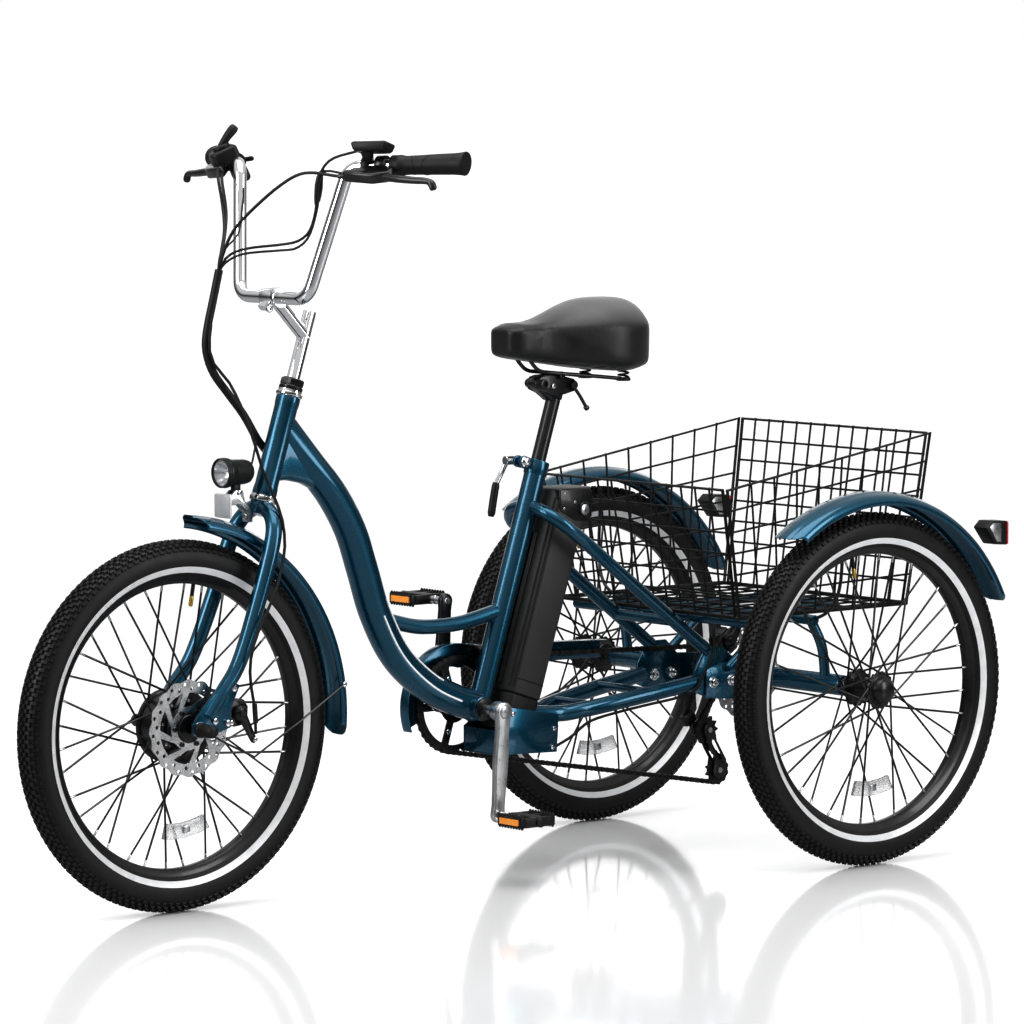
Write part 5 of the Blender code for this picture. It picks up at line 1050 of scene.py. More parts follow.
# Rear subframe
BEARER_Z = 0.4175
stays = []
rear_tubes = [
    bar("front_bearer", (-1.0660, -0.2300, BEARER_Z), (-1.0660, 0.2300, BEARER_Z), 0.0092),
    bar("rear_bearer", (-1.3850, -0.1050, BEARER_Z), (-1.3850, 0.1050, BEARER_Z), 0.0092),
    bar("middle_bearer", (-1.1870, -0.2620, BEARER_Z), (-1.1870, 0.2620, BEARER_Z), 0.0090),
]
for sign in (1, -1):
    lug = [(-1.0960, 0.2720), (-1.0960, 0.3220), (-1.1250, 0.3320), (-1.1700, 0.3340), (-1.2400, 0.3300), (-1.2480, 0.3050),
           (-1.2380, 0.2740), (-1.1900, 0.2640)]
    upright = smooth(side_of([(-1.2150, 0.2580, 0.3100), (-1.2060, 0.2580, 0.3700), (-1.1870, 0.2500, BEARER_Z)], sign), 6)
    fender_stay = smooth(side_of([(-1.1870, 0.2560, BEARER_Z), (-1.1900, 0.2960, 0.4400), (-1.1950, 0.3160, 0.4900),
                                  (-1.2000, 0.3165, 0.6140)], sign), 6)
    rear_tubes += [
        plate("axle_plate", lug, sign * 0.0799, 0.0050, edge=0.0012),
        turn("axle_housing", [(0.0104, sign * 0.079), (0.0180, sign * 0.079), (0.0180, sign * 0.2980),
                              (0.0172, sign * 0.3000), (0.0104, sign * 0.3000), (0.0104, sign * 0.079)], AXLE, steps=36),
        rod("upright", upright, 0.0090, 18),
        bar("strut", (-1.1400, sign * 0.0880, 0.3220), (-1.2620, sign * 0.0880, BEARER_Z), 0.0080),
        bar("rail", (-1.0610, sign * 0.0880, BEARER_Z), (-1.3930, sign * 0.0880, BEARER_Z), 0.0086),
    ]
    stays.append(rod("fender_stay", fender_stay, 0.0030, 12))
fit(together("rear_subframe_tubes", rear_tubes), "frame", "teal_paint", "rear_subframe", finish=teal_paint, angle=32)
fit(together("rear_fender_stays", stays), "frame", "black_paint", finish=black_enamel, angle=50)

plate_bolts = []
for sign in (1, -1):
    for x, z in ((-1.1113, 0.2997), (-1.1551, 0.3008)):
        for y, way in ((sign * 0.0825, sign), (sign * 0.0719, -sign)):
            plate_bolts.append(bolt((x, y, z), Y * way, 0.0105, 0.0016, 24, chrome, 0))
            plate_bolts.append(bolt((x, y + way * 0.0016, z), Y * way, 0.0080, 0.0060, 6, chrome, 0.6))
fit(together("plate_bolts", plate_bolts), "frame", "chrome")


# Fenders and tail reflectors
def fender_line(crown, edge, half):
    """Half-round fender section with shallow side creases and rolled lips."""
    right = [(edge - 0.0012, half - 0.0012), (edge, half), (edge + 0.0060, half * 0.985), (edge + 0.0115, half * 0.90),
             (crown - 0.0052, half * 0.72), (crown - 0.0024, half * 0.52), (crown - 0.0020, half * 0.40),
             (crown, half * 0.30), (crown, 0.0)]
    return right + [(r, -y) for r, y in reversed(right[:-1])]


def fender(name, centre, crown, edge, half, start, end):
    """A swung fender with the corners of its ends cut round."""
    skin = turn(name, fender_line(crown, edge, half), centre, steps=92, sweep=radians(end - start),
                start=radians(start), wall=0.0016)
    for spot in skin.data.vertices:
        turned = degrees(atan2(spot.co.z - centre.z, spot.co.x - centre.x)) % 360
        for tip, way in ((start, 1), (end, -1)):
            near = max(0.0, 1 - (turned - tip) * way / 7.0)
            lag = radians(3.4) * near * (abs(spot.co.y - centre.y) / half) ** 3
            spot.co = about(centre, -lag * way, "Y") @ spot.co
    return skin


front_fender = fender("front_fender_skin", FRONT, 0.344, 0.324, 0.033, 95, 187)
fit(front_fender, "steering", "teal_paint", "front_fender", finish=teal_paint, angle=50)
left_fender = fender("left_fender_skin", AXLE + Y * HALF_TRACK, 0.340, 0.320, 0.036, 53, 157)
right_fender = across(left_fender, "right_fender_skin")
fit(left_fender, "frame", "teal_paint", "left_fender", finish=teal_paint, angle=50)
fit(right_fender, "frame", "teal_paint", "right_fender", finish=teal_paint, angle=50)


def tail_reflector(name, sign):
    """Black wedge holder with a red prism face to the rear."""
    outline = [(-1.4880, 0.5680), (-1.5020, 0.5800), (-1.5400, 0.5780), (-1.5400, 0.5360), (-1.5120, 0.5380)]
    holder = painted(plate("holder", outline, sign * HALF_TRACK, 0.0330, edge=0.0016), black_plastic)
    lens = painted(block("lens", (-1.5412, sign * HALF_TRACK, 0.5570), (0.0050, 0.0320, 0.0400), None, 0.0014), red_lens)
    panel_line = [(-1.4960, 0.5690), (-1.5040, 0.5760), (-1.5240, 0.5750), (-1.5240, 0.5420), (-1.5140, 0.5430)]
    panels = [painted(plate("panel", panel_line, sign * HALF_TRACK + y, 0.0012, edge=0.0003), bright_steel)
              for y in (-0.0168, 0.0168)]
    return together(name, [holder, lens, *panels])


for side, sign in (("left", 1), ("right", -1)):
    fit(tail_reflector(side + "_tail_reflector_set", sign), "frame", "red_lens", side + "_tail_reflector")


# Basket
FRONT_LOW, FRONT_HIGH, REAR_LOW, REAR_HIGH = -1.0310, -0.9920, -1.4300, -1.4750
LOW_HALF, HIGH_HALF = 0.2370, 0.2480
FLOOR_Z, PANEL_LOW, FRONT_TOP, REAR_TOP = 0.4292, 0.4312, 0.6520, 0.7280


def wire_panel(name, corners, columns, rows, edge=0.0032, wire=0.0019, over=0.0017):
    """Welded wire: a heavier edge wire, with upright wires laid over level ones."""
    low_left, low_right, high_right, high_left = [Vector(c) for c in corners]
    normal = (low_right - low_left).cross(high_left - low_left).normalized()

    def at(u, v, lift=0.0):
        return (low_left * (1 - u) * (1 - v) + low_right * u * (1 - v) + high_right * u * v + high_left * (1 - u) * v
                + normal * lift)

    border = rod(name + "_edge", [at(0, 0), at(1, 0), at(1, 1), at(0, 1)], edge, 8, closed=True)
    lines = [[at(i / columns, -0.004, over), at(i / columns, 1.009, over)] for i in range(1, columns)]
    lines += [[at(-0.002, j / rows, -over), at(1.002, j / rows, -over)] for j in range(1, rows)]
    return together(name, [border, rod(name + "_wires", lines, wire, 8)])


BASKET = {
    "basket_floor": ([(FRONT_LOW, LOW_HALF, FLOOR_Z), (FRONT_LOW, -LOW_HALF, FLOOR_Z), (REAR_LOW, -LOW_HALF, FLOOR_Z),
                      (REAR_LOW, LOW_HALF, FLOOR_Z)], 11, 6),
    "basket_front": ([(FRONT_LOW, LOW_HALF - 0.010, PANEL_LOW), (FRONT_LOW, 0.010 - LOW_HALF, PANEL_LOW),
                      (FRONT_HIGH, 0.012 - HIGH_HALF, FRONT_TOP), (FRONT_HIGH, HIGH_HALF - 0.012, FRONT_TOP)], 13, 6),
    "basket_rear": ([(REAR_LOW, 0.010 - LOW_HALF, PANEL_LOW), (REAR_LOW, LOW_HALF - 0.010, PANEL_LOW),
                     (REAR_HIGH, HIGH_HALF - 0.010, REAR_TOP), (REAR_HIGH, 0.010 - HIGH_HALF, REAR_TOP)], 13, 8),
    "basket_left": ([(FRONT_LOW, LOW_HALF, PANEL_LOW), (REAR_LOW, LOW_HALF, PANEL_LOW),
                     (REAR_HIGH, HIGH_HALF, REAR_TOP), (FRONT_HIGH, HIGH_HALF, FRONT_TOP)], 9, 6),
    "basket_right": ([(REAR_LOW, -LOW_HALF, PANEL_LOW), (FRONT_LOW, -LOW_HALF, PANEL_LOW),
                      (FRONT_HIGH, -HIGH_HALF, FRONT_TOP), (REAR_HIGH, -HIGH_HALF, REAR_TOP)], 9, 6),
}
for name, (corners, columns, rows) in BASKET.items():
    fit(wire_panel(name + "_wire", corners, columns, rows), "frame", "black_paint", name, finish=powder_black, angle=50)


# Fork, headset, stem and bar
fork_pieces = []
for sign in (1, -1):
    blade = smooth(side_of([(-0.1800, 0.0040, 0.6570), (-0.1745, 0.0380, 0.6380), (-0.1600, 0.0560, 0.5980),
                            (-0.1265, 0.0600, 0.5050), (-0.0848, 0.0640, 0.4090), (-0.0479, 0.0660, 0.3620),
                            (-0.0185, 0.0660, 0.3240)], sign), 7)
    count = len(blade)
    slim = [1.0 if k < count * 0.5 else 1.0 - 0.22 * (k - count * 0.5) / (count * 0.5) for k in range(count)]
    tip = [(0.0130, 0.2960), (0.0130, 0.3140), (-0.0080, 0.3400), (-0.0340, 0.3560), (-0.0340, 0.3200), (-0.0120, 0.2920)]
    if sign > 0:
        tip = [(0.0130, 0.2960), (0.0130, 0.3140), (-0.0080, 0.3400), (-0.0560, 0.3840), (-0.0830, 0.3720),
               (-0.0660, 0.3380), (-0.0640, 0.3040), (-0.0450, 0.2990), (-0.0120, 0.2920)]
    fork_pieces += [rod("blade", blade, 0.0138, 22, slim), plate("dropout", tip, sign * 0.0660, 0.0060, edge=0.0012)]
fork_pieces.append(turn("steerer_foot", [(0.0, 0.0), (0.0185, 0.0), (0.0195, 0.002), (0.0195, 0.024), (0.0, 0.024)],
                        head_axis(0.6400), HEAD_UP, steps=36))
fit(together("fork_legs", fork_pieces), "steering", "teal_paint", "fork", finish=teal_paint, angle=35)

headset = [
    painted(turn("lower_race", [(0.0150, 0.0), (0.0222, 0.0), (0.0228, 0.0015), (0.0228, 0.0075), (0.0215, 0.0085),
                                (0.0215, 0.0105), (0.0150, 0.0105)], head_axis(0.6612), HEAD_UP, steps=40), chrome),
    painted(turn("upper_race", [(0.0120, 0.0), (0.0218, 0.0), (0.0224, 0.0015), (0.0224, 0.0050), (0.0200, 0.0065),
                                (0.0200, 0.0100), (0.0120, 0.0100)], head_axis(0.8330), HEAD_UP, steps=40), chrome),
    painted(turn("lock_ring", [(0.0120, 0.0), (0.0192, 0.0), (0.0200, 0.0012), (0.0200, 0.0055), (0.0190, 0.0068),
                               (0.0120, 0.0068)], head_axis(0.8428), HEAD_UP, steps=40), black_enamel),
    painted(turn("lock_nut", [(0.0116, 0.0), (0.0186, 0.0), (0.0195, 0.0015), (0.0195, 0.0100), (0.0180, 0.0118),
                              (0.0150, 0.0126), (0.0116, 0.0126)], head_axis(0.8500), HEAD_UP, steps=8), black_enamel),
]
fit(together("headset", headset), "steering", "chrome")

stem_pieces = [
    turn("quill", [(0.0, 0.0), (0.0111, 0.0), (0.0111, 0.2210), (0.0104, 0.2222), (0.0082, 0.2222), (0.0082, 0.2130),
                   (0.0, 0.2130)], head_axis(0.7600), HEAD_UP, steps=36),
    bar("extension", head_axis(0.9312) - Vector((0.004, 0, 0.004)), BAR_CLAMP, 0.0112, 28),
    turn("bar_clamp", [(0.0113, -0.0200), (0.0158, -0.0200), (0.0166, -0.0188), (0.0166, 0.0188), (0.0158, 0.0200),
                       (0.0113, 0.0200), (0.0113, -0.0200)], BAR_CLAMP, Y, steps=40),
    block("clamp_lug", BAR_CLAMP + Vector((0.0150, 0.0, -0.0120)), (0.0180, 0.0240, 0.0120), Matrix.Rotation(0.7, 4, "Y"),
          0.0025),
    bolt(BAR_CLAMP + Vector((0.0220, 0.0135, -0.0180)), Y, 0.0062, 0.0065, 6, chrome, 0.6),
]
fit(together("stem_post", stem_pieces), "steering", "chrome", "stem", finish=chrome)
low_bend = bent([(BAR_CLAMP.x, 0.0, BAR_CLAMP.z), (BAR_CLAMP.x, 0.0905, BAR_CLAMP.z), BAR_CORNER], 0.032)
high_bend = bent([(BAR_CLAMP.x, 0.0905, BAR_CLAMP.z), BAR_CORNER, LEFT.at(0.2000)], 0.032)
left_bar = low_bend[1:-1] + high_bend[1:]
bar_line = side_of(list(reversed(left_bar)), -1) + left_bar
fit(rod("bent_bar", bar_line, BAR_RADIUS, 28), "steering", "chrome", "handlebar", finish=chrome, angle=50)


def grip(name, hand):
    """Palm grip: ribbed inner collar, waist, and a flared wing at the outer end."""
    line = [(0.0113, 0.0775), (0.0158, 0.0775), (0.0170, 0.0790), (0.0174, 0.0840), (0.0166, 0.0860), (0.0174, 0.0880),
            (0.0174, 0.0960), (0.0160, 0.1000), (0.0154, 0.1060), (0.0158, 0.1300), (0.0164, 0.1600), (0.0168, 0.1850),
            (0.0178, 0.1990), (0.0190, 0.2060), (0.0182, 0.2076), (0.0, 0.2080)]
    body = turn(name, line, hand.at(0.0), hand.out, steps=40)
    for spot in body.data.vertices:
        run = (spot.co - hand.at(0.0)).dot(hand.out)
        side = (spot.co - hand.at(run)).dot(-hand.ahead)
        if run > 0.100 and side > 0.004:
            spot.co -= hand.ahead * 0.0055 * (side / 0.016) * min(1.0, (run - 0.100) / 0.060)
    lines = []
    for run, slant, radius in ((0.1150, 0.0060, 0.0156), (0.1440, -0.0090, 0.0161), (0.1880, 0.0080, 0.0169)):
        ring = [hand.at(run + slant * cos(a), radius * cos(a), radius * sin(a)) for a in (2 * pi * k / 40 for k in range(40))]
        lines.append(rod("moulded_line", ring, 0.0008, 6, closed=True))
    return together(name, [body, *lines])


for side, hand in (("left", LEFT), ("right", RIGHT)):
    fit(grip(side + "_palm_grip", hand), "steering", "grip_rubber", side + "_grip", finish=grip_rubber, angle=50)


# Saddle
SADDLE_NOSE, SADDLE_TAIL = -0.6901, -0.9914


def eased(share):
    share = min(1.0, max(0.0, share))
    return share * share * (3 - 2 * share)


def saddle_measures(share):
    """Half width, top and bottom of the pad at a share of its length from the nose."""
    close = sqrt(max(0.0, 1 - max(0.0, (share - 0.62) / 0.38) ** 2.71))
    fall = sqrt(max(0.0, 1 - max(0.0, (share - 0.85) / 0.15) ** 2.0))
    nose = sqrt(max(0.0, 1 - max(0.0, (0.13 - share) / 0.13) ** 2))
    half = (0.0446 + 0.0539 * eased((share - 0.14) / 0.60)) * (0.30 + 0.70 * close) * (0.35 + 0.65 * nose)
    top = 0.9355 + 0.0397 * eased((share - 0.20) / 0.46) * (0.30 + 0.70 * fall) - 0.006 * (1 - nose)
    low = 0.8795 - 0.0272 * min(1.0, max(0.0, (share - 0.06) / 0.66)) + 0.005 * (1 - nose) + 0.010 * (1 - close)
    return half, top, low


def saddle_section(half, top, low):
    """Half of a cross section from its top to its underside: a crowned top, an upright side, a round lower edge."""
    shoulder = min(0.9290, top - 0.005)
    crown = [(y, shoulder + (top - shoulder) * (1 - y ** 2.2)) for y in (0.0, 0.25, 0.48, 0.69, 0.86, 0.965)]
    wall = [(1.0, shoulder - 0.005), (1.0, shoulder * 0.62 + low * 0.38), (1.0, shoulder * 0.26 + low * 0.74),
            (0.985, low + 0.010), (0.93, low + 0.002), (0.60, low), (0.0, low)]
    return [(y * half, z) for y, z in crown + wall]


def saddle_pad():
    """Padded saddle drawn out from a ring, section by section."""
    shares = [0.5 - 0.5 * cos(pi * (0.03 + 0.94 * k / 18)) for k in range(19)]
    lay_down()
    bpy.ops.mesh.primitive_circle_add(vertices=24, radius=1.0, fill_type="NGON", rotation=(0.0, pi / 2, 0.0))
    pad = bpy.context.object
    pad.name = "saddle_pad"
    bpy.ops.object.transform_apply()
    bpy.ops.object.mode_set(mode="EDIT")
    bpy.ops.mesh.select_all(action="SELECT")
    for _ in shares[1:]:
        bpy.ops.mesh.extrude_region_move(TRANSFORM_OT_translate={"value": (-1.0, 0.0, 0.0)})
    lay_down()
    for spot in pad.data.vertices:
        share = shares[round(-spot.co.x)]
        half, top, low = saddle_measures(share)
        place = round(acos(max(-1.0, min(1.0, spot.co.z))) / (pi / 12))
        wide, high = saddle_section(half - SKIN, top - SKIN, low + SKIN)[place]
        spot.co = (SADDLE_NOSE + (SADDLE_TAIL - SADDLE_NOSE) * share, wide if spot.co.y > 0 else -wide, high)
    tidy_mesh(pad)
    rounding = pad.modifiers.new("rounding", "SUBSURF")
    rounding.levels = 2
    rounding.render_levels = 2
    return apply_all(pad)


def puffed(piece, reach):
    """Fills the skin by cloth pressure; no point moves further than the reach."""
    pick_up(piece)
    even = piece.modifiers.new("even", "REMESH")
    even.mode = "VOXEL"
    even.voxel_size = 0.0042
    apply_all(piece)
    rest = [spot.co.copy() for spot in piece.data.vertices]
    skin = piece.modifiers.new("skin", "CLOTH")
    skin.settings.use_pressure = True
    skin.settings.uniform_pressure_force = 4.0
    skin.settings.effector_weights.gravity = 0.0
    skin.point_cache.frame_start = 1
    skin.point_cache.frame_end = 20
    for tick in range(1, 21):
        bpy.context.scene.frame_set(tick)
    apply_all(piece)
    bpy.context.scene.frame_set(1)
    for spot, start in zip(piece.data.vertices, rest):
        step = spot.co - start
        if step.length > reach:
            spot.co = start + step * (reach / step.length)
    return piece


SKIN = 0.0006
pad = saddle_pad()
puffed(pad, 0.0030)
rounding = pad.modifiers.new("rounding", "SUBSURF")
rounding.levels = 1
rounding.render_levels = 1
apply_all(pad)
fit(pad, "saddle", "vinyl", "saddle_cushion", finish=saddle_vinyl, angle=80)


# Crank set and pedals
PITCH = 0.0127
CHAIN_Y = -0.0450
GUIDE = Vector((-1.2120, 0.0, 0.1960))
TENSION = Vector((-1.2360, 0.0, 0.1220))
CRANK_DOWN = Vector((sin(radians(4.0)), 0.0, -cos(radians(4.0))))


def pitch_radius(teeth):
    return PITCH / (2 * sin(pi / teeth))


def toothed(centre, teeth, tip=0.0030, root=0.0036):
    """Outline of a sprocket: a hollow for each roller and a tooth between each two."""
    outline = []
    for i in range(teeth):
        for share, reach in ((0.0, -root), (0.2, -root * 0.6), (0.38, tip * 0.6), (0.5, tip), (0.62, tip * 0.6),
                             (0.8, -root * 0.6)):
            angle = 2 * pi * (i + share) / teeth
            radius = pitch_radius(teeth) + reach
            outline.append((centre.x + radius * cos(angle), centre.z + radius * sin(angle)))
    return outline


def crank_arm(sign, metal):
    """Forged arm: round boss with a dust cap, waisted neck, full middle and a round pedal eye."""
    run = CRANK_DOWN * sign
    side = Vector((-run.z, 0.0, run.x))
    half_turn = [pi * k / 12 for k in range(13)]
    flank = [(0.0136, 0.0180), (0.0128, 0.0350), (0.0144, 0.0650), (0.0144, 0.0950), (0.0124, 0.1350), (0.0116, 0.1600)]
    line = [(0.0168 * cos(a), -0.0168 * sin(a)) for a in half_turn] + [(-s, r) for s, r in flank]
    line += [(-0.0132 * cos(a), 0.1750 + 0.0132 * sin(a)) for a in half_turn] + list(reversed(flank))
    outline = [(BB.x + run.x * r + side.x * s, BB.z + run.z * r + side.z * s) for s, r in line]
    eye = BB + run * 0.1750
    boss = [(0.0, 0.0660), (0.0158, 0.0660), (0.0168, 0.0672), (0.0168, 0.0820), (0.0, 0.0820)]
    cap = [(0.0, 0.0926), (0.0082, 0.0924), (0.0112, 0.0916), (0.0122, 0.0902), (0.0122, 0.0885), (0.0, 0.0885)]
    stub = [(0.0, 0.0762), (0.0056, 0.0762), (0.0062, 0.0772), (0.0062, 0.0790), (0.0, 0.0790)]
    return [painted(plate("arm", outline, sign * 0.0842, 0.0120, edge=0.0038, segments=4), metal),
            painted(turn("boss", [(r, sign * y) for r, y in boss], BB, steps=40), metal),
            painted(turn("dust_cap", [(r, sign * y) for r, y in cap], BB, steps=36), bright_steel),
            painted(turn("stub_end", [(r, sign * y) for r, y in stub], eye, steps=20), bright_steel)]


def pedal(name, sign):
    """Plastic platform: open body round an axle barrel, toothed edges, an amber reflector at each end."""
    eye = BB + CRANK_DOWN * (sign * 0.1750)
    centre = eye + Y * sign * 0.1590
    corner = 0.0080
    frame_line = []
    for x, z, start in ((1, 1, 0.0), (-1, 1, 0.5), (-1, -1, 1.0), (1, -1, 1.5)):
        frame_line += arc(x * (0.0365 - corner), z * (0.0365 - corner), corner, 5, start * pi, (start + 0.5) * pi)
    windows = [[(x * 0.0115, z * 0.0055), (x * 0.0300, z * 0.0055), (x * 0.0300, z * 0.0285), (x * 0.0115, z * 0.0285)]
               for x in (1, -1) for z in (1, -1)]
    pieces = [painted(plate("platform", frame_line, 0.0, 0.0165, windows, edge=0.0012), black_plastic)]
    tooth = block("tooth", (0.0, 0.0, 0.0), (0.0040, 0.0042, 0.0052), None, 0.0)
    for spot in tooth.data.vertices:
        if spot.co.y > 0:
            spot.co.x *= 0.45
            spot.co.z *= 0.45
    for x in (-0.0335, 0.0335):
        for k in range(9):
            for way in (1, -1):
                place = Matrix.Translation((x, way * 0.0100, (k - 4) * 0.0072)) @ Matrix.Scale(way, 4, Y)
                pieces.append(painted(copied(tooth, "tooth", place), black_plastic))
    bpy.data.objects.remove(tooth)
    for x in (-1, 1):
        pieces.append(painted(block("pedal_reflector", (x * 0.0378, 0.0, 0.0), (0.0044, 0.0112, 0.0480), None, 0.0010),
                              amber_lens))
        pieces += [painted(block("lip", (x * 0.0376, y, 0.0), (0.0052, 0.0022, 0.0540), None, 0.0006), black_plastic)
                   for y in (-0.0070, 0.0070)]
    deck = together(name, pieces)
    moved(deck, Matrix.Translation(centre) @ Matrix.Rotation(pi / 2, 4, "X"))
    barrel = [(0.0, -0.0370), (0.0086, -0.0370), (0.0086, 0.0345), (0.0092, 0.0350), (0.0092, 0.0385), (0.0072, 0.0395),
              (0.0, 0.0395)]
    stub = [(0.0, -0.0655), (0.0064, -0.0655), (0.0064, -0.0520), (0.0078, -0.0515), (0.0078, -0.0470), (0.0064, -0.0465),
            (0.0064, -0.0360), (0.0, -0.0360)]
    return together(name, [
        deck, painted(turn("barrel", [(r, sign * y) for r, y in barrel], centre, steps=28), black_plastic),
        painted(turn("axle_stub", [(r, sign * y) for r, y in stub], centre, steps=24), bright_steel)])


left_arm = crank_arm(1, polished_alloy)
fit(together("left_crank_arm", left_arm), "crank", "chrome", "left_crank", angle=40)
ring_windows = [arc(BB.x, BB.z, 0.0690, 9, a + 0.10, a + 1.15) + arc(BB.x, BB.z, 0.0300, 7, a + 1.02, a + 0.23)
                for a in (2 * pi * k / 5 for k in range(5))]
chainring = painted(plate("chainring", toothed(BB, 40), CHAIN_Y, 0.0028, ring_windows, edge=0.0), black_enamel)
spider = painted(turn("spider", [(0.0, -0.0435), (0.0300, -0.0435), (0.0310, -0.0450), (0.0225, -0.0490),
                                 (0.0205, -0.0540), (0.0200, -0.0670), (0.0, -0.0680)], BB, steps=40), black_enamel)
spindle = painted(turn("spindle", [(0.0, -0.0790), (0.0085, -0.0790), (0.0085, 0.0800), (0.0, 0.0800)], BB, steps=24),
                  bright_steel)
ring_bolts = ring_of(lambda spot: bolt(spot, Y, 0.0048, 0.0022, 16, chrome), 5, BB, 0.0475, CHAIN_Y + 0.0014, 0.0)
fit(together("right_crank_set", [*crank_arm(-1, black_enamel), chainring, spider, spindle, *ring_bolts]), "crank",
    "black_paint", "right_crank", angle=40)
for side, sign in (("left", 1), ("right", -1)):
    fit(pedal(side + "_platform_pedal", sign), side + "_pedal_body", "black_plastic", side + "_pedal", angle=40)
cups = [painted(turn("bb_cup", [(0.0, sign * 0.0338), (0.0185, sign * 0.0338), (0.0195, sign * 0.0350),
                                (0.0190, sign * 0.0385), (0.0110, sign * 0.0400), (0.0, sign * 0.0400)], BB, steps=36),
                black_enamel) for sign in (1, -1)]
fit(together("bottom_bracket_cups", cups), "frame", "black_paint")


# Chain, sprockets and gear change
def chain_line():
    """The chain's closed run round chainring, sprocket and the two guide wheels."""
    wheels = ((BB, pitch_radius(40), 1), (AXLE, pitch_radius(20), 1), (GUIDE, pitch_radius(11), -1),
              (TENSION, pitch_radius(11), 1))
    spans = []
    for (a, ra, ta), (b, rb, tb) in zip(wheels, wheels[1:] + wheels[:1]):
        gap = hypot(b.x - a.x, b.z - a.z)
        leave = atan2(b.z - a.z, b.x - a.x) - acos((ta * ra - tb * rb) / gap)
        spans.append((leave + (pi if ta < 0 else 0.0), leave + (pi if tb < 0 else 0.0)))
    path = []
    for i, (centre, radius, way) in enumerate(wheels):
        arrive = spans[i - 1][1]
        sweep = ((spans[i][0] - arrive) * way % (2 * pi)) * way
        for k in range(25):
            angle = arrive + sweep * k / 24
            path.append(Vector((centre.x + radius * cos(angle), CHAIN_Y, centre.z + radius * sin(angle))))
    return path + [path[0]]


def link(name, spread, radius, waist, stud_radius, stud_half):
    """One chain link: two waisted plates with a pin or roller at each end."""
    outline = (arc(0.0, 0.0, radius, 6, pi / 2, 3 * pi / 2) + [(PITCH / 2, -waist)]
               + arc(PITCH, 0.0, radius, 6, -pi / 2, pi / 2) + [(PITCH / 2, waist)])
    pieces = [plate("side", outline, sign * spread, 0.0010, edge=0.0) for sign in (1, -1)]
    for x in (0.0, PITCH):
        bpy.ops.mesh.primitive_cylinder_add(vertices=8, radius=stud_radius, depth=2 * stud_half, location=(x, 0.0, 0.0),
                                            rotation=(pi / 2, 0.0, 0.0))
        pieces.append(bpy.context.object)
        bpy.ops.object.transform_apply()
    return together(name, pieces)


def chain():
    """Outer and inner links in turn along the chain's run."""
    path = chain_line()
    whole = sum((b - a).length for a, b in zip(path, path[1:]))
    count = 2 * round(whole / PITCH / 2)
    pins = evenly(path, count + 1)
    kinds = (link("outer_link", 0.0030, 0.0046, 0.0030, 0.0018, 0.0038), link("inner_link", 0.0019, 0.0046, 0.0030, 0.0038, 0.0015))
    laid = []
    for i, (a, b) in enumerate(zip(pins, pins[1:])):
        turned = Matrix.Rotation(-atan2(b.z - a.z, b.x - a.x), 4, "Y")
        laid.append(copied(kinds[i % 2], "link", Matrix.Translation(a) @ turned))
    for kind in kinds:
        bpy.data.objects.remove(kind)
    return together("roller_chain", laid)


fit(chain(), "frame", "steel", "chain", finish=chain_steel, angle=40)
cogs = [plate("cog", toothed(AXLE, teeth, 0.0026), CHAIN_Y + (step - 3) * 0.0050, 0.0019,
              [arc(AXLE.x, AXLE.z, 0.0150, 20)], edge=0.0) for step, teeth in enumerate((14, 16, 18, 20, 22, 24))]
cogs.append(turn("cog_body", [(0.0130, -0.0610), (0.0160, -0.0610), (0.0165, -0.0600), (0.0165, -0.0345), (0.0130, -0.0335),
                              (0.0130, -0.0610)], AXLE, steps=36))
fit(together("six_speed_freewheel", cogs), "freewheel_body", "steel", "freewheel", finish=chain_steel, angle=35)


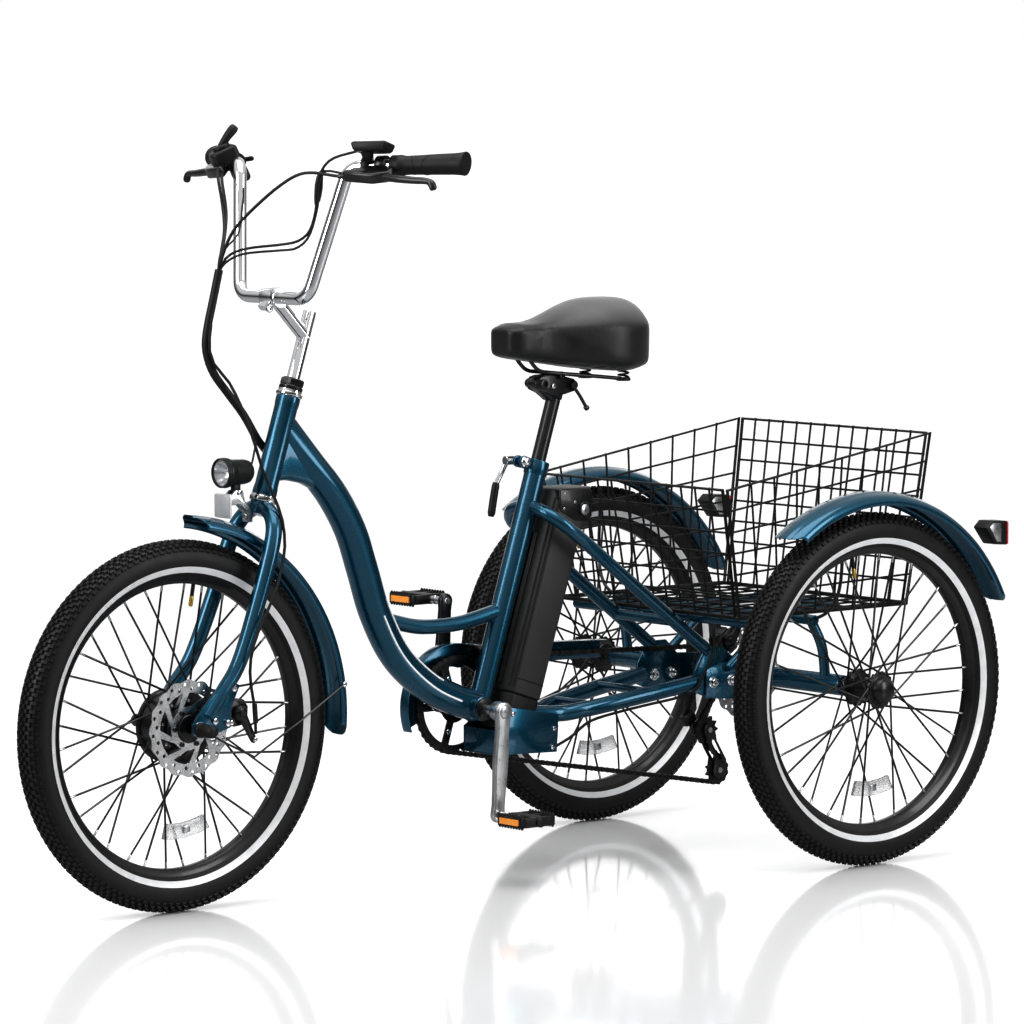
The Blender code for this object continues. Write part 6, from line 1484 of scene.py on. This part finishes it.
def gear_change():
    """Rear gear: hanger, parallelogram, a long S-shaped cage and two toothed guide wheels."""
    hanger = [(-1.1790, 0.2860), (-1.2030, 0.2860), (-1.2090, 0.2320), (-1.1960, 0.2080), (-1.1770, 0.2120)]
    pieces = [painted(plate("hanger", hanger, -0.0690, 0.0050, edge=0.0010), black_enamel)]
    for centre, size, lean in (((-1.1860, -0.0640, 0.2160), (0.0280, 0.0160, 0.0200), 0.5),
                               ((-1.2020, -0.0585, 0.2000), (0.0300, 0.0110, 0.0220), 0.3)):
        pieces.append(painted(block("linkage", centre, size, Matrix.Rotation(lean, 4, "Y"), 0.0040, 3), black_enamel))
    cage = (arc(GUIDE.x, GUIDE.z, 0.0125, 9, -0.5, pi - 0.3) + [(-1.2290, 0.1760), (-1.2420, 0.1560), (-1.2520, 0.1400)]
            + arc(TENSION.x, TENSION.z, 0.0150, 9, pi - 0.4, 2 * pi - 0.1) + [(-1.2250, 0.1440), (-1.2120, 0.1640)])
    slit = [(-1.2160, 0.1800), (-1.2240, 0.1760), (-1.2370, 0.1540), (-1.2420, 0.1400), (-1.2340, 0.1420), (-1.2220, 0.1600)]
    for y in (CHAIN_Y - 0.0085, CHAIN_Y + 0.0085):
        pieces.append(painted(plate("cage", cage, y, 0.0018, [slit], edge=0.0004), black_enamel))
    for wheel in (GUIDE, TENSION):
        pieces.append(painted(plate("guide_wheel", toothed(wheel, 11), CHAIN_Y, 0.0060,
                                    [arc(wheel.x + 0.0115 * cos(a), wheel.z + 0.0115 * sin(a), 0.0022, 8)
                                     for a in (2 * pi * k / 6 for k in range(6))], edge=0.0), black_plastic))
        pieces.append(painted(turn("guide_pin", [(0.0, CHAIN_Y - 0.0112), (0.0050, CHAIN_Y - 0.0112),
                                                 (0.0050, CHAIN_Y + 0.0112), (0.0, CHAIN_Y + 0.0112)], wheel, steps=18),
                              bright_steel))
    pieces.append(bolt((-1.1920, -0.0718, 0.2680), -Y, 0.0075, 0.0060, 6, chrome, 0.6))
    pieces.append(bolt((-1.1830, -0.0722, 0.2170), -Y, 0.0050, 0.0030, 16, bright_steel))
    return together("gear_change", pieces)


fit(gear_change(), "frame", "black_paint", "derailleur", angle=35)
guard_out = arc(BB.x, BB.z, 0.1060, 40, radians(-22), radians(108))
guard_in = arc(BB.x, BB.z, 0.0640, 28, radians(108), radians(-22))
rim_in = arc(BB.x, BB.z, 0.1042, 40, radians(108), radians(-22))
chain_guard = [
    painted(plate("guard_plate", guard_out + [(-0.9740, 0.3740), (-0.9740, 0.3420), (-0.7000, 0.3460)] + guard_in, -0.0610,
                  0.0018, edge=0.0005), teal_paint),
    painted(plate("guard_rim", guard_out + [(-0.9740, 0.3740), (-0.9740, 0.3722)] + rim_in, -0.0509, 0.0218, edge=0.0005),
            teal_paint),
    painted(bar("guard_tab", (-0.6740, -0.0200, 0.3810), (-0.6740, -0.0460, 0.3810), 0.0060), black_enamel),
    bolt((-0.6740, -0.0620, 0.3810), -Y, 0.0055, 0.0035, 16, chrome)]
fit(together("chain_guard_shell", chain_guard), "frame", "teal_paint", "chain_guard", angle=35)


# Axle ends, brakes and the front stay
def axle_ends():
    """A washer and a long rubber cap at each end of the front axle."""
    pieces = []
    for sign in (1, -1):
        for line, material in (([(0.0060, 0.0694), (0.0128, 0.0694), (0.0132, 0.0700), (0.0128, 0.0712), (0.0060, 0.0712)],
                                chrome),
                               ([(0.0, 0.1080), (0.0055, 0.1078), (0.0092, 0.1066), (0.0106, 0.1040), (0.0109, 0.0860),
                                 (0.0109, 0.0780), (0.0120, 0.0770), (0.0124, 0.0750), (0.0124, 0.0716), (0.0, 0.0714)],
                                cable_rubber)):
            pieces.append(painted(turn("axle_end", [(r, sign * y) for r, y in line], FRONT, steps=32), material))
    return together("axle_caps", pieces)


def caliper(name):
    """Cable disc brake over the front disc: two halves, a bridge, an actuating barrel and its arm."""
    outline = [(-0.0640, 0.3120), (-0.0630, 0.3300), (-0.0700, 0.3440), (-0.0860, 0.3490), (-0.1010, 0.3460),
               (-0.1090, 0.3340), (-0.1080, 0.3160), (-0.0980, 0.3040), (-0.0800, 0.3020)]
    pivot = Vector((-0.0880, 0.0, 0.3250))
    swing = (arc(pivot.x, pivot.z, 0.0100, 9, radians(-10), radians(190))
             + arc(-0.1120, 0.2800, 0.0058, 7, radians(150), radians(330)))
    barrel = [(0.0, 0.0716), (0.0050, 0.0716), (0.0064, 0.0706), (0.0064, 0.0690), (0.0096, 0.0682), (0.0118, 0.0660),
              (0.0128, 0.0640), (0.0128, 0.0560), (0.0, 0.0560)]
    return together(name, [
        painted(plate("outer_half", outline, 0.0497, 0.0146, edge=0.0030, segments=3), black_enamel),
        painted(plate("inner_half", outline, 0.0335, 0.0050, edge=0.0015), black_enamel),
        painted(block("bridge", (-0.1038, 0.0415, 0.3270), (0.0086, 0.0200, 0.0300), None, 0.0020), black_enamel),
        painted(turn("barrel", barrel, pivot, steps=36), black_enamel),
        painted(plate("arm", swing, 0.0655, 0.0040, edge=0.0010), black_enamel),
        bolt((-0.1120, 0.0675, 0.2805), Y, 0.0044, 0.0050, 6, chrome, 0.6),
        bolt((-0.0690, 0.0570, 0.3370), Y, 0.0042, 0.0034, 16, chrome, 0.6),
        bolt((-0.0730, 0.0570, 0.3100), Y, 0.0042, 0.0034, 16, chrome, 0.6),
        painted(rod("hose_stop", [Vector((-0.1090, 0.0730, 0.3400)), Vector((-0.1117, 0.0725, 0.3080))], 0.0042, 14),
                black_enamel)])


front_caliper = caliper("front_brake")
to_rear = (Matrix.Translation(AXLE - FRONT + Vector((-0.0040, 0.0084, -0.0040)))
           @ about(FRONT, radians(119.5), "Y"))
rear_caliper = copied(front_caliper, "rear_brake", to_rear)
fit(front_caliper, "steering", "black_paint", "front_caliper", angle=35)
fit(rear_caliper, "frame", "black_paint", "rear_caliper", angle=35)
fit(axle_ends(), "steering", "black_plastic", "front_axle", angle=40)
tip_bolts = [bolt((x, 0.0690, z), Y, radius, 0.0042, sides, chrome, 0.6)
             for x, z, radius, sides in ((-0.0690, 0.3680, 0.0056, 16), (-0.0560, 0.3120, 0.0056, 16),
                                         (-0.0300, 0.3170, 0.0060, 6))]
fit(together("dropout_bolts", tip_bolts), "steering", "chrome")
stay_wires = []
for sign in (1, -1):
    line = side_of([(-0.0040, 0.0735, 0.3030), (-0.0600, 0.0690, 0.2760), (-0.1190, 0.0590, 0.2500),
                    (-0.2250, 0.0470, 0.3000), (-0.3265, 0.0352, 0.3515)], sign)
    stay_wires.append(painted(rod("stay_wire", smooth(line[:3], 6) + line[3:], 0.0018, 10), black_enamel))
    stay_wires.append(bolt((-0.3262, sign * 0.0345, 0.3516), Y * sign, 0.0046, 0.0034, 16, chrome))
fit(together("front_fender_stay", stay_wires), "steering", "black_paint")


# Battery, its rail and dock, and the controller tray
def up_seat(name, section, low, high, top=None, edge=0.002, segments=2):
    """A section of (back, side) points carried up along the seat tube, cut level at the top."""
    base = seat_axis(low)
    loop = [base + SEAT_BACK * back + Y * side for back, side in section]
    piece = draw(name, [[*loop, loop[0]]])
    bpy.ops.mesh.remove_doubles(threshold=0.00001)
    bpy.ops.mesh.edge_face_add()
    bpy.ops.mesh.extrude_region_move(TRANSFORM_OT_translate={"value": tuple(seat_axis(high) - base)})
    if top is not None:
        bpy.ops.mesh.select_all(action="SELECT")
        bpy.ops.mesh.bisect(plane_co=(0.0, 0.0, top), plane_no=(0.0, 0.0, 1.0), use_fill=True, clear_outer=True)
    tidy_mesh(piece)
    return soften(piece, edge, segments)


def both_sides(side):
    return side + [(back, -reach) for back, reach in reversed(side)]


CASE = both_sides([(0.0275, 0.0200), (0.0400, 0.0380), (0.0980, 0.0380), (0.1080, 0.0260)])
lock = Vector((-0.8520, 0.0, 0.6140))
battery = [
    painted(up_seat("case", CASE, 0.3220, 0.7000, 0.6520, 0.0035, 3), battery_shell),
    painted(plate("head", [(-0.7960, 0.6510), (-0.8640, 0.6510), (-0.8700, 0.6440), (-0.8690, 0.6020), (-0.8600, 0.5930),
                           (-0.8300, 0.5950), (-0.7960, 0.6130)], 0.0, 0.0774, edge=0.0024, segments=3), black_enamel),
    painted(turn("lock_bezel", [(0.0, 0.0382), (0.0134, 0.0382), (0.0136, 0.0402), (0.0124, 0.0414), (0.0104, 0.0414),
                                (0.0104, 0.0402), (0.0, 0.0402)], lock, steps=36), black_enamel),
    painted(turn("lock_face", [(0.0, 0.0414), (0.0078, 0.0414), (0.0094, 0.0406), (0.0094, 0.0398), (0.0, 0.0398)], lock,
                 steps=32), bright_steel),
    painted(block("key_slot", lock + Y * 0.0414, (0.0020, 0.0006, 0.0080), None, 0.0002), black_enamel)]
battery += [bolt((x, 0.0384, z), Y, 0.0026, 0.0012, 16, bright_steel)
            for x, z in ((-0.8080, 0.6430), (-0.8300, 0.6280), (-0.8060, 0.6180))]
for side in (1, -1):
    for back, reach in ((0.0330, 0.0288), (0.0375, 0.0352)):
        rib = [seat_axis(z) + SEAT_BACK * back + Y * side * reach for z in (0.3320, 0.6480)]
        battery.append(painted(rod("rib", rib, 0.0017, 10), black_plastic))
    seam = [seat_axis(0.3460) + SEAT_BACK * back + Y * side * 0.0382 for back in (0.0400, 0.0980)]
    battery.append(painted(rod("seam", seam, 0.0009, 8), black_plastic))
fit(together("battery_case", battery), "battery_pack", "black_plastic", "battery", angle=35)
RAIL = both_sides([(0.0196, 0.0105), (0.0215, 0.0128), (0.0232, 0.0118), (0.0245, 0.0138), (0.0270, 0.0138)])
fit(up_seat("battery_slide", RAIL, 0.3350, 0.5850, edge=0.0004), "frame", "black_paint", "battery_rail", finish=black_enamel)
DOCK = [(back * 0.98 + 0.0012, side * 0.965) for back, side in CASE]
fit(up_seat("battery_dock", DOCK, 0.2580, 0.3212, edge=0.0030, segments=3), "frame", "black_plastic", finish=black_plastic)
tray_line = [(-0.6460, 0.2060), (-0.7840, 0.2010), (-0.7880, 0.2660), (-0.6780, 0.2860), (-0.6560, 0.2560), (-0.6460, 0.2500)]
tray = [plate("tray_side", tray_line, y, 0.0025, edge=0.0006) for y in (-0.0387, 0.0437)]
tray += [block("tray_floor", (-0.7150, 0.0025, 0.2050), (0.1380, 0.0830, 0.0026), Matrix.Rotation(-0.0362, 4, "Y"), 0.0006),
         block("tray_front", (-0.6478, 0.0025, 0.2280), (0.0022, 0.0830, 0.0420), None, 0.0006),
         block("tray_back", (-0.7855, 0.0025, 0.2250), (0.0022, 0.0830, 0.0460), Matrix.Rotation(-0.08, 4, "Y"), 0.0006)]
tray = [painted(piece, teal_paint) for piece in tray]
for x, z in ((-0.6550, 0.2140), (-0.7740, 0.2100), (-0.7780, 0.2420), (-0.6600, 0.2440), (-0.6860, 0.2740)):
    tray += [bolt((x, y, z), Y * way, 0.0042, 0.0020, 16, chrome, 0) for y, way in ((0.0449, 1), (-0.0399, -1))]
fit(together("controller_tray", tray), "frame", "teal_paint", "controller_box", angle=35)


# Seat post, saddle frame and their levers
post_head = [(-0.8240, 0.8020), (-0.8300, 0.8230), (-0.8060, 0.8270), *arc(-0.7760, 0.8320, 0.0105, 15, radians(110), radians(-70)),
             (-0.8000, 0.8020)]
post = [bar("post", seat_axis(0.5450), seat_axis(0.8050), 0.0127, 32), plate("head", post_head, 0.0, 0.0220, edge=0.0016)]
fit(together("seat_pillar", post), "post", "black_paint", "seat_post", finish=black_enamel, angle=40)


def saddle_frame():
    """Cheek plates, bent rails, coil springs in cups, clamp bar and pivot."""
    cheek = [(-0.7660, 0.8320), (-0.7700, 0.8220), (-0.7840, 0.8160), (-0.8000, 0.8110), (-0.8260, 0.8120), (-0.8480, 0.8170),
             (-0.8530, 0.8230), (-0.8530, 0.8330), (-0.8470, 0.8380), (-0.8100, 0.8470), (-0.7830, 0.8460), (-0.7720, 0.8430)]
    pieces = []
    for sign in (1, -1):
        rail_line = side_of([(-0.7360, 0.0170, 0.8900), (-0.7480, 0.0170, 0.8720), (-0.7680, 0.0170, 0.8550),
                             (-0.8000, 0.0190, 0.8500), (-0.8700, 0.0330, 0.8430), (-0.9260, 0.0480, 0.8370)], sign)
        foot = Vector((-0.9300, sign * 0.0500, 0.8370))
        coil = [foot + Vector((0.0090 * cos(a), 0.0090 * sin(a), 0.0070 * a / (2 * pi)))
                for a in (2 * pi * k / 16 for k in range(49))]
        pieces += [painted(plate("cheek", cheek, sign * 0.0137, 0.0044, edge=0.0009), black_enamel),
                   painted(rod("rail", smooth(rail_line, 6), 0.0034, 14), black_enamel),
                   painted(rod("spring", coil, 0.0018, 8), black_enamel),
                   painted(turn("cup", [(0.0, -0.0040), (0.0117, -0.0040), (0.0124, -0.0030), (0.0124, 0.0012), (0.0112, 0.0014),
                                        (0.0112, 0.0002), (0.0, 0.0002)], foot, Z, steps=28), black_enamel)]
        for x, z, radius, high in ((-0.7760, 0.8320, 0.0082, 0.0070), (-0.8160, 0.8455, 0.0068, 0.0070),
                                   (-0.8000, 0.8270, 0.0050, 0.0030), (-0.8440, 0.8275, 0.0046, 0.0005)):
            pieces.append(bolt((x, sign * 0.0158, z), Y * sign, radius, high, 16 if radius > 0.007 else 6,
                               black_enamel if radius > 0.0055 else bright_steel, 0.6))
    pieces.append(painted(bar("clamp_bar", (-0.8160, -0.0160, 0.8455), (-0.8160, 0.0160, 0.8455), 0.0062), black_enamel))
    pieces.append(painted(bar("pivot", (-0.7760, -0.0160, 0.8320), (-0.7760, 0.0160, 0.8320), 0.0046), bright_steel))
    return together("saddle_frame", pieces)


fit(saddle_frame(), "saddle", "black_paint", "saddle_base", angle=40)
latch_pivot = Vector((-0.8440, 0.0, 0.8275))
latch_line = smooth([latch_pivot + Vector((0.0, 0.0194, -0.0040)), latch_pivot + Vector((-0.0120, 0.0200, -0.0180)),
                     latch_pivot + Vector((-0.0270, 0.0210, -0.0400))], 6)
latch = [turn("eye", [(0.0, 0.0164), (0.0066, 0.0164), (0.0075, 0.0174), (0.0075, 0.0214), (0.0066, 0.0224), (0.0, 0.0224)],
              latch_pivot, steps=28),
         rod("arm", latch_line, 0.0030, 12),
         turn("ball", [(0.0, -0.0052), (0.0037, -0.0037), (0.0052, 0.0), (0.0037, 0.0037), (0.0, 0.0052)], latch_line[-1],
              steps=20)]
fit(together("saddle_latch_lever", latch), "latch", "black_paint", "saddle_latch", finish=black_enamel, angle=40)
release = Vector((-0.7420, -0.0330, 0.7000))
cam = [(0.0, -0.0090), (0.0070, -0.0090), (0.0080, -0.0080), (0.0080, 0.0080), (0.0070, 0.0090), (0.0, 0.0090)]
handle = smooth([(-0.7235, -0.0450, 0.6620), (-0.7180, -0.0455, 0.6340), (-0.7120, -0.0450, 0.6040)], 5)
quick_release = [
    painted(turn("cam", cam, release, X, steps=32), chrome),
    painted(rod("lever", smooth([release + Vector((0.0, -0.0060, -0.0020)), (-0.7360, -0.0430, 0.6820),
                                 (-0.7235, -0.0450, 0.6600)], 6), 0.0044, 16), chrome),
    painted(rod("handle", handle, 0.0068, 16, [0.8] + [1.0] * (len(handle) - 2) + [0.7]), black_plastic)]
fit(together("seat_release", quick_release), "quick_release", "chrome", "seat_quick_release", angle=40)
skewer = [bolt((-0.7420, 0.0116, 0.7000), Y, 0.0072, 0.0075, 6, chrome, 0.6),
          bolt((-0.7420, 0.0110, 0.7000), Y, 0.0092, 0.0014, 24, chrome, 0),
          painted(bar("skewer", (-0.7420, -0.0240, 0.7000), (-0.7420, 0.0110, 0.7000), 0.0030), chrome)]
fit(together("seat_bolt", skewer), "frame", "chrome")


# Hand controls
def hand_plate(name, hand, outline, up, thickness, edge):
    """A moulding cut to (run, ahead) points at one hand, lying across the bar."""
    piece = plate(name, outline, 0.0, thickness, edge=edge, segments=4)
    turned = Matrix((hand.out, hand.ahead.cross(hand.out), hand.ahead)).transposed().to_4x4()
    return moved(piece, Matrix.Translation(hand.at(0.0, 0.0, up)) @ turned)


def collar(name, hand, start, end, radius):
    """A split clamp round the bar."""
    line = [(0.0113, start), (radius - 0.0008, start), (radius, start + 0.0010), (radius, end - 0.0010),
            (radius - 0.0008, end), (0.0113, end), (0.0113, start)]
    return turn(name, line, hand.at(0.0), hand.out, steps=36)


def lever_perch(name, hand):
    """Lever body: a clamp, a long flat wedge ahead of the bar and a cable adjuster."""
    wedge = [(0.0040, 0.0300), (0.0250, 0.0215), (0.0460, 0.0130), (0.0660, 0.0130), (0.0720, 0.0205), (0.0900, 0.0240),
             (0.0940, 0.0320), (0.0880, 0.0440), (0.0600, 0.0500), (0.0300, 0.0440), (0.0050, 0.0390)]
    screw = rod("adjuster", [hand.at(0.0070, 0.0345), hand.at(0.0025, 0.0347), hand.at(0.0020, 0.0347),
                             hand.at(-0.0045, 0.0350)], 0.0050, 14, [1.0, 1.0, 0.8, 0.7])
    return together(name, [
        painted(collar("collar", hand, 0.0520, 0.0690, 0.0172), black_enamel),
        painted(hand_plate("wedge", hand, wedge, 0.0, 0.0190, 0.0045), black_enamel), painted(screw, black_enamel),
        bolt(hand.at(0.0605, 0.0060, -0.0170), -hand.up, 0.0044, 0.0030, 16, bright_steel),
        bolt(hand.at(0.0580, 0.0300, 0.0070), hand.up, 0.0048, 0.0014, 16, bright_steel)])


def lever_blade(name, hand):
    """Brake lever: a broad root, a long tapering blade and a hooked end."""
    line = smooth([hand.at(0.0580, 0.0330), hand.at(0.0850, 0.0420), hand.at(0.1120, 0.0500), hand.at(0.1400, 0.0560),
                   hand.at(0.1640, 0.0600), hand.at(0.1730, 0.0635, -0.0045), hand.at(0.1765, 0.0680, -0.0120)], 6)
    slim = [1.20 - 0.34 * k / 24 for k in range(25)] + [0.88, 0.92, 0.96, 1.0, 1.02, 1.02, 1.02, 1.02, 1.02, 1.0, 0.92, 0.72]
    return rod(name, line, 0.0062, 16, slim)


for side, hand in (("left", LEFT), ("right", RIGHT)):
    perch = [lever_perch(side + "_lever_perch", hand)]
    if hand is RIGHT:
        pod = (arc(0.0320, 0.0260, 0.0080, 5, pi / 2, pi) + arc(0.0320, -0.0040, 0.0080, 5, pi, 1.5 * pi)
               + arc(0.0610, -0.0040, 0.0080, 5, 1.5 * pi, 2 * pi) + arc(0.0610, 0.0260, 0.0080, 5, 0.0, pi / 2))
        perch.append(painted(hand_plate("shift_pod", hand, pod, 0.0150, 0.0298, 0.0060), black_plastic))
        perch.append(painted(block("wire_box", hand.at(0.0300, 0.0020, -0.0200), (0.0260, 0.0280, 0.0300), hand.tilt(),
                                   0.0080, 4), black_plastic))
        perch.append(painted(collar("pod_collar", hand, 0.0300, 0.0440, 0.0168), black_plastic))
    fit(together(side + "_lever_set", perch), "steering", "black_plastic", side + "_brake_perch", angle=40)
    fit(lever_blade(side + "_lever_blade", hand), side + "_lever", "black_paint", side + "_brake_lever", finish=black_enamel,
        angle=50)
dial = turn("dial", [(0.0, 0.0062), (0.0110, 0.0060), (0.0142, 0.0050), (0.0150, 0.0036), (0.0150, 0.0002), (0.0, 0.0002)],
            RIGHT.at(0.0470, 0.0100, 0.0302), RIGHT.up, steps=36)
thumb = rod("thumb", smooth([RIGHT.at(0.0470, 0.0100, 0.0335), RIGHT.at(0.0480, -0.0080, 0.0440),
                             RIGHT.at(0.0500, -0.0270, 0.0530)], 5), 0.0082, 16,
            [0.70, 0.74, 0.78, 0.82, 0.86, 0.90, 0.94, 0.97, 1.0, 0.98, 0.75])
fit(together("shift_paddle", [dial, thumb]), "shifter", "black_plastic", "shift_lever", finish=black_plastic, angle=45)
push = rod("push", smooth([RIGHT.at(0.0732, -0.0120, -0.0020), RIGHT.at(0.0732, -0.0250, -0.0080), RIGHT.at(0.0640, -0.0340, -0.0100)],
                          5), 0.0042, 14, [1.0] * 10 + [0.7])
fit(together("thumb_throttle", [collar("ring", RIGHT, 0.0696, 0.0752, 0.0160), push]), "throttle", "black_plastic",
    "throttle_lever", finish=black_plastic, angle=45)


def display():
    """Handlebar display: a thin case leaning to the rider on a tapering stalk, with a plain glass face."""
    lean = LEFT.tilt(radians(-37.0))
    face = lean.to_3x3() @ Z
    face = face if face.z > 0 else -face
    centre = LEFT.at(0.0500, 0.0020, 0.0340)
    case = block("case", centre, (0.0640, 0.0380, 0.0160), lean, 0.0040, 4)
    for spot in case.data.vertices:
        depth = (spot.co - centre).dot(face)
        middle = centre + face * depth
        spot.co = middle + (spot.co - middle) * min(1.0, 1.0 + 22.0 * depth)
    foot = LEFT.at(0.0400, 0.0050, 0.0215)
    stalk = block("stalk", foot, (0.0170, 0.0110, 0.0270), LEFT.tilt(), 0.0022, 3)
    for spot in stalk.data.vertices:
        spot.co += LEFT.out * ((spot.co - foot).dot(LEFT.out) * (spot.co - foot).dot(LEFT.up) * 22.0)
    return together("bar_display", [
        painted(case, black_plastic), painted(stalk, black_plastic),
        painted(collar("collar", LEFT, 0.0270, 0.0390, 0.0165), black_plastic),
        painted(block("glass", centre + face * 0.0078, (0.0560, 0.0310, 0.0012), lean, 0.0004), screen_glass)])


fit(display(), "steering", "black_plastic", "display", angle=40)

# Head lamp and front reflector
LAMP = Vector((-0.1240, 0.0, 0.7130))
shell = [(0.0, -0.0340), (0.0085, -0.0335), (0.0148, -0.0316), (0.0188, -0.0270), (0.0205, -0.0200), (0.0213, 0.0060),
         (0.0219, 0.0088), (0.0240, 0.0130), (0.0245, 0.0155), (0.0245, 0.0272), (0.0238, 0.0281), (0.0226, 0.0278),
         (0.0223, 0.0262), (0.0215, 0.0235), (0.0150, 0.0120), (0.0080, 0.0060), (0.0, 0.0040)]
headlamp = [
    painted(turn("lamp_shell", shell, LAMP, X, steps=48, first=Z), black_plastic),
    painted(turn("bowl", [(0.0, 0.0046), (0.0080, 0.0066), (0.0150, 0.0126), (0.0212, 0.0236)], LAMP, X, steps=48, first=Z,
                 wall=0.0005), chrome),
    painted(turn("lens", [(0.0, 0.0270), (0.0100, 0.0267), (0.0180, 0.0258), (0.0221, 0.0247), (0.0221, 0.0238),
                          (0.0180, 0.0246), (0.0, 0.0256)], LAMP, X, steps=48, first=Z), lamp_glass),
    painted(turn("rim_ring", [(0.0246, 0.0180), (0.0251, 0.0186), (0.0251, 0.0196), (0.0246, 0.0202), (0.0240, 0.0190),
                              (0.0246, 0.0180)], LAMP, X, steps=48, first=Z), black_enamel),
    painted(block("lamp_foot", LAMP + Vector((-0.0040, 0.0, -0.0280)), (0.0140, 0.0098, 0.0200), None, 0.0012), black_plastic)]
fit(together("head_lamp", headlamp), "lamp", "black_plastic", "headlamp", angle=35)
strap = [(-0.1200, 0.6840), (-0.1360, 0.6840), (-0.1400, 0.6660), (-0.1560, 0.6480), (-0.1560, 0.6300), (-0.1490, 0.6300),
         (-0.1490, 0.6440), (-0.1320, 0.6600), (-0.1120, 0.6600), (-0.1040, 0.6560), (-0.1040, 0.6680)]
lamp_bracket = [painted(plate("strap", strap, y, 0.0036, edge=0.0010), bright_steel) for y in (-0.0078, 0.0078)]
lamp_bracket += [
    painted(block("foot", (-0.1525, 0.0, 0.6390), (0.0060, 0.0180, 0.0170), None, 0.0012), bright_steel),
    painted(block("cross", (-0.1080, 0.0, 0.6620), (0.0060, 0.0180, 0.0050), None, 0.0010), bright_steel),
    bolt((-0.1280, 0.0096, 0.6800), Y, 0.0046, 0.0034, 6, chrome, 0.6), bolt((-0.1495, 0.0, 0.6390), X, 0.0056, 0.0045, 6, chrome, 0.6),
    painted(block("reflector_back", (-0.1034, 0.0, 0.6590), (0.0032, 0.0400, 0.0400), None, 0.0010), reflex_band),
    painted(block("reflector", (-0.1000, 0.0, 0.6590), (0.0042, 0.0376, 0.0376), None, 0.0014), clear_lens)]
fit(together("lamp_mount", lamp_bracket), "steering", "steel", "lamp_bracket", angle=35)
